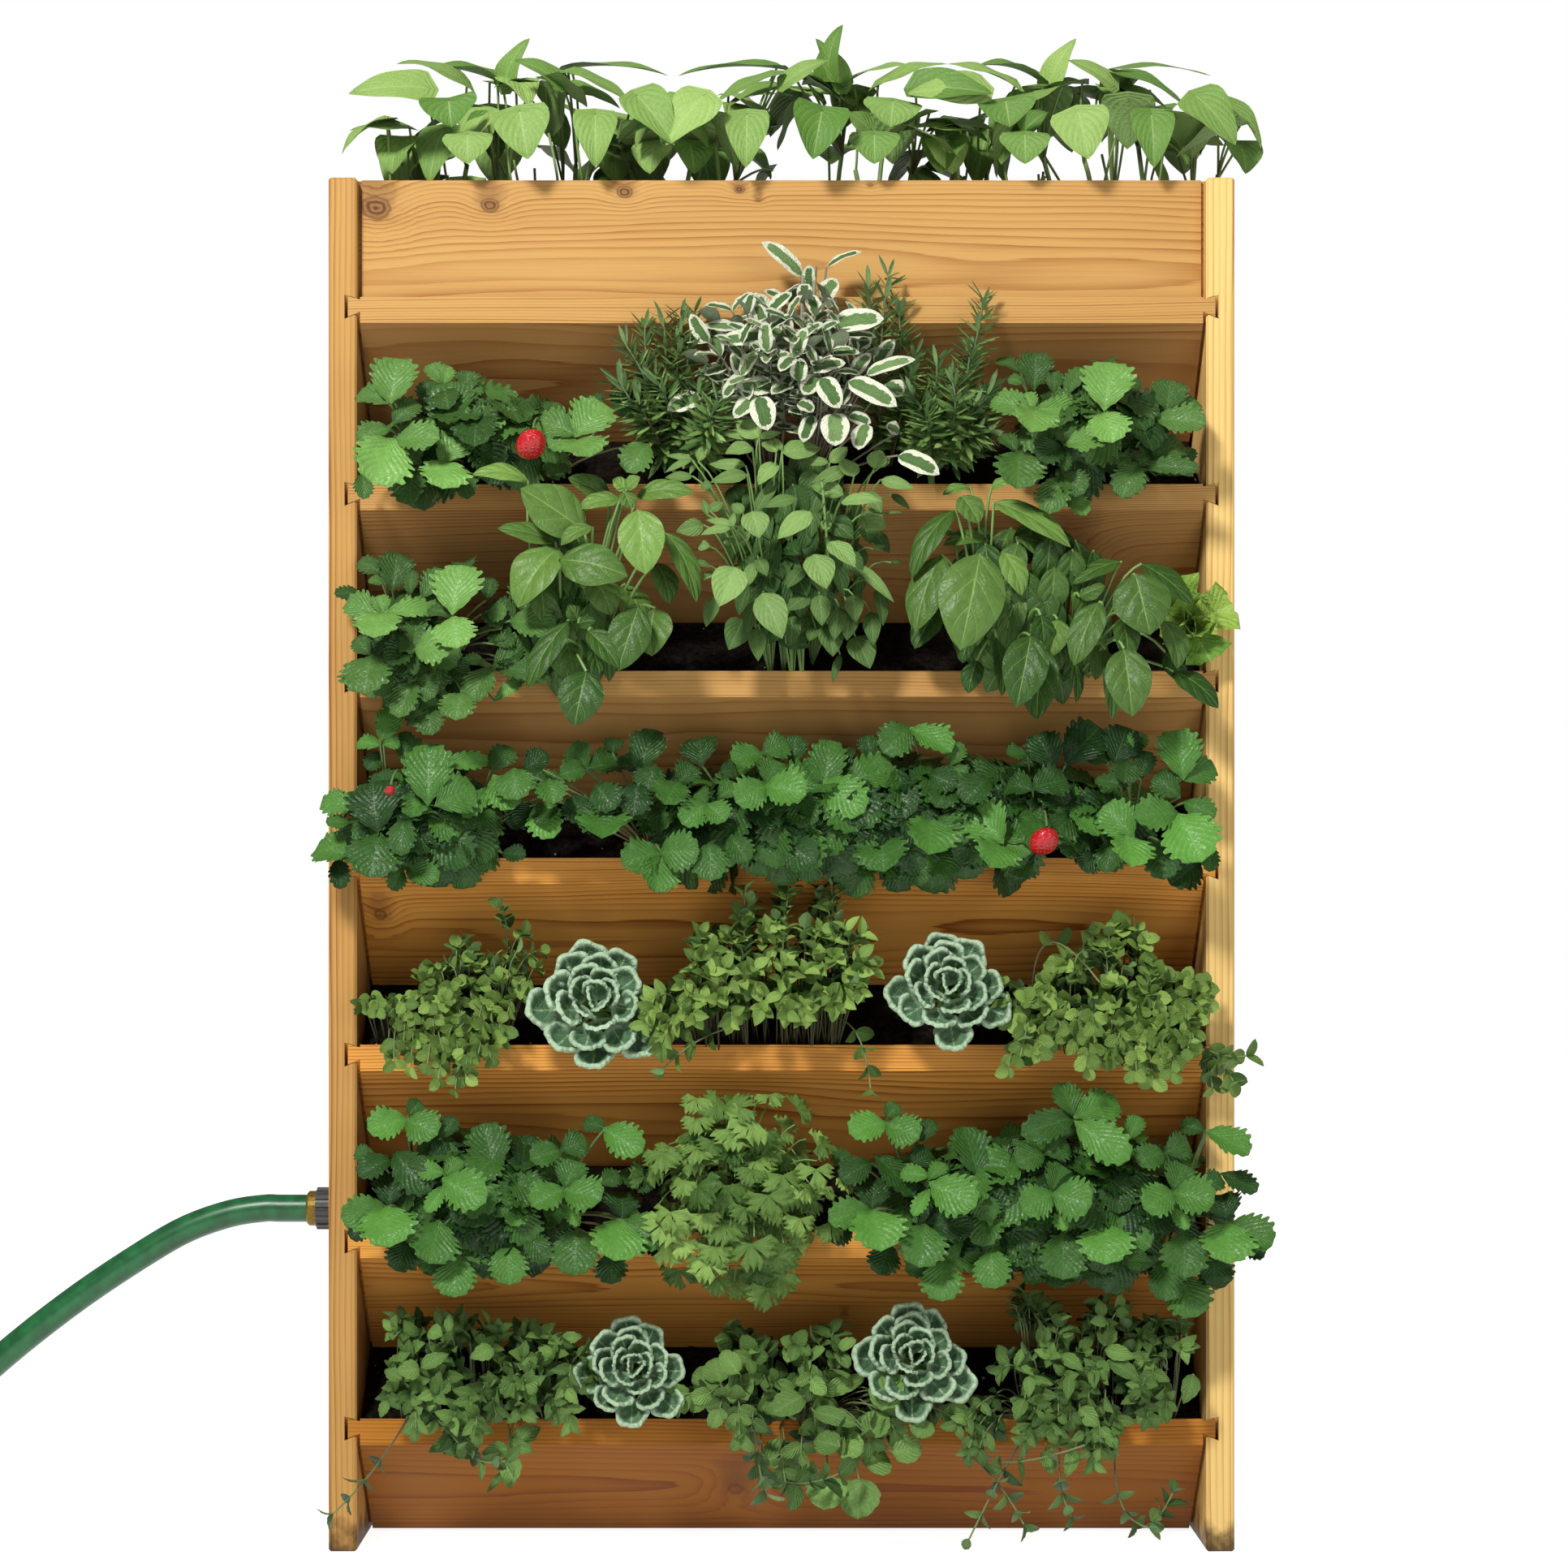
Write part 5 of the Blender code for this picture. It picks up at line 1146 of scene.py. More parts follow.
def paired(
    paths, nodes, first, length, share, outline, lean=0.95, shrink=0.45, light=0.6, seed=0, **shape
):
    """Opposite leaves at even steps along stems, each pair square to the last.

    A leaf leans from the stem's heading by the lean angle, and its face looks back along the stem
    and up to the light. Leaves shrink towards the tip.
    """
    count, steps = paths.shape[:2]
    dice = np.random.default_rng(seed)
    t = np.linspace(first, 1, nodes)
    low = np.minimum((t * (steps - 1)).astype(int), steps - 2)
    part = (t * (steps - 1) - low)[None, :, None]
    places = paths[:, low] * (1 - part) + paths[:, low + 1] * part
    tangent = unit(paths[:, low + 1] - paths[:, low])
    side = unit(np.cross(tangent, dice.normal(0, 1, (count, 1, 3))))
    side = np.where((np.arange(nodes) % 2)[None, :, None] == 1, np.cross(tangent, side), side)
    sides = np.stack([side, -side], axis=2)
    angle = lean * (1.2 - 0.5 * t)[None, :, None, None] + dice.normal(0, 0.2, (count, nodes, 2, 1))
    heading = np.sin(angle) * sides + np.cos(angle) * tangent[:, :, None]
    face = np.sin(angle) * tangent[:, :, None] - np.cos(angle) * sides
    face = unit(face + light * np.array([0.0, -0.8, 0.6]) + dice.normal(0, 0.15, face.shape))
    size = length * (1 - shrink * t)[None, :, None] * dice.uniform(0.78, 1.15, (count, nodes, 2))
    roots = (places[:, :, None] + 0 * heading).reshape(-1, 3)
    size = size.ravel()
    return blades(
        roots, heading.reshape(-1, 3), face.reshape(-1, 3), size, size * share, outline,
        seed=seed + 1, **shape,
    )


def stems_to(heads, feet, lift, seed, steps=9, wobble=0.004):
    """Stem paths from the nearest foot to each head, lifted at the middle and a little crooked."""
    dice = np.random.default_rng(seed)
    nearest = np.abs(heads[:, None, 0] - feet[None, :, 0]).argmin(axis=1)
    sag = np.tile(np.array(lift, float), (len(heads), 1)) + dice.normal(0, wobble, heads.shape)
    return arcs(feet[nearest], heads, sag, steps)


def feet_of(low, high, count, rim, depth=0.035):
    """Where stems leave the soil: scattered across a clump, from near the rim inward."""
    dice = np.random.default_rng(count)
    x = low[0] + (high[0] - low[0]) * (np.arange(count) + dice.uniform(0.1, 0.9, count)) / count
    back = dice.uniform(0.2, 1.1, count) * depth
    return np.column_stack([x, front + back, rim + 0.004 + 0.7 * (back - depth)])


def clump_room(name, margin):
    """The corners of a CAD clump less a margin, and the height of its rim."""
    low, high = (np.array(corner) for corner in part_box(name))
    tier = next(int(word) for word in name.split("_") if word.isdigit())
    return low + (margin, 0.008, margin), high - (margin, 0, margin), rims[tier]


def oval(u):
    """Widest before the middle with a drawn-out tip: the sine of pi u^0.75, flattened."""
    return np.clip(np.sin(math.pi * np.clip(u, 0, 1) ** 0.75), 0, 1) ** 0.85


def round_leaf(u):
    """Nearly round: the sine of pi u^0.85, much flattened."""
    return np.clip(np.sin(math.pi * np.clip(u, 0, 1) ** 0.85), 0, 1) ** 0.55


def heart(u):
    """Heart-shaped with a long point: the sine of pi times the root of u, tapered by 0.2 u."""
    return np.clip(np.sin(math.pi * np.clip(u, 0, 1) ** 0.5), 0, 1) ** 0.72 * (1 - 0.2 * u)


def needle(u):
    """Even in width and pointed at both ends."""
    return np.clip(np.sin(math.pi * np.clip(u, 0, 1)), 0, 1) ** 0.45


def fan(u):
    """Opens evenly from a point and closes at once at the end."""
    return np.clip(u, 0, 1) ** 0.8 * np.clip((1.04 - u) * 9, 0, 1) ** 0.5


# Bush beans in the open top: many stems from a row of plants, and broad heart-shaped leaves that
# lie like a roof and hang their tips at the edges. Young leaves stand upright.
bean_leaf = leaf_finish(
    "bean_leaf", (0.095, 0.220, 0.032), (0.400, 0.580, 0.160), (0.42, 0.56, 0.22),
    (0.20, 0.33, 0.10), veins=5.0, slant=0.75, vein_width=0.09, rib_width=0.05, vein_share=0.55,
    relief=0.0008, gloss=0.5,
)
bean_stalk = stalk_finish("bean_stalk", (0.130, 0.160, 0.040), (0.24, 0.38, 0.10))
bean_pod = stalk_finish("bean_pod", (0.14, 0.12, 0.05), (0.075, 0.055, 0.025))
bean_leaves = (
    (-318, 1313, -385, 1304, 33, 90, 0), (-286, 1325, -347, 1341, 36, 45, 40),
    (-261, 1337, -319, 1347, 36, 35, 70), (-255, 1330, -230, 1370, 25, 85, 60),
    (-298, 1300, -295, 1276, 45, 100, -5), (-337, 1284, -389, 1279, 33, 45, 30),
    (-347, 1276, -353, 1244, 38, 90, 40), (-281, 1270, -281, 1243, 39, 100, -5),
    (-278, 1283, -258, 1297, 22, 90, 30), (-234, 1289, -226, 1245, 45, 100, -12),
    (-199, 1321, -240, 1340, 22, 80, 20), (-193, 1334, -138, 1303, 32, 50, 30),
    (-194, 1330, -148, 1307, 22, 60, 60), (-167, 1289, -166, 1240, 35, 100, 0),
    (-129, 1303, -96, 1257, 38, 95, -12), (-106, 1311, -67, 1264, 35, 60, 30),
    (-143, 1280, -97, 1271, 32, -40, 50), (-158, 1286, -122, 1270, 22, 70, 90),
    (-83, 1270, -79, 1242, 35, 90, 30), (-194, 1354, -105, 1342, 32, 35, 90),
    (-223, 1332, -262, 1326, 26, 30, 60), (-205, 1331, -167, 1327, 26, 30, 100),
)
bean_groups = [placed(bean_leaves, 1), placed(
    bean_leaves, 2, mirror=-0.099
), placed(bean_leaves, 3, shift=0.4987)]
bean_groups.append(placed([(43, 1331, 56, 1382, 24, 85, 60)], 4, bend=0.9))
dice = np.random.default_rng(20)
count = 84
across = np.linspace(-0.372, 0.408, count) + dice.normal(0, 0.008, count)
depth = dice.permutation(np.linspace(0.012, 0.185, count))
roof = 1.318 + 0.022 * np.cos((across + 0.225) * 2 * math.pi / 0.25) - 0.034 * ((depth - 0.085) / 0.09) ** 2
lower = dice.uniform(0, 1, count) < 0.3
turn = dice.uniform(0, 2 * math.pi, count)
heading = unit(np.column_stack([np.cos(turn), np.sin(turn), np.where(lower, -1.1, -0.25)]))
facing = unit(
    np.column_stack([0.5 * np.cos(turn), 0.5 * np.sin(turn) - 0.25, np.where(lower, 0.5, 1.0)])
)
place = np.column_stack([across, front + depth, roof - np.where(lower, 0.022, 0.0)])
bean_groups.append(
    (place - heading * 0.02, heading, facing, dice.uniform(0.042, 0.060, count),
     dice.uniform(0.038, 0.050, count), dice.uniform(0.3, 1.0, count))
)
roots, headings, faces, lengths, widths, bends = (
    np.concatenate(part) for part in zip(*bean_groups)
)
for name, mine in (("left", roots[:, 0] < 0.003), ("right", roots[:, 0] >= 0.003)):
    low, high = (np.array(corner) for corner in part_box(f"bean_plants_{name}"))
    dice = np.random.default_rng(len(name))
    parts = [
        (
            blades(
                roots[mine], headings[mine], faces[mine], lengths[mine] * 1.05, widths[mine] * 1.15,
                heart,
                grid=(12, 8), bend=bends[mine], fold=dice.uniform(0.05, 0.3, mine.sum()),
                cup=dice.uniform(-0.15, 0.15, mine.sum()), wave=0.09, waves=1.5, notch=0.16,
                pucker=0.03, ribs=5, seed=len(name),
            ),
            bean_leaf,
        )
    ]
    span = high[0] - low[0] - 0.07
    count = 17
    feet = np.column_stack(
        [
            low[0] + 0.035 + span * (np.arange(count) + dice.uniform(0.2, 0.8, count)) / count,
            front + dice.uniform(0.045, 0.165, count),
            np.full(count, soil_top - 0.002),
        ]
    )
    tops = feet + np.column_stack(
        [dice.normal(0, 0.012, count), dice.normal(-0.008, 0.012, count), dice.uniform(0.045, 0.105, count)]
    )
    parts.append(
        (stalks(arcs(feet, tops, dice.normal(0, 0.003, (count, 3))), 0.0022, 7), bean_stalk)
    )
    nearest = (np.abs(roots[mine][:, None, 0] - tops[None, :, 0]) + 0.3 * np.abs(
        roots[mine][:, None, 2] - tops[None, :, 2])).argmin(axis=1)
    bow = dice.normal(0, 0.003, (mine.sum(), 3)) + (0, 0.004, 0.006)
    parts.append(
        (stalks(arcs(tops[nearest] - (0, 0, 0.004), roots[mine], bow), 0.0012), bean_stalk)
    )
    thin = 22
    feet = np.column_stack(
        [low[0] + 0.03 + (span + 0.01) * dice.uniform(0, 1, thin), front + dice.uniform(0.04, 0.17, thin),
         np.full(thin, soil_top - 0.002)]
    )
    tops = feet + np.column_stack(
        [dice.normal(0, 0.022, thin), dice.normal(0, 0.012, thin), dice.uniform(0.05, 0.12, thin)]
    )
    parts.append((stalks(arcs(feet, tops, dice.normal(0, 0.004, (thin, 3))), 0.0013), bean_stalk))
    pods = 12
    start = feet[:pods] + (0, -0.01, 0.012) + dice.uniform(0, 0.03, (pods, 1)) * (0, 0, 1)
    hang = start + np.column_stack(
        [dice.choice([-1, 1], pods) * 0.009, np.full(pods, -0.006), dice.uniform(-0.004, 0.008, pods)]
    )
    curl = np.column_stack([np.zeros(pods), np.full(pods, -0.003), np.full(pods, -0.008)])
    taper = 0.0022 * np.sin(np.linspace(0.25, math.pi - 0.2, 7))[None]
    parts.append((stalks(arcs(start, hang, curl), taper, 6), bean_pod))
    plant(f"bean_plants_{name}_leaves", parts, [f"bean_plants_{name}"])

# Variegated sage: stiff, pebbled oval leaves, grey-green with ragged cream margins, in loose tiers
# on mauve-grey stems.
sage_leaf = leaf_finish(
    "variegated_sage_leaf", (0.070, 0.160, 0.040), (0.240, 0.380, 0.130), (0.24, 0.36, 0.20),
    (0.42, 0.50, 0.33), veins=9.0, slant=0.35, vein_width=0.1, vein_share=0.25, relief=0.0008,
    gloss=0.7, margin=(0.90, 0.92, 0.70), margin_from=0.54, fine=0.9,
)
sage_stem = stalk_finish("sage_stem", (0.16, 0.12, 0.08), (0.26, 0.25, 0.17))
sage_leaves = (
    (18, 1142, -16, 1169, 14, 90, -12), (40, 1149, 70, 1161, 10, 60, -14),
    (25, 1130, 25, 1150, 11, 90, -12),
    (-17, 1091, -23, 1121, 21, 95, -30), (-12, 1080, -53, 1073, 15, 90, -60),
    (-34, 1093, -68, 1094, 12, 80, -20), (44, 1090, 87, 1093, 18, 95, -60),
    (36, 1121, 49, 1137, 16, 90, -14), (4, 1120, -15, 1127, 11, 70, -14),
    (7, 1117, 16, 1129, 12, 90, -16),
    (-10, 1103, 20, 1102, 10, 70, -10), (-15, 1094, 6, 1083, 12, 90, -25),
    (-20, 1065, 2, 1053, 12, 90, -40), (30, 1075, 53, 1073, 14, 90, -45),
    (42, 1064, 67, 1064, 10, 80, -60), (25, 1048, 54, 1053, 12, 90, -70),
    (14, 1038, 17, 1056, 13, 95, -75), (60, 1072, 79, 1084, 16, 90, -20),
    (62, 1048, 78, 1066, 12, 90, -40), (83, 1059, 99, 1080, 13, 90, -30),
    (74, 1047, 115, 1058, 12, 85, -55), (58, 1039, 98, 1016, 17, 95, -70),
    (93, 1043, 106, 1032, 16, 90, -30), (-7, 1037, -37, 1035, 16, 90, -50),
    (-22, 1026, -41, 1008, 14, 90, -60), (-20, 1025, -13, 996, 18, 100, -70),
    (33, 1043, 19, 1027, 16, 90, -70), (34, 1039, 49, 1013, 16, 100, -85),
    (14, 1020, 27, 1012, 11, 90, -70), (27, 1010, 19, 987, 13, 90, -60),
    (46, 1009, 46, 981, 20, 100, -80), (59, 1010, 77, 1003, 11, 90, -60),
    (74, 1001, 67, 979, 16, 90, -70), (102, 975, 136, 958, 17, 90, -60),
    (-72, 1031, -100, 1019, 16, 90, -30), (-49, 1059, -68, 1052, 10, 80, -20),
    (51, 1021, 60, 1035, 10, 90, -50), (104, 1000, 93, 1005, 13, 80, -30),
)
roots, headings, faces, lengths, widths, bends = placed(sage_leaves, 5, bend=0.5)
low, high, rim = clump_room("sage_1", 0.014)
feet = feet_of(low + (0.05, 0, 0), high - (0.05, 0, 0), 4, rim)
heads, outward = spread(low, high - (0, 0, 0.02), 30, 6, inner=0.15)
shoots = stems_to(heads, feet, (0, -0.012, 0.02), 10)
crest_feet = np.array([(0.014, front + 0.035, rim), (0.022, front + 0.035, rim)])
crest = np.array([(0.019, front - 0.013, 1.142), (0.030, front - 0.013, 1.150)])
parts = [
    (blades(roots, headings, faces, lengths * 1.08, widths * 1.22, round_leaf, grid=(12, 6), bend=bends,
            fold=0.25, cup=0.1, wave=0.08, waves=2.0, seed=7), sage_leaf),
    (paired(shoots, 4, 0.45, 0.034, 0.50, round_leaf, lean=0.95, shrink=0.2, light=1.3, seed=9,
            grid=(9, 4), bend=0.5, fold=0.25, wave=0.08), sage_leaf),
    (stalks(shoots, 0.0010), sage_stem),
    (stalks(stems_to(roots, feet, (0, 0.006, 0.006), 11), 0.0010), sage_stem),
    (stalks(arcs(crest_feet, crest, np.tile([0.0, -0.03, 0.0], (2, 1))), 0.0018), sage_stem),
]
plant("variegated_sage", parts, ["sage_1"])

# Rosemary: woody shoots set all round with narrow needles, dark green with a pale underside.
rosemary_needle = leaf_finish(
    "rosemary_needle", (0.050, 0.140, 0.024), (0.420, 0.640, 0.180), (0.16, 0.30, 0.12),
    (0.26, 0.42, 0.16), rib_width=0.25, vein_share=0.3, gloss=0.45,
)
rosemary_wood = stalk_finish("rosemary_wood", (0.12, 0.085, 0.05), (0.10, 0.17, 0.06))


def rosemary(name, feet_at, tips_at, seed):
    """Shoots between given places in millimetres as (x, depth, z), closely set with needles."""
    feet, tips = (np.array(places, float) / 1000 + (0, front, 0) for places in (feet_at, tips_at))
    dice = np.random.default_rng(seed)
    paths = arcs(feet, tips, dice.normal(0, 0.004, feet.shape) + (0, -0.026, 0.004), 12)
    parts = [(stalks(paths, 0.0011), rosemary_wood)]
    for turn in range(3):
        parts.append(
            (
                paired(paths, 12, 0.15, 0.031, 0.21, needle, lean=1.0, shrink=0.35, light=0.6,
                       seed=seed + 10 * turn, grid=(4, 2), bend=0.35, fold=-0.35),
                rosemary_needle,
            )
        )
    plant(name, parts)


rosemary(
    "rosemary_left",
    [(-95, 35, 975), (-100, 30, 975), (-105, 38, 975), (-100, 40, 975), (-92, 35, 975), (-95, 30, 975),
     (-85, 36, 975), (-75, 30, 978), (-70, 30, 975), (-98, 28, 978), (-90, 26, 978)],
    [(-138, -18, 1078), (-122, -16, 1094), (-105, -18, 1102), (-90, -14, 1104), (-78, -16, 1108),
     (-146, -14, 1050), (-72, -22, 1042), (-52, -40, 1030), (-58, -45, 1008), (-128, -24, 1030),
     (-112, -30, 1046)],
    50,
)
rosemary(
    "rosemary_right",
    [(95, 45, 980), (92, 45, 980), (98, 48, 980), (145, 35, 975), (150, 35, 975), (140, 30, 975),
     (155, 35, 975), (135, 30, 975), (150, 30, 975), (143, 28, 975), (160, 35, 975), (130, 35, 975),
     (100, 40, 980)],
    [(78, -14, 1130), (95, -16, 1140), (104, -14, 1114), (180, -16, 1120), (168, -16, 1074),
     (112, -24, 1036), (185, -16, 1040), (126, -35, 1018), (186, -25, 1000), (150, -40, 1046),
     (170, -30, 1022), (138, -25, 1064), (120, -16, 1072)],
    60,
)

# Basil: two large-leaved plants with puckered, glossy leaves that hang their tips, and between
# them a bushy small-leaved one in a paler green.
basil_leaf = leaf_finish(
    "basil_leaf", (0.016, 0.062, 0.006), (0.280, 0.480, 0.100), (0.32, 0.52, 0.14),
    (0.22, 0.36, 0.10), veins=3.5, slant=0.40, vein_width=0.06, rib_width=0.05, vein_share=0.5,
    relief=0.0014, gloss=0.40, fine=0.15,
)
small_basil_leaf = leaf_finish(
    "small_basil_leaf", (0.018, 0.065, 0.008), (0.350, 0.560, 0.160), (0.32, 0.52, 0.18),
    (0.17, 0.31, 0.10), veins=5.0, slant=0.6, vein_width=0.08, vein_share=0.4, relief=0.0008,
    gloss=0.5,
)
basil_stem = stalk_finish("basil_stem", (0.16, 0.27, 0.07), (0.22, 0.38, 0.10))
basil_right = (
    (158, 941, 173, 915, 25, 90, -50), (153, 930, 113, 866, 25, 75, -40),
    (187, 936, 255, 893, 28, 75, -45), (208, 907, 232, 884, 17, 80, -35),
    (182, 905, 142, 898, 20, 70, -30), (172, 886, 153, 798, 51, 100, -90),
    (140, 889, 116, 818, 35, 85, -50), (140, 845, 117, 806, 28, 80, -30),
    (195, 891, 211, 851, 23, 90, -50), (222, 878, 220, 841, 28, 80, -20),
    (248, 865, 247, 889, 25, 90, -10), (300, 884, 254, 862, 20, 70, -40),
    (318, 882, 363, 844, 28, 75, -40), (307, 869, 319, 813, 45, 100, -85),
    (277, 845, 253, 787, 28, 90, -75), (226, 834, 228, 809, 20, 90, -70),
    (242, 831, 238, 798, 25, 90, -60), (216, 814, 202, 750, 38, 100, -90),
    (229, 804, 222, 740, 33, 90, -65), (188, 815, 192, 761, 19, 70, -60),
    (171, 795, 163, 765, 19, 90, -60), (254, 801, 257, 756, 16, 70, -60),
    (297, 831, 301, 793, 25, 90, -70), (297, 803, 303, 742, 38, 100, -88),
    (284, 805, 288, 741, 23, 80, -60), (334, 830, 346, 786, 28, 80, -60),
    (339, 804, 355, 774, 23, 80, -40), (345, 786, 384, 752, 28, 75, -50),
    (273, 824, 276, 777, 25, 80, -40), (168, 816, 160, 794, 17, 80, -30),
    (207, 848, 182, 837, 25, 60, -20), (262, 852, 285, 861, 20, 80, -50),
    (153, 913, 135, 916, 16, 70, -20), (167, 951, 142, 943, 16, 60, -30),
    (186, 951, 203, 958, 16, 60, -30),
)
basil_left = (
    (-223, 953, -272, 957, 22, 70, -60), (-173, 907, -229, 944, 41, 95, -70),
    (-151, 939, -189, 956, 23, 85, -50), (-128, 941, -76, 942, 23, 80, -50),
    (-141, 936, -179, 927, 19, 80, -60), (-125, 924, -118, 865, 38, 100, -88),
    (-104, 908, -74, 843, 25, 75, -60), (-193, 880, -132, 864, 36, 95, -90),
    (-196, 892, -231, 838, 42, 90, -70), (-199, 899, -250, 910, 25, 70, -60),
    (-165, 909, -193, 892, 17, 80, -85), (-216, 877, -209, 826, 28, 90, -50),
    (-164, 866, -149, 833, 29, 90, -60), (-125, 841, -143, 782, 33, 100, -80),
    (-111, 841, -114, 797, 35, 90, -60), (-187, 827, -222, 767, 25, 85, -80),
    (-191, 816, -184, 781, 23, 90, -60), (-169, 819, -141, 785, 23, 90, -85),
    (-170, 783, -180, 734, 36, 100, -92), (-111, 882, -99, 844, 25, 80, -50),
    (-167, 806, -161, 783, 17, 80, -50), (-137, 945, -149, 954, 15, 80, -60),
    (-137, 945, -124, 956, 15, 80, -60), (-138, 942, -132, 926, 16, 90, -70),
    (-190, 879, -204, 850, 22, 70, -30), (-233, 886, -229, 850, 29, 80, -30),
    (-139, 865, -125, 822, 29, 80, -30), (-179, 829, -187, 843, 16, 80, -70),
    (-178, 826, -162, 828, 16, 80, -75),
)


def long_oval(u):
    """Widest just before the middle, with full sides: the sine of pi u^0.86, flattened."""
    return np.clip(np.sin(math.pi * np.clip(u, 0, 1) ** 0.86), 0, 1) ** 0.72


def basil_plant(name, rows, seed):
    """Large placed leaves, painted brighter the higher they stand, over a second layer of hanging ones
    painted dark as shade, on stalks from the soil.
    """
    low, high, rim = clump_room(name, 0.026)
    roots, headings, faces, lengths, widths, bends = placed(rows, seed, bend=0.85)
    dice = np.random.default_rng(seed)
    inner, outward = spread(low, high, 40, seed + 1, inner=0.35)
    down = unit(outward * (0.5, 0.35, 0) + (0, -0.1, -1) + dice.normal(0, 0.25, inner.shape))
    # Painted light: the higher a leaf stands, the brighter it is painted.
    risen = (roots[:, 2] - roots[:, 2].min()) / np.ptp(roots[:, 2])
    lit = np.clip(0.02 + 0.6 * risen + dice.normal(0, 0.18, len(roots)), 0, 1)
    parts = [
        (
            blades(roots, headings, faces, lengths, widths * 1.06, long_oval, grid=(14, 8), bend=bends,
                   fold=dice.uniform(0.1, 0.4, len(roots)), cup=0.22, wave=0.05, waves=2.0,
                   pucker=0.10,
                   ribs=6, tint=lit, seed=seed + 2),
            basil_leaf,
        ),
        (
            blades(inner - down * 0.03, down, outward + (0, -0.3, 0.2), dice.uniform(0.042, 0.060, 40),
                   0.030, long_oval, grid=(10, 6), bend=0.8, fold=0.3, cup=0.2, pucker=0.1,
                   tint=dice.uniform(0, 0.35, 40), seed=seed + 3),
            basil_leaf,
        ),
    ]
    feet = feet_of(low + (0.02, 0, 0), high - (0.02, 0, 0), 4, rim)
    parts.append((stalks(stems_to(roots, feet, (0, -0.02, 0.02), seed + 4), 0.0013), basil_stem))
    parts.append((
        stalks(stems_to(inner - down * 0.03, feet, (0, -0.01, 0.02), seed + 5), 0.0012), basil_stem
    ))
    plant(name + "_leaves", parts, [name])


basil_plant("basil_2_right", basil_right, 70)
basil_plant("basil_2_left", basil_left, 80)

middle_basil = (
    (9, 905, 25, 883, 18, 0), (-4, 892, 0, 867, 16, 0), (73, 916, 78, 899, 14, 1),
    (81, 912, 95, 891, 11, 1), (9, 876, 22, 851, 18, 0), (-13, 876, -7, 853, 16, 0),
    (41, 921, 63, 902, 18, 1), (0, 931, 12, 908, 18, 1), (-36, 889, -20, 867, 14, 1),
    (57, 892, 70, 868, 14, 1), (52, 803, 45, 777, 6, 3), (65, 819, 78, 789, 21, 3),
    (41, 829, 45, 799, 18, 3), (-34, 833, -47, 805, 20, 3), (-23, 825, -21, 795, 13, 4),
    (8, 837, 8, 808, 13, 2), (30, 825, 24, 813, 10, 3), (79, 840, 81, 809, 13, 3),
    (84, 860, 89, 826, 11, 2), (51, 843, 46, 813, 13, 3), (59, 841, 57, 813, 14, 3),
    (63, 854, 65, 829, 13, 4), (33, 854, 35, 825, 14, 4), (-59, 853, -67, 825, 11, 4),
    (-24, 848, -31, 817, 11, 3), (24, 853, 4, 838, 13, 3), (19, 876, 4, 857, 11, 3),
    (-77, 884, -63, 878, 6, 4), (-69, 868, -61, 876, 5, 5), (67, 880, 98, 845, 9, 6),
    (81, 894, 92, 897, 5, 4), (97, 883, 107, 884, 4, 4), (97, 944, 113, 929, 6, 3),
    (91, 926, 107, 926, 4, 5), (-21, 884, -13, 868, 10, 4), (-24, 881, -33, 856, 9, 6),
    (-39, 900, -28, 908, 8, 7), (-74, 897, -63, 896, 8, 7), (-48, 902, -47, 895, 6, 7),
    (35, 910, 43, 918, 8, 7), (-64, 928, -51, 936, 7, 6), (-66, 924, -70, 939, 6, 6),
    (-69, 915, -93, 908, 12, 6), (70, 924, 91, 910, 16, 5), (-24, 924, 0, 959, 10, 4),
    (-5, 969, -21, 948, 13, 8), (12, 937, -16, 927, 10, 5), (-34, 924, -44, 933, 8, 6),
    (-31, 959, -63, 950, 10, 6), (-32, 967, -65, 970, 10, 7), (54, 940, 25, 950, 13, 6),
    (57, 964, 26, 950, 10, 6), (73, 944, 87, 924, 13, 5), (41, 969, 15, 972, 8, 6),
    (42, 969, 58, 984, 10, 7), (-71, 950, -61, 948, 8, 5), (-79, 959, -103, 956, 8, 6),
    (-80, 974, -103, 961, 6, 7), (-79, 974, -103, 979, 6, 7), (-74, 972, -62, 994, 8, 7),
    (87, 955, 116, 945, 10, 7), (63, 956, 52, 974, 16, 7), (86, 966, 95, 977, 8, 8),
    (81, 964, 87, 982, 14, 7), (0, 977, 35, 983, 16, 7), (0, 979, -7, 991, 5, 7),
    (-5, 977, -18, 987, 13, 8), (-26, 982, -50, 975, 13, 7), (-23, 991, -56, 997, 8, 7),
    (-21, 991, 0, 997, 6, 8), (-20, 991, -40, 1007, 16, 8), (-42, 912, -67, 918, 6, 8),
    (-44, 910, -42, 924, 5, 8), (-45, 910, -71, 902, 11, 8), (51, 932, 87, 931, 13, 8),
    (-26, 924, -20, 899, 19, 7), (-17, 853, 0, 811, 22, 6), (28, 886, 38, 854, 21, 7),
    (41, 897, 63, 873, 18, 8), (-40, 875, -55, 839, 25, 8), (25, 923, -4, 897, 16, 8),
)
low, high, rim = clump_room("basil_2_middle", 0.014)
laid = laid_leaflets(middle_basil, front - low[1], 90)
roots, headings, faces, lengths, widths, bends, shades = laid
inner, outward = spread(low, high, 60, 91, inner=0.4)
dice = np.random.default_rng(92)
down = unit(outward * (0.6, 0.3, 0) + (0, -0.1, -0.8) + dice.normal(0, 0.3, inner.shape))
feet = feet_of(low + (0.05, 0, 0), high - (0.05, 0, 0), 5, rim)
bud = arcs(np.array([(0.041, front - 0.055, 0.880)]), np.array(
    [(0.035, front - 0.075, 0.950)]
), np.zeros((1, 3)), 9)
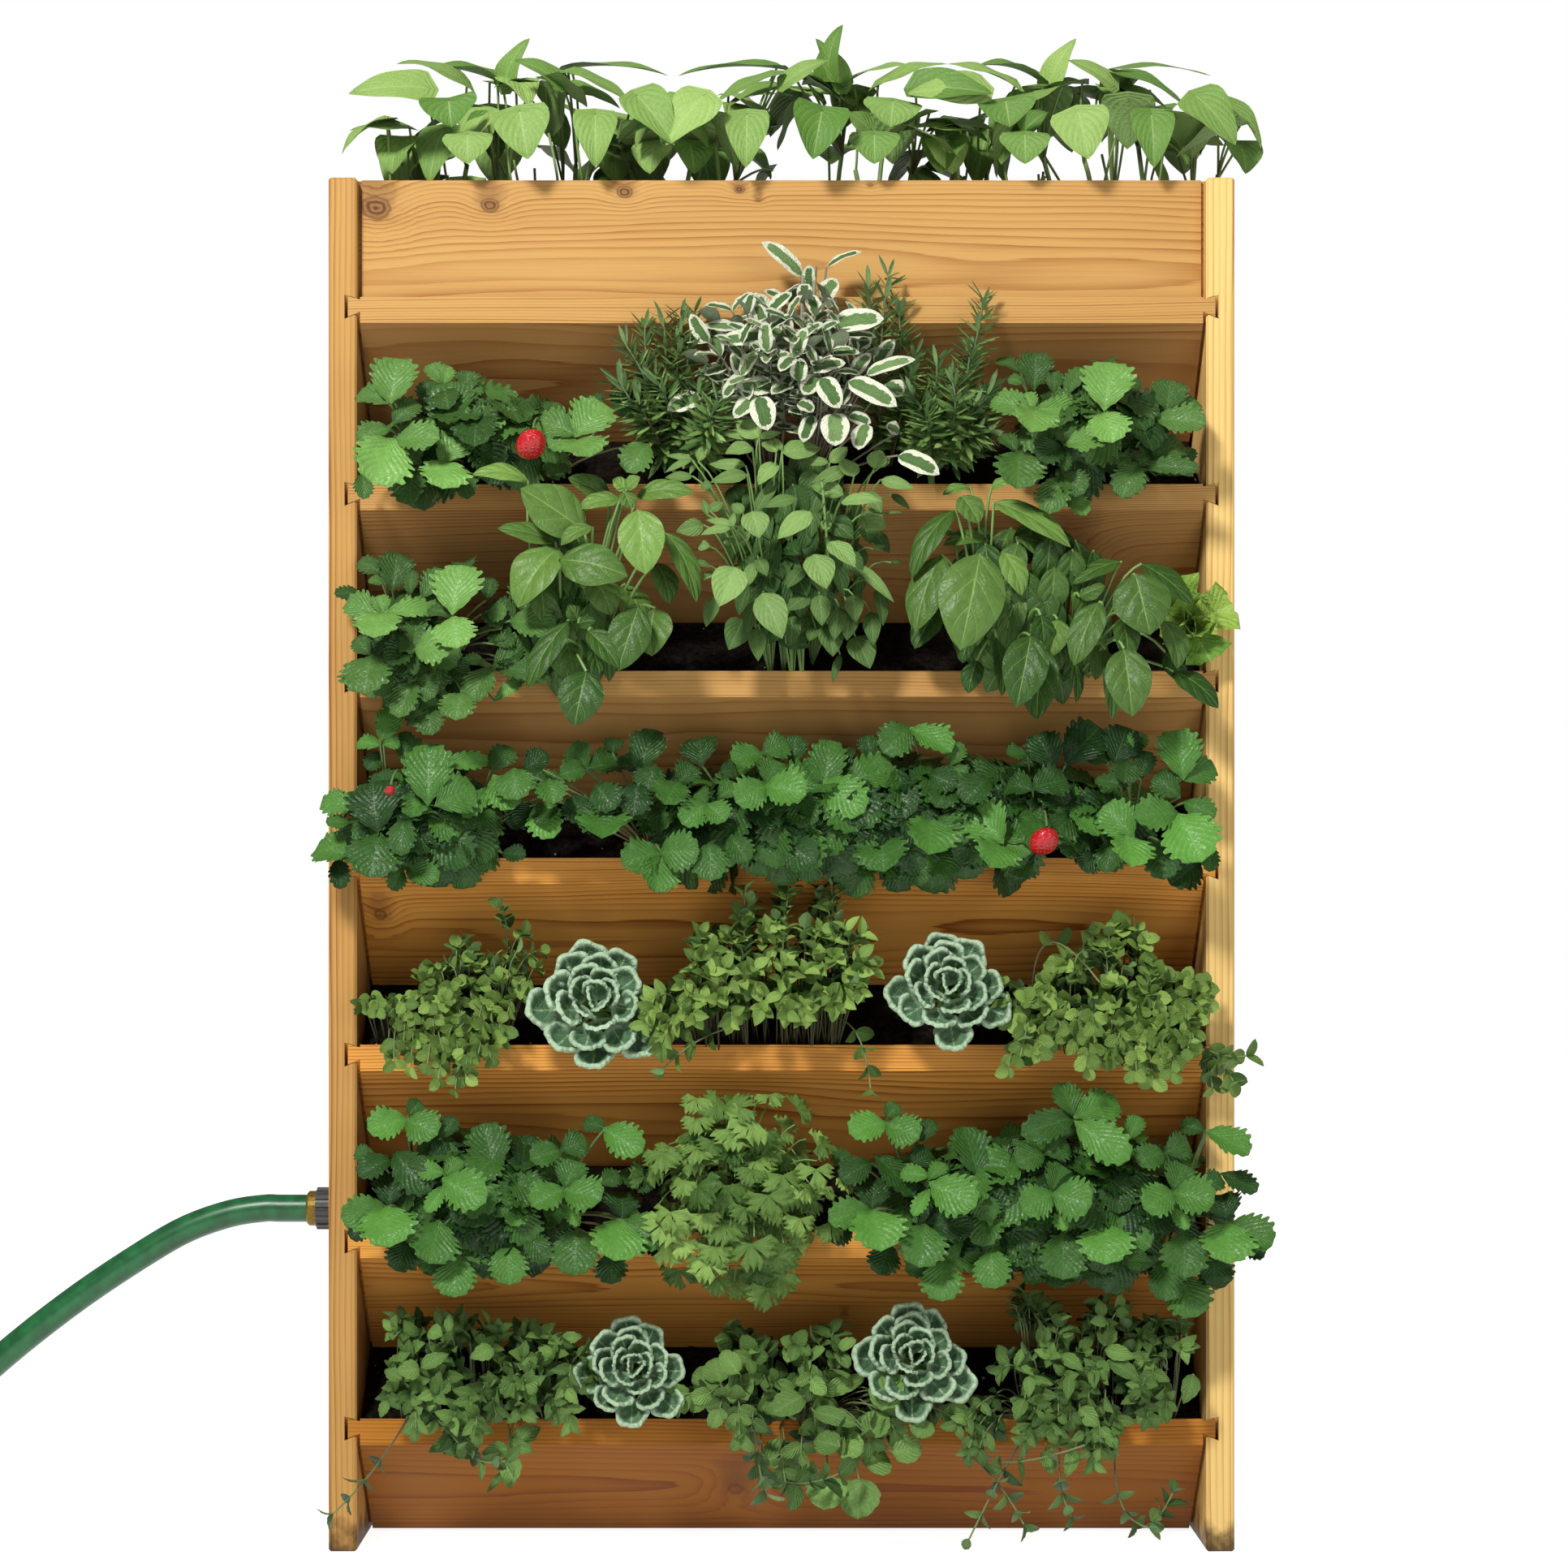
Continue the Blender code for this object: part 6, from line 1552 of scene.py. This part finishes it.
# Painted light and shade: the laid leaves take their rows' shades, and the inner leaves are painted dark as
# shade.
parts = [
    (blades(roots, headings, faces, lengths, widths * 1.15, oval, grid=(10, 6), bend=bends,
            fold=dice.uniform(0.1, 0.4, len(roots)), cup=0.12, wave=0.05, pucker=0.05, tint=shades,
            seed=93), small_basil_leaf),
    (blades(inner - down * 0.02, down, outward + (0, -0.4, 0.3), dice.uniform(0.028, 0.042, 60), 0.021,
            oval, grid=(8, 4), bend=0.6, fold=0.3, tint=dice.uniform(0, 0.3, 60),
            seed=94), small_basil_leaf),
    (stalks(stems_to(roots, feet, (0, -0.012, 0.03), 95), 0.0009), basil_stem),
    (stalks(stems_to(inner - down * 0.02, feet, (0, -0.012, 0.03), 96), 0.0009), basil_stem),
    (stalks(bud, 0.0014), basil_stem),
    (paired(bud, 9, 0.2, 0.009, 0.7, oval, lean=1.1, shrink=0.5, seed=97, grid=(4, 2)), small_basil_leaf),
]
plant("basil_2_middle_leaves", parts, ["basil_2_middle"])

# Lettuce at the right end of the basil's pocket: soft yellow-green leaves with frilled edges.
lettuce_leaf = leaf_finish(
    "lettuce_leaf", (0.12, 0.28, 0.030), (0.44, 0.60, 0.100), (0.48, 0.62, 0.24),
    (0.30, 0.46, 0.09),
    veins=5.0, slant=0.7, vein_width=0.12, vein_share=0.5, relief=0.0015, gloss=0.4,
)
dice = np.random.default_rng(12)
count = 10
turn = np.linspace(0.3, 14.6, count)
share = np.linspace(0, 1, count)
heart_of_lettuce = np.array([0.366, front - 0.024, 0.830])
rise = 1.25 - 1.0 * share
out = np.column_stack([np.cos(turn), 0.15 + 0 * turn, np.sin(turn)])
heading = unit(out * np.cos(rise)[:, None] + np.array([0, -1, 0.1]) * np.sin(rise)[:, None])
inward = unit(-out * np.sin(rise)[:, None] + np.array([0, -1, 0.1]) * np.cos(rise)[:, None])
parts = [
    (
        blades(np.tile(heart_of_lettuce, (count, 1)) + heading * 0.002 + (0, 0.015, 0), heading, inward,
               0.022 + 0.020 * share, 0.030 + 0.026 * share, fan, grid=(12, 14),
               bend=-0.7 + 0.9 * share,
               fold=0.15, cup=-0.25, wave=0.14, waves=2.5, pucker=0.10, ribs=4, lobes=0.05,
               seed=13),
        lettuce_leaf,
    )
]
plant("lettuce", parts)

# Brussels sprouts, young: rosettes of spoon-shaped blue-green leaves, one every 137.5 degrees. Each
# is hollow, painted dark in its middle as shade, and rolls a thick, pale, crimped lip outward.
sprout_leaf = leaf_finish(
    "sprout_leaf", (0.070, 0.165, 0.075), (0.540, 0.720, 0.480), (0.46, 0.62, 0.38),
    (0.36, 0.52, 0.34), veins=3.5, slant=0.75, vein_width=0.07, rib_width=0.06, vein_share=0.75,
    relief=0.0016, gloss=0.5,
)


def spoons(middle, heading, face, radius, seed, cells=20):
    """Round hollow leaves, each a square grid pressed into a disc, denser at its rim.

    With s the distance from the middle, the slope along s climbs to a steep wall, levels off at the
    lip and turns over at the rim; the height and the reach are its running sums. Two sine waves
    round the rim crimp it. The part next to the heart is a plain shallow dish.
    """
    dice = np.random.default_rng(seed)
    line = np.linspace(-1, 1, cells + 1)
    line = np.sign(line) * np.abs(line) ** 0.68
    u, v = np.meshgrid(line, line, indexing="ij")
    x, y = u * np.sqrt(1 - v**2 / 2), v * np.sqrt(1 - u**2 / 2)
    s, turn = np.hypot(x, y)[None], np.arctan2(y, x)[None]
    fine = np.linspace(0, 1, 201)
    slope = np.interp(fine, (0, 0.3, 0.64, 0.78, 0.88, 1), (0, 0.35, 1.15, 0.3, -0.9, -1.6))
    near = np.clip((np.cos(turn) + 0.75) / 0.5, 0, 1)
    reach = near * np.interp(s, fine, np.cumsum(np.cos(slope)) / 201) + (1 - near) * 0.78 * s
    height = near * np.interp(s, fine, np.cumsum(np.sin(slope)) / 201) + (1 - near) * 0.1 * s**2
    phase = dice.uniform(0, 2 * math.pi, (2, len(middle), 1, 1))
    lip = near * np.clip((s - 0.5) / 0.35, 0, 1)
    height = height + lip * (
        0.035 * np.sin(11 * turn + phase[0]) + 0.05 * np.sin(4 * turn + phase[1])
    )
    reach = reach * (1 + lip * 0.07 * np.sin(5 * turn + phase[1]))
    radius = radius[:, None, None]
    points = (
        middle[:, None, None]
        + heading[:, None, None] * (radius * reach * np.cos(turn))[..., None]
        + np.cross(heading, face)[:, None, None] * (radius * reach * np.sin(turn))[..., None]
        + face[:, None, None] * (radius * height)[..., None]
    )
    maps = np.stack([(x + 1) / 2, (y + 1) / 2], axis=-1) * np.ones((len(middle), 1, 1, 1))
    # Painted shade: each leaf is dark in its hollow middle and grows paler towards its lip.
    pale = np.clip((s - 0.42) / 0.4, 0, 1) ** 1.6
    tint = 0.95 * pale + dice.uniform(0.0, 0.16, (len(middle), 1, 1))
    return points.reshape(-1, 3), grid_faces(len(middle), cells, cells), maps.reshape(-1, 2), tint.ravel()


ROSETTE_LIFT = 0.004


def rosette(name, radius, seed):
    """Spoons about an axis: with the number's root they lie flatter, farther out and are larger.

    Leaves below the axis, the oldest, reach the farthest.
    """
    low, high = (np.array(corner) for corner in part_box(name))
    dice = np.random.default_rng(seed)
    count = 24
    number = np.arange(count)
    share = ((number + 0.5) / count)[:, None] ** 0.6
    axis = unit(np.array([0.0, -1.0, 0.3]))
    first = unit(np.cross(axis, np.array([0.0, 0.0, 1.0])))
    second = np.cross(axis, first)
    angle = (number * math.radians(137.5) + dice.normal(0, 0.10, count))[:, None]
    out = np.cos(angle) * first + np.sin(angle) * second
    tilt = 1.35 - 1.15 * share + dice.normal(0, 0.08, (count, 1))
    heading = out * np.cos(tilt) + axis * np.sin(tilt)
    face = axis * np.cos(tilt) - out * np.sin(tilt)
    middle_height = (low[2] + high[2]) / 2 + ROSETTE_LIFT
    centre = np.array([(low[0] + high[0]) / 2, front - 0.045, middle_height])
    reach = radius * 0.70 * share * (1 - 0.22 * out[:, 2:])
    middle = centre + out * reach - axis * (0.018 * share**2)
    size = radius * (0.20 + 0.19 * share[:, 0]) * dice.uniform(0.92, 1.08, count)
    parts = [(spoons(middle, heading, face, size, seed), sprout_leaf)]
    foot, top = centre + (0, 0.075, -0.025), centre - axis * 0.01
    parts.append((stalks(arcs(foot[None], top[None], np.zeros((1, 3))), 0.006, 8), basil_stem))
    root = centre - axis * 0.03
    ribs = arcs(
        np.tile(root, (count, 1)), middle - face * 0.001, -axis * 0.006 * np.ones((count, 1))
    )
    parts.append((stalks(ribs, 0.0022, 6), basil_stem))
    plant(name + "_rosette", parts, [name])


rosette("sprout_4_left", 0.069, 201)
rosette("sprout_4_right", 0.062, 202)
rosette("sprout_6_left", 0.056, 203)
rosette("sprout_6_right", 0.060, 204)

# Oregano and mint: leggy herbs whose stems lean out over the rims, with opposite leaves. The left
# and right oregano has small round leaves, the middle one larger leaves in upright spires.
oregano_leaf = leaf_finish(
    "oregano_leaf", (0.022, 0.075, 0.008), (0.400, 0.600, 0.130), (0.28, 0.44, 0.14),
    (0.20, 0.34, 0.12), veins=4.0, slant=0.6, vein_share=0.3, relief=0.0005, gloss=0.5,
)
mint_leaf = leaf_finish(
    "mint_leaf", (0.018, 0.066, 0.010), (0.290, 0.500, 0.120), (0.26, 0.44, 0.16),
    (0.18, 0.32, 0.12), veins=6.0, slant=0.5, vein_width=0.16, vein_share=0.3, relief=0.0012,
    gloss=0.45,
)
# Painted shade: herb stems run from near-black at the foot, the shade under the leaves, to green at the
# tip.
herb_stem = stalk_finish("herb_stem", (0.050, 0.035, 0.015), (0.19, 0.27, 0.09))
left_oregano = (
    (-282, 550), (-290, 543), (-275, 539), (-257, 534), (-231, 554), (-230, 543), (-312, 525),
    (-305, 523), (-296, 527), (-321, 518), (-316, 511), (-283, 529), (-268, 525), (-257, 525),
    (-241, 531), (-239, 518), (-250, 514), (-268, 509), (-279, 511), (-294, 507), (-307, 507),
    (-323, 496), (-312, 492), (-298, 496), (-285, 492), (-272, 494), (-259, 496), (-246, 496),
    (-234, 507), (-226, 503), (-365, 496), (-358, 489), (-345, 489), (-334, 494), (-339, 480),
    (-327, 480), (-312, 480), (-299, 485), (-283, 480), (-268, 481), (-257, 485), (-243, 485),
    (-250, 470), (-267, 467), (-279, 470), (-294, 467), (-307, 465), (-321, 461), (-334, 460),
    (-347, 450), (-341, 443), (-327, 438), (-312, 441), (-316, 454), (-298, 452), (-287, 454),
    (-276, 456), (-257, 445), (-246, 460), (-303, 427), (-288, 418), (-279, 429), (-274, 438),
    (-268, 449), (-374, 491), (-219, 525), (-215, 538),
)
middle_oregano = (
    (47, 621), (44, 607), (46, 590), (40, 579), (49, 565), (55, 550), (7, 598), (2, 588), (2, 574),
    (-5, 567), (2, 557), (-32, 592), (-29, 581), (-36, 570), (-33, 559), (-11, 557), (-16, 550),
    (20, 559), (35, 556), (46, 554), (58, 557), (69, 554), (-46, 554), (-36, 545), (-33, 539),
    (-24, 525), (-16, 530), (2, 528), (9, 532), (0, 514), (20, 521), (33, 528), (40, 545),
    (27, 545), (47, 536), (53, 528), (69, 534), (78, 526), (66, 521), (62, 512), (69, 506),
    (-72, 554), (-75, 545), (-60, 539), (-75, 530), (-78, 521), (-51, 525), (-51, 510), (-44, 501),
    (-57, 499), (-36, 514), (-26, 510), (-86, 510), (-80, 499), (-69, 495), (-64, 519), (-71, 508),
    (-93, 483), (-104, 472), (-106, 459), (-115, 490), (-120, 475), (-111, 499), (-44, 479),
    (-18, 488), (-78, 483), (0, 501), (11, 492), (4, 485), (22, 488), (15, 483), (31, 499),
    (42, 501), (47, 492), (55, 499),
)
right_oregano = (
    (305, 561), (291, 558), (319, 558), (322, 548), (299, 542), (287, 539), (277, 553), (273, 543),
    (250, 529), (243, 520), (232, 511), (261, 520), (255, 517), (268, 527), (294, 527), (304, 525),
    (291, 511), (305, 509), (317, 502), (322, 525), (328, 527), (325, 516), (335, 519), (333, 506),
    (346, 513), (358, 512), (366, 511), (376, 507), (350, 497), (365, 497), (373, 491), (365, 479),
    (356, 489), (356, 478), (332, 497), (324, 499), (317, 484), (305, 484), (291, 493), (276, 499),
    (284, 479), (274, 476), (261, 486), (246, 489), (235, 493), (223, 494), (215, 497), (230, 499),
    (218, 478), (214, 471), (225, 470), (233, 473), (246, 473), (258, 463), (263, 478), (278, 465),
    (268, 466), (292, 476), (296, 468), (294, 458), (307, 463), (314, 466), (322, 466), (335, 476),
    (342, 479), (343, 466), (350, 460), (358, 455), (363, 460), (317, 458), (271, 448), (282, 447),
    (291, 445), (268, 437), (218, 456), (225, 453), (209, 447), (199, 438), (312, 445), (333, 448),
    (325, 442), (342, 433), (310, 435), (325, 427), (350, 450), (194, 509), (192, 497), (174, 486),
    (202, 479), (176, 493),
)
left_mint = (
    (-340, 210), (-346, 201), (-335, 197), (-293, 213), (-304, 204), (-284, 204), (-294, 191),
    (-323, 197), (-310, 193), (-261, 204), (-252, 199), (-264, 188), (-253, 177), (-332, 184),
    (-337, 173), (-304, 179), (-304, 166), (-321, 159), (-343, 157), (-348, 144), (-328, 144),
    (-321, 122), (-306, 150), (-294, 160), (-275, 144), (-288, 131), (-264, 153), (-253, 153),
    (-231, 191), (-226, 199), (-215, 197), (-206, 193), (-195, 191), (-217, 175), (-202, 182),
    (-230, 179), (-237, 157), (-226, 157), (-221, 139), (-230, 135), (-202, 139), (-190, 153),
    (-188, 164), (-171, 166), (-177, 181), (-173, 155), (-186, 126), (-275, 190), (-277, 193),
    (-268, 122), (-246, 173), (-314, 170), (-252, 133),
)
middle_mint = (
    (-47, 194), (-39, 196), (-30, 192), (-45, 179), (-28, 177), (-16, 185), (12, 189), (32, 190),
    (47, 200), (51, 185), (-68, 141), (-55, 135), (-16, 160), (-5, 156), (-11, 143), (11, 152),
    (26, 156), (22, 177), (41, 162), (49, 171), (1, 133), (35, 141), (-37, 114), (-28, 114),
    (30, 118), (3, 75), (16, 89), (60, 118), (89, 116), (99, 118), (124, 143), (139, 133),
    (156, 125), (114, 135), (-93, 144), (-35, 127), (53, 112), (78, 108),
)
right_mint = (
    (216, 234), (211, 228), (209, 221), (226, 224), (214, 212), (238, 219), (232, 210), (247, 209),
    (286, 225), (278, 215), (301, 218), (284, 207), (271, 203), (248, 197), (233, 192), (238, 180),
    (254, 178), (266, 183), (284, 169), (275, 168), (308, 203), (322, 195), (331, 192), (330, 209),
    (334, 209), (343, 194), (351, 201), (355, 207), (337, 178), (321, 177), (311, 186), (354, 188),
    (328, 163), (322, 162), (316, 154), (327, 150), (339, 151), (340, 136), (322, 130), (200, 180),
    (194, 169), (211, 171), (220, 157), (227, 159), (220, 177), (212, 138), (223, 135), (230, 139),
    (251, 163), (260, 157), (253, 150), (271, 145), (244, 133), (253, 127), (284, 130), (266, 115),
    (278, 118), (215, 120), (227, 123), (236, 121), (214, 109), (164, 103), (173, 103), (164, 129),
    (296, 118), (290, 108), (280, 103), (244, 111), (274, 91), (155, 123),
)
mint_left_blades = (
    (-330, 160, -323, 131, 17, 6), (-312, 131, -332, 111, 20, 6), (-286, 108, -312, 97, 13, 4),
    (-284, 106, -299, 95, 17, 4), (-268, 102, -299, 98, 16, 4), (-239, 102, -215, 115, 15, 6),
    (-241, 104, -219, 97, 11, 6), (-242, 98, -266, 95, 13, 7), (-239, 93, -241, 64, 16, 7),
    (-244, 78, -261, 60, 7, 5), (-284, 124, -253, 117, 15, 5), (-286, 128, -297, 131, 16, 4),
    (-255, 188, -275, 181, 13, 7), (-231, 171, -210, 177, 10, 8), (-228, 164, -217, 148, 16, 6),
    (-235, 166, -244, 146, 13, 4), (-312, 204, -299, 200, 13, 7), (-294, 204, -294, 219, 7, 7),
    (-319, 171, -339, 171, 15, 7), (-317, 173, -294, 184, 13, 6), (-335, 162, -351, 170, 11, 6),
)
mint_blades = (
    (-47, 154, -30, 141, 29, 6), (-55, 152, -80, 160, 21, 6), (-55, 154, -60, 175, 21, 7),
    (-47, 150, -22, 152, 27, 6), (34, 148, 74, 160, 13, 7), (35, 152, 16, 173, 15, 5),
    (28, 133, 66, 123, 14, 5), (-16, 87, 14, 97, 23, 6), (14, 85, -11, 68, 17, 4),
    (51, 106, 72, 100, 21, 8), (68, 85, 53, 89, 19, 8), (72, 87, 95, 89, 29, 7),
    (97, 97, 124, 100, 21, 7), (76, 112, 91, 133, 21, 6), (89, 135, 97, 169, 25, 7),
    (41, 77, 37, 49, 29, 8), (68, 74, 66, 41, 31, 6), (51, 104, 28, 108, 21, 5),
    (18, 148, -9, 135, 21, 5), (-39, 166, -53, 185, 15, 7), (127, 127, 118, 112, 19, 6),
)
mint_right_blades = (
    (286, 189, 293, 209, 15, 6), (287, 186, 313, 180, 12, 7), (290, 177, 317, 159, 14, 4),
    (278, 177, 286, 160, 14, 5), (247, 182, 266, 169, 12, 6), (319, 145, 299, 139, 9, 6),
    (321, 157, 334, 169, 8, 8), (319, 159, 310, 150, 8, 8), (263, 136, 280, 120, 14, 7),
    (254, 166, 251, 144, 9, 5), (366, 163, 355, 139, 14, 5), (296, 219, 308, 219, 8, 7),
    (284, 216, 281, 230, 9, 7), (287, 212, 271, 212, 9, 7), (218, 165, 217, 147, 9, 7),
    (214, 145, 205, 127, 12, 5), (254, 106, 233, 109, 11, 6), (259, 100, 250, 76, 11, 7),
    (233, 99, 238, 78, 12, 6), (286, 111, 271, 97, 11, 4), (298, 123, 290, 114, 9, 5),
    (286, 114, 295, 102, 9, 7), (170, 111, 164, 96, 9, 5), (174, 111, 173, 96, 9, 4),
    (155, 124, 161, 118, 9, 7),
)


def herb(
    name, tips, length, share, outline, finish, seed, trails=(), laid=(), grid=(12, 4), **shape
):
    """Shoots from the soil to tips at (x, z) in millimetres, with paired leaves near their ends.

    The lower a tip hangs, the nearer the front it is. A second set of shoots stands behind, painted darker
    as shade.
    A trail is three places in millimetres as (x, depth, z), joined by a curve through all three.
    Laid leaves are rows of their own, each with its painted light and shade.
    """
    low, high, rim = clump_room(name, 0.0)
    at = np.array(tips, float) / 1000
    dice = np.random.default_rng(seed)
    hang = (at[:, 1].max() - at[:, 1]) / np.ptp(at[:, 1])
    depth = front - (front - low[1]) * (0.15 + 0.6 * hang) + dice.normal(0, 0.005, len(at))
    heads = np.column_stack([at[:, 0], depth, at[:, 1]])
    feet = feet_of(low + (0.02, 0, 0), high - (0.02, 0, 0), 34, rim)
    behind = 0.82 * heads + 0.18 * heads.mean(axis=0) + (0, 0.018, 0)
    parts = []
    for layer, (ends, dark, bright) in enumerate(((heads, 0.35, 1.0), (behind, 0.0, 0.3))):
        paths = stems_to(ends, feet, (0, -0.012, 0.02), seed + 3, 10)
        tint = dice.uniform(dark, bright, len(paths) * 6)
        parts.append((stalks(paths, 0.0007), herb_stem))
        part = paired(paths, 3, 0.80, length, share, outline, lean=1.05, shrink=0.3, light=1.1,
                      seed=seed + 5 + layer, grid=grid, tint=tint, **shape)
        parts.append((part, finish))
    if len(trails):
        ends = np.array(trails, float) / 1000 + (0, front, 0)
        t = np.linspace(0, 1, 12)[None, :, None]
        curve = (
            ends[:, None, 0] * (1 - t) * (1 - 2 * t) + ends[:, None, 1] * 4 * t * (1 - t)
            + ends[:, None, 2] * t * (2 * t - 1)
        )
        parts.append((stalks(curve, 0.0009), herb_stem))
        part = paired(curve, 4, 0.4, length * 0.95, share, outline, lean=1.0, seed=seed + 9, shrink=0.2,
                      grid=grid, **shape)
        parts.append((part, finish))
    if len(laid):
        root, heading, face, long, wide, bend, shade = laid_leaflets(
            laid, front - low[1], seed + 11
        )
        part = blades(root, heading, face, long, wide * 1.1, outline, grid=grid, tint=shade, seed=seed + 12,
                      **(shape | {"bend": bend}))
        parts.append((part, finish))
        parts.append(
            (stalks(stems_to(root, feet, (0, -0.01, 0.015), seed + 13), 0.0008), herb_stem)
        )
    plant(name + "_leaves", parts, [name])


herb(
    "oregano_4_left", left_oregano, 0.0175, 0.82, round_leaf, oregano_leaf, 300,
    trails=[((-245, -8, 538), (-246, -14, 562), (-250, -20, 578))], grid=(6, 2), bend=0.4, fold=0.2,
)
herb(
    "oregano_4_middle", middle_oregano, 0.0240, 0.66, oval, oregano_leaf, 310,
    trails=[((47, -20, 481), (68, -40, 463), (78, -50, 419)), (
        (-33, -20, 472), (-69, -40, 463), (-104, -50, 437)
    )],
    grid=(7, 4), bend=0.5, fold=0.3, wave=0.04,
)
herb(
    "oregano_4_right", right_oregano, 0.0215, 0.80, round_leaf, oregano_leaf, 320,
    trails=[
        ((363, -30, 466), (381, -42, 450), (409, -50, 447)),
        ((366, -30, 460), (374, -44, 443), (379, -54, 420)),
        ((374, -34, 451), (389, -46, 438), (397, -56, 425)),
        ((223, -20, 499), (238, -30, 547), (281, -40, 512)),
    ],
    grid=(6, 2), bend=0.4, fold=0.2,
)
herb(
    "mint_6_left", left_mint, 0.0255, 0.60, oval, mint_leaf, 330, trails=[
        ((-330, -40, 128), (-359, -54, 84), (-394, -60, 46)),
        ((-317, -40, 137), (-301, -50, 124), (-284, -60, 108)),
        ((-283, -50, 119), (-270, -60, 95), (-242, -66, 93)),
    ],
    laid=mint_left_blades, bend=0.6, fold=0.25, teeth=0.09, pucker=0.06,
)
herb(
    "mint_6_middle", middle_mint, 0.0260, 0.74, round_leaf, mint_leaf, 340, trails=[
        ((-9, -60, 77), (18, -74, 75), (49, -84, 85)),
        ((-24, -50, 116), (-21, -62, 95), (-16, -70, 68)),
    ],
    laid=mint_blades, bend=0.6, fold=0.2, teeth=0.06, pucker=0.06,
)
herb(
    "mint_6_right", right_mint, 0.0240, 0.62, oval, mint_leaf, 350, trails=[
        ((211, -40, 105), (191, -56, 75), (164, -66, 25)),
        ((164, -40, 97), (193, -54, 67), (212, -62, 37)),
        ((177, -50, 108), (197, -60, 91), (266, -60, 106)),
        ((295, -40, 105), (298, -56, 55), (322, -62, 34)),
        ((311, -56, 32), (328, -60, 41), (343, -60, 64)),
        ((245, -50, 102), (245, -58, 70), (254, -62, 44)),
    ],
    laid=mint_right_blades, bend=0.6, fold=0.25, teeth=0.08, pucker=0.05,
)

# Coriander: fan-shaped leaflets with deeply cut edges, three to a leaf, on thin pale stalks.
coriander_leaf = leaf_finish(
    "coriander_leaf", (0.022, 0.080, 0.008), (0.370, 0.590, 0.130), (0.30, 0.46, 0.14),
    (0.20, 0.34, 0.10), veins=3.0, slant=0.8, vein_share=0.25, relief=0.0006, gloss=0.45,
)
low, high, rim = clump_room("cilantro_5", 0.012)
feet = feet_of(low + (0.06, 0, 0), high - (0.06, 0, 0), 4, rim)
parts = []
dice = np.random.default_rng(400)
for layer, (count, inner) in enumerate(((70, 0.0), (50, 0.4))):
    heads, outward = spread(low, high, count, 402 + layer, power=1.7, inner=inner)
    paths = stems_to(heads, feet, (0, -0.010, 0.030), 404)
    parts.append((stalks(paths, 0.0007), basil_stem))
    face = unit(outward + (0, -0.3, 0.7) + dice.normal(0, 0.35, heads.shape))
    along = unit(heads - paths[:, -3])
    along = unit(along - (along * face).sum(axis=1, keepdims=True) * face)
    size = dice.uniform(0.015, 0.025, count)
    heads += dice.normal(0, 0.009, heads.shape)
    for angle in (0.0, 1.25, -1.25):
        heading = turn_about(along, face, angle + dice.normal(0, 0.15, count))
        parts.append(
            (
                blades(heads, heading, face + 0.2 * heading, size, size * 1.1, fan, grid=(6, 12), bend=0.5,
                       fold=0.15, wave=0.14, waves=1.5, teeth=0.1, lobes=0.32, seed=406 + layer),
                coriander_leaf,
            )
        )
plant("cilantro_5_leaves", parts, ["cilantro_5"])

# Strawberries: ripe berries, plump cones whose seeds sit in shallow pits, under a green calyx.
berry_skin, tree, shader = new_material("berry_skin", 0.28)
place = node(tree, "UVMap", uv_map="blade").outputs[0]
stretched = node(tree, "Mapping", {"Vector": place, "Scale": (9.0, 14.0, 1.0)}).outputs[0]
cell = node(
    tree, "TexVoronoi", {"Vector": stretched, "Scale": 1.0, "Randomness": 0.25}
).outputs["Distance"]
seeds = reckon(tree, "SUBTRACT", 1.0, ramp(tree, cell, 0.10, 0.16))
colour = blend(tree, seeds, (0.52, 0.006, 0.012, 1), (0.60, 0.30, 0.08, 1))
tree.links.new(colour, shader.inputs["Base Color"])
bump = node(
    tree, "Bump", {"Height": ramp(tree, cell, 0.0, 0.4), "Strength": 0.7, "Distance": 0.0012}
)
tree.links.new(bump.outputs[0], shader.inputs["Normal"])
calyx = leaf_finish(
    "calyx", (0.05, 0.16, 0.03), (0.10, 0.26, 0.05), (0.2, 0.3, 0.1), (0.1, 0.2, 0.06)
)


def berries(rows):
    """Cones turned about a hanging axis: the radius is the root of t times (1 - 0.8 t)."""
    steps, sides = 16, 18
    t = np.linspace(0, 1, steps)
    profile = np.clip(np.sqrt(t) * (1 - t) ** 0.45 * 1.75, 0.004, None)
    angle = 2 * math.pi * np.arange(sides) / sides
    ring = np.stack([np.cos(angle), np.sin(angle), 0 * angle], axis=1)
    parts = []
    for x, z, depth, size in rows:
        top = np.array([x, front * 1000 + depth, z]) / 1000
        body = top + ring[None] * (profile * size / 2000)[:, None, None]
        body = body - (t * size * 0.95 / 1000)[:, None, None] * np.array([0.15, -0.35, 0.92])
        maps = np.stack(np.broadcast_arrays(t[:, None], angle[None] / (2 * math.pi)), axis=-1)
        faces = grid_faces(1, steps - 1, sides, closed=True)
        shade = np.full(body.shape[0] * sides, 0.5)
        parts.append(((body.reshape(-1, 3), faces, maps.reshape(-1, 2), shade), berry_skin))
        spin = 2 * math.pi * np.arange(7) / 7
        sepals = np.column_stack([np.cos(spin), np.sin(spin), -0.35 + 0 * spin])
        parts.append(
            (
                blades(np.tile(top, (7, 1)), unit(sepals), np.tile(
                    [0.0, 0.1, 1.0], (7, 1)
                ), size * 0.00045,
                       size * 0.00022, oval, grid=(5, 2), bend=0.9, seed=7),
                calyx,
            )
        )
        foot = np.array([[x / 1000 + 0.004, front + 0.03, z / 1000 - 0.01]])
        parts.append(
            (stalks(arcs(foot, top[None], np.array([[0, -0.01, 0.02]])), 0.001), strawberry_stalk)
        )
    plant("strawberries", parts)


berries([(-216, 993, -98, 29), (229, 648, -100, 28), (-339, 684, -100, 10)])
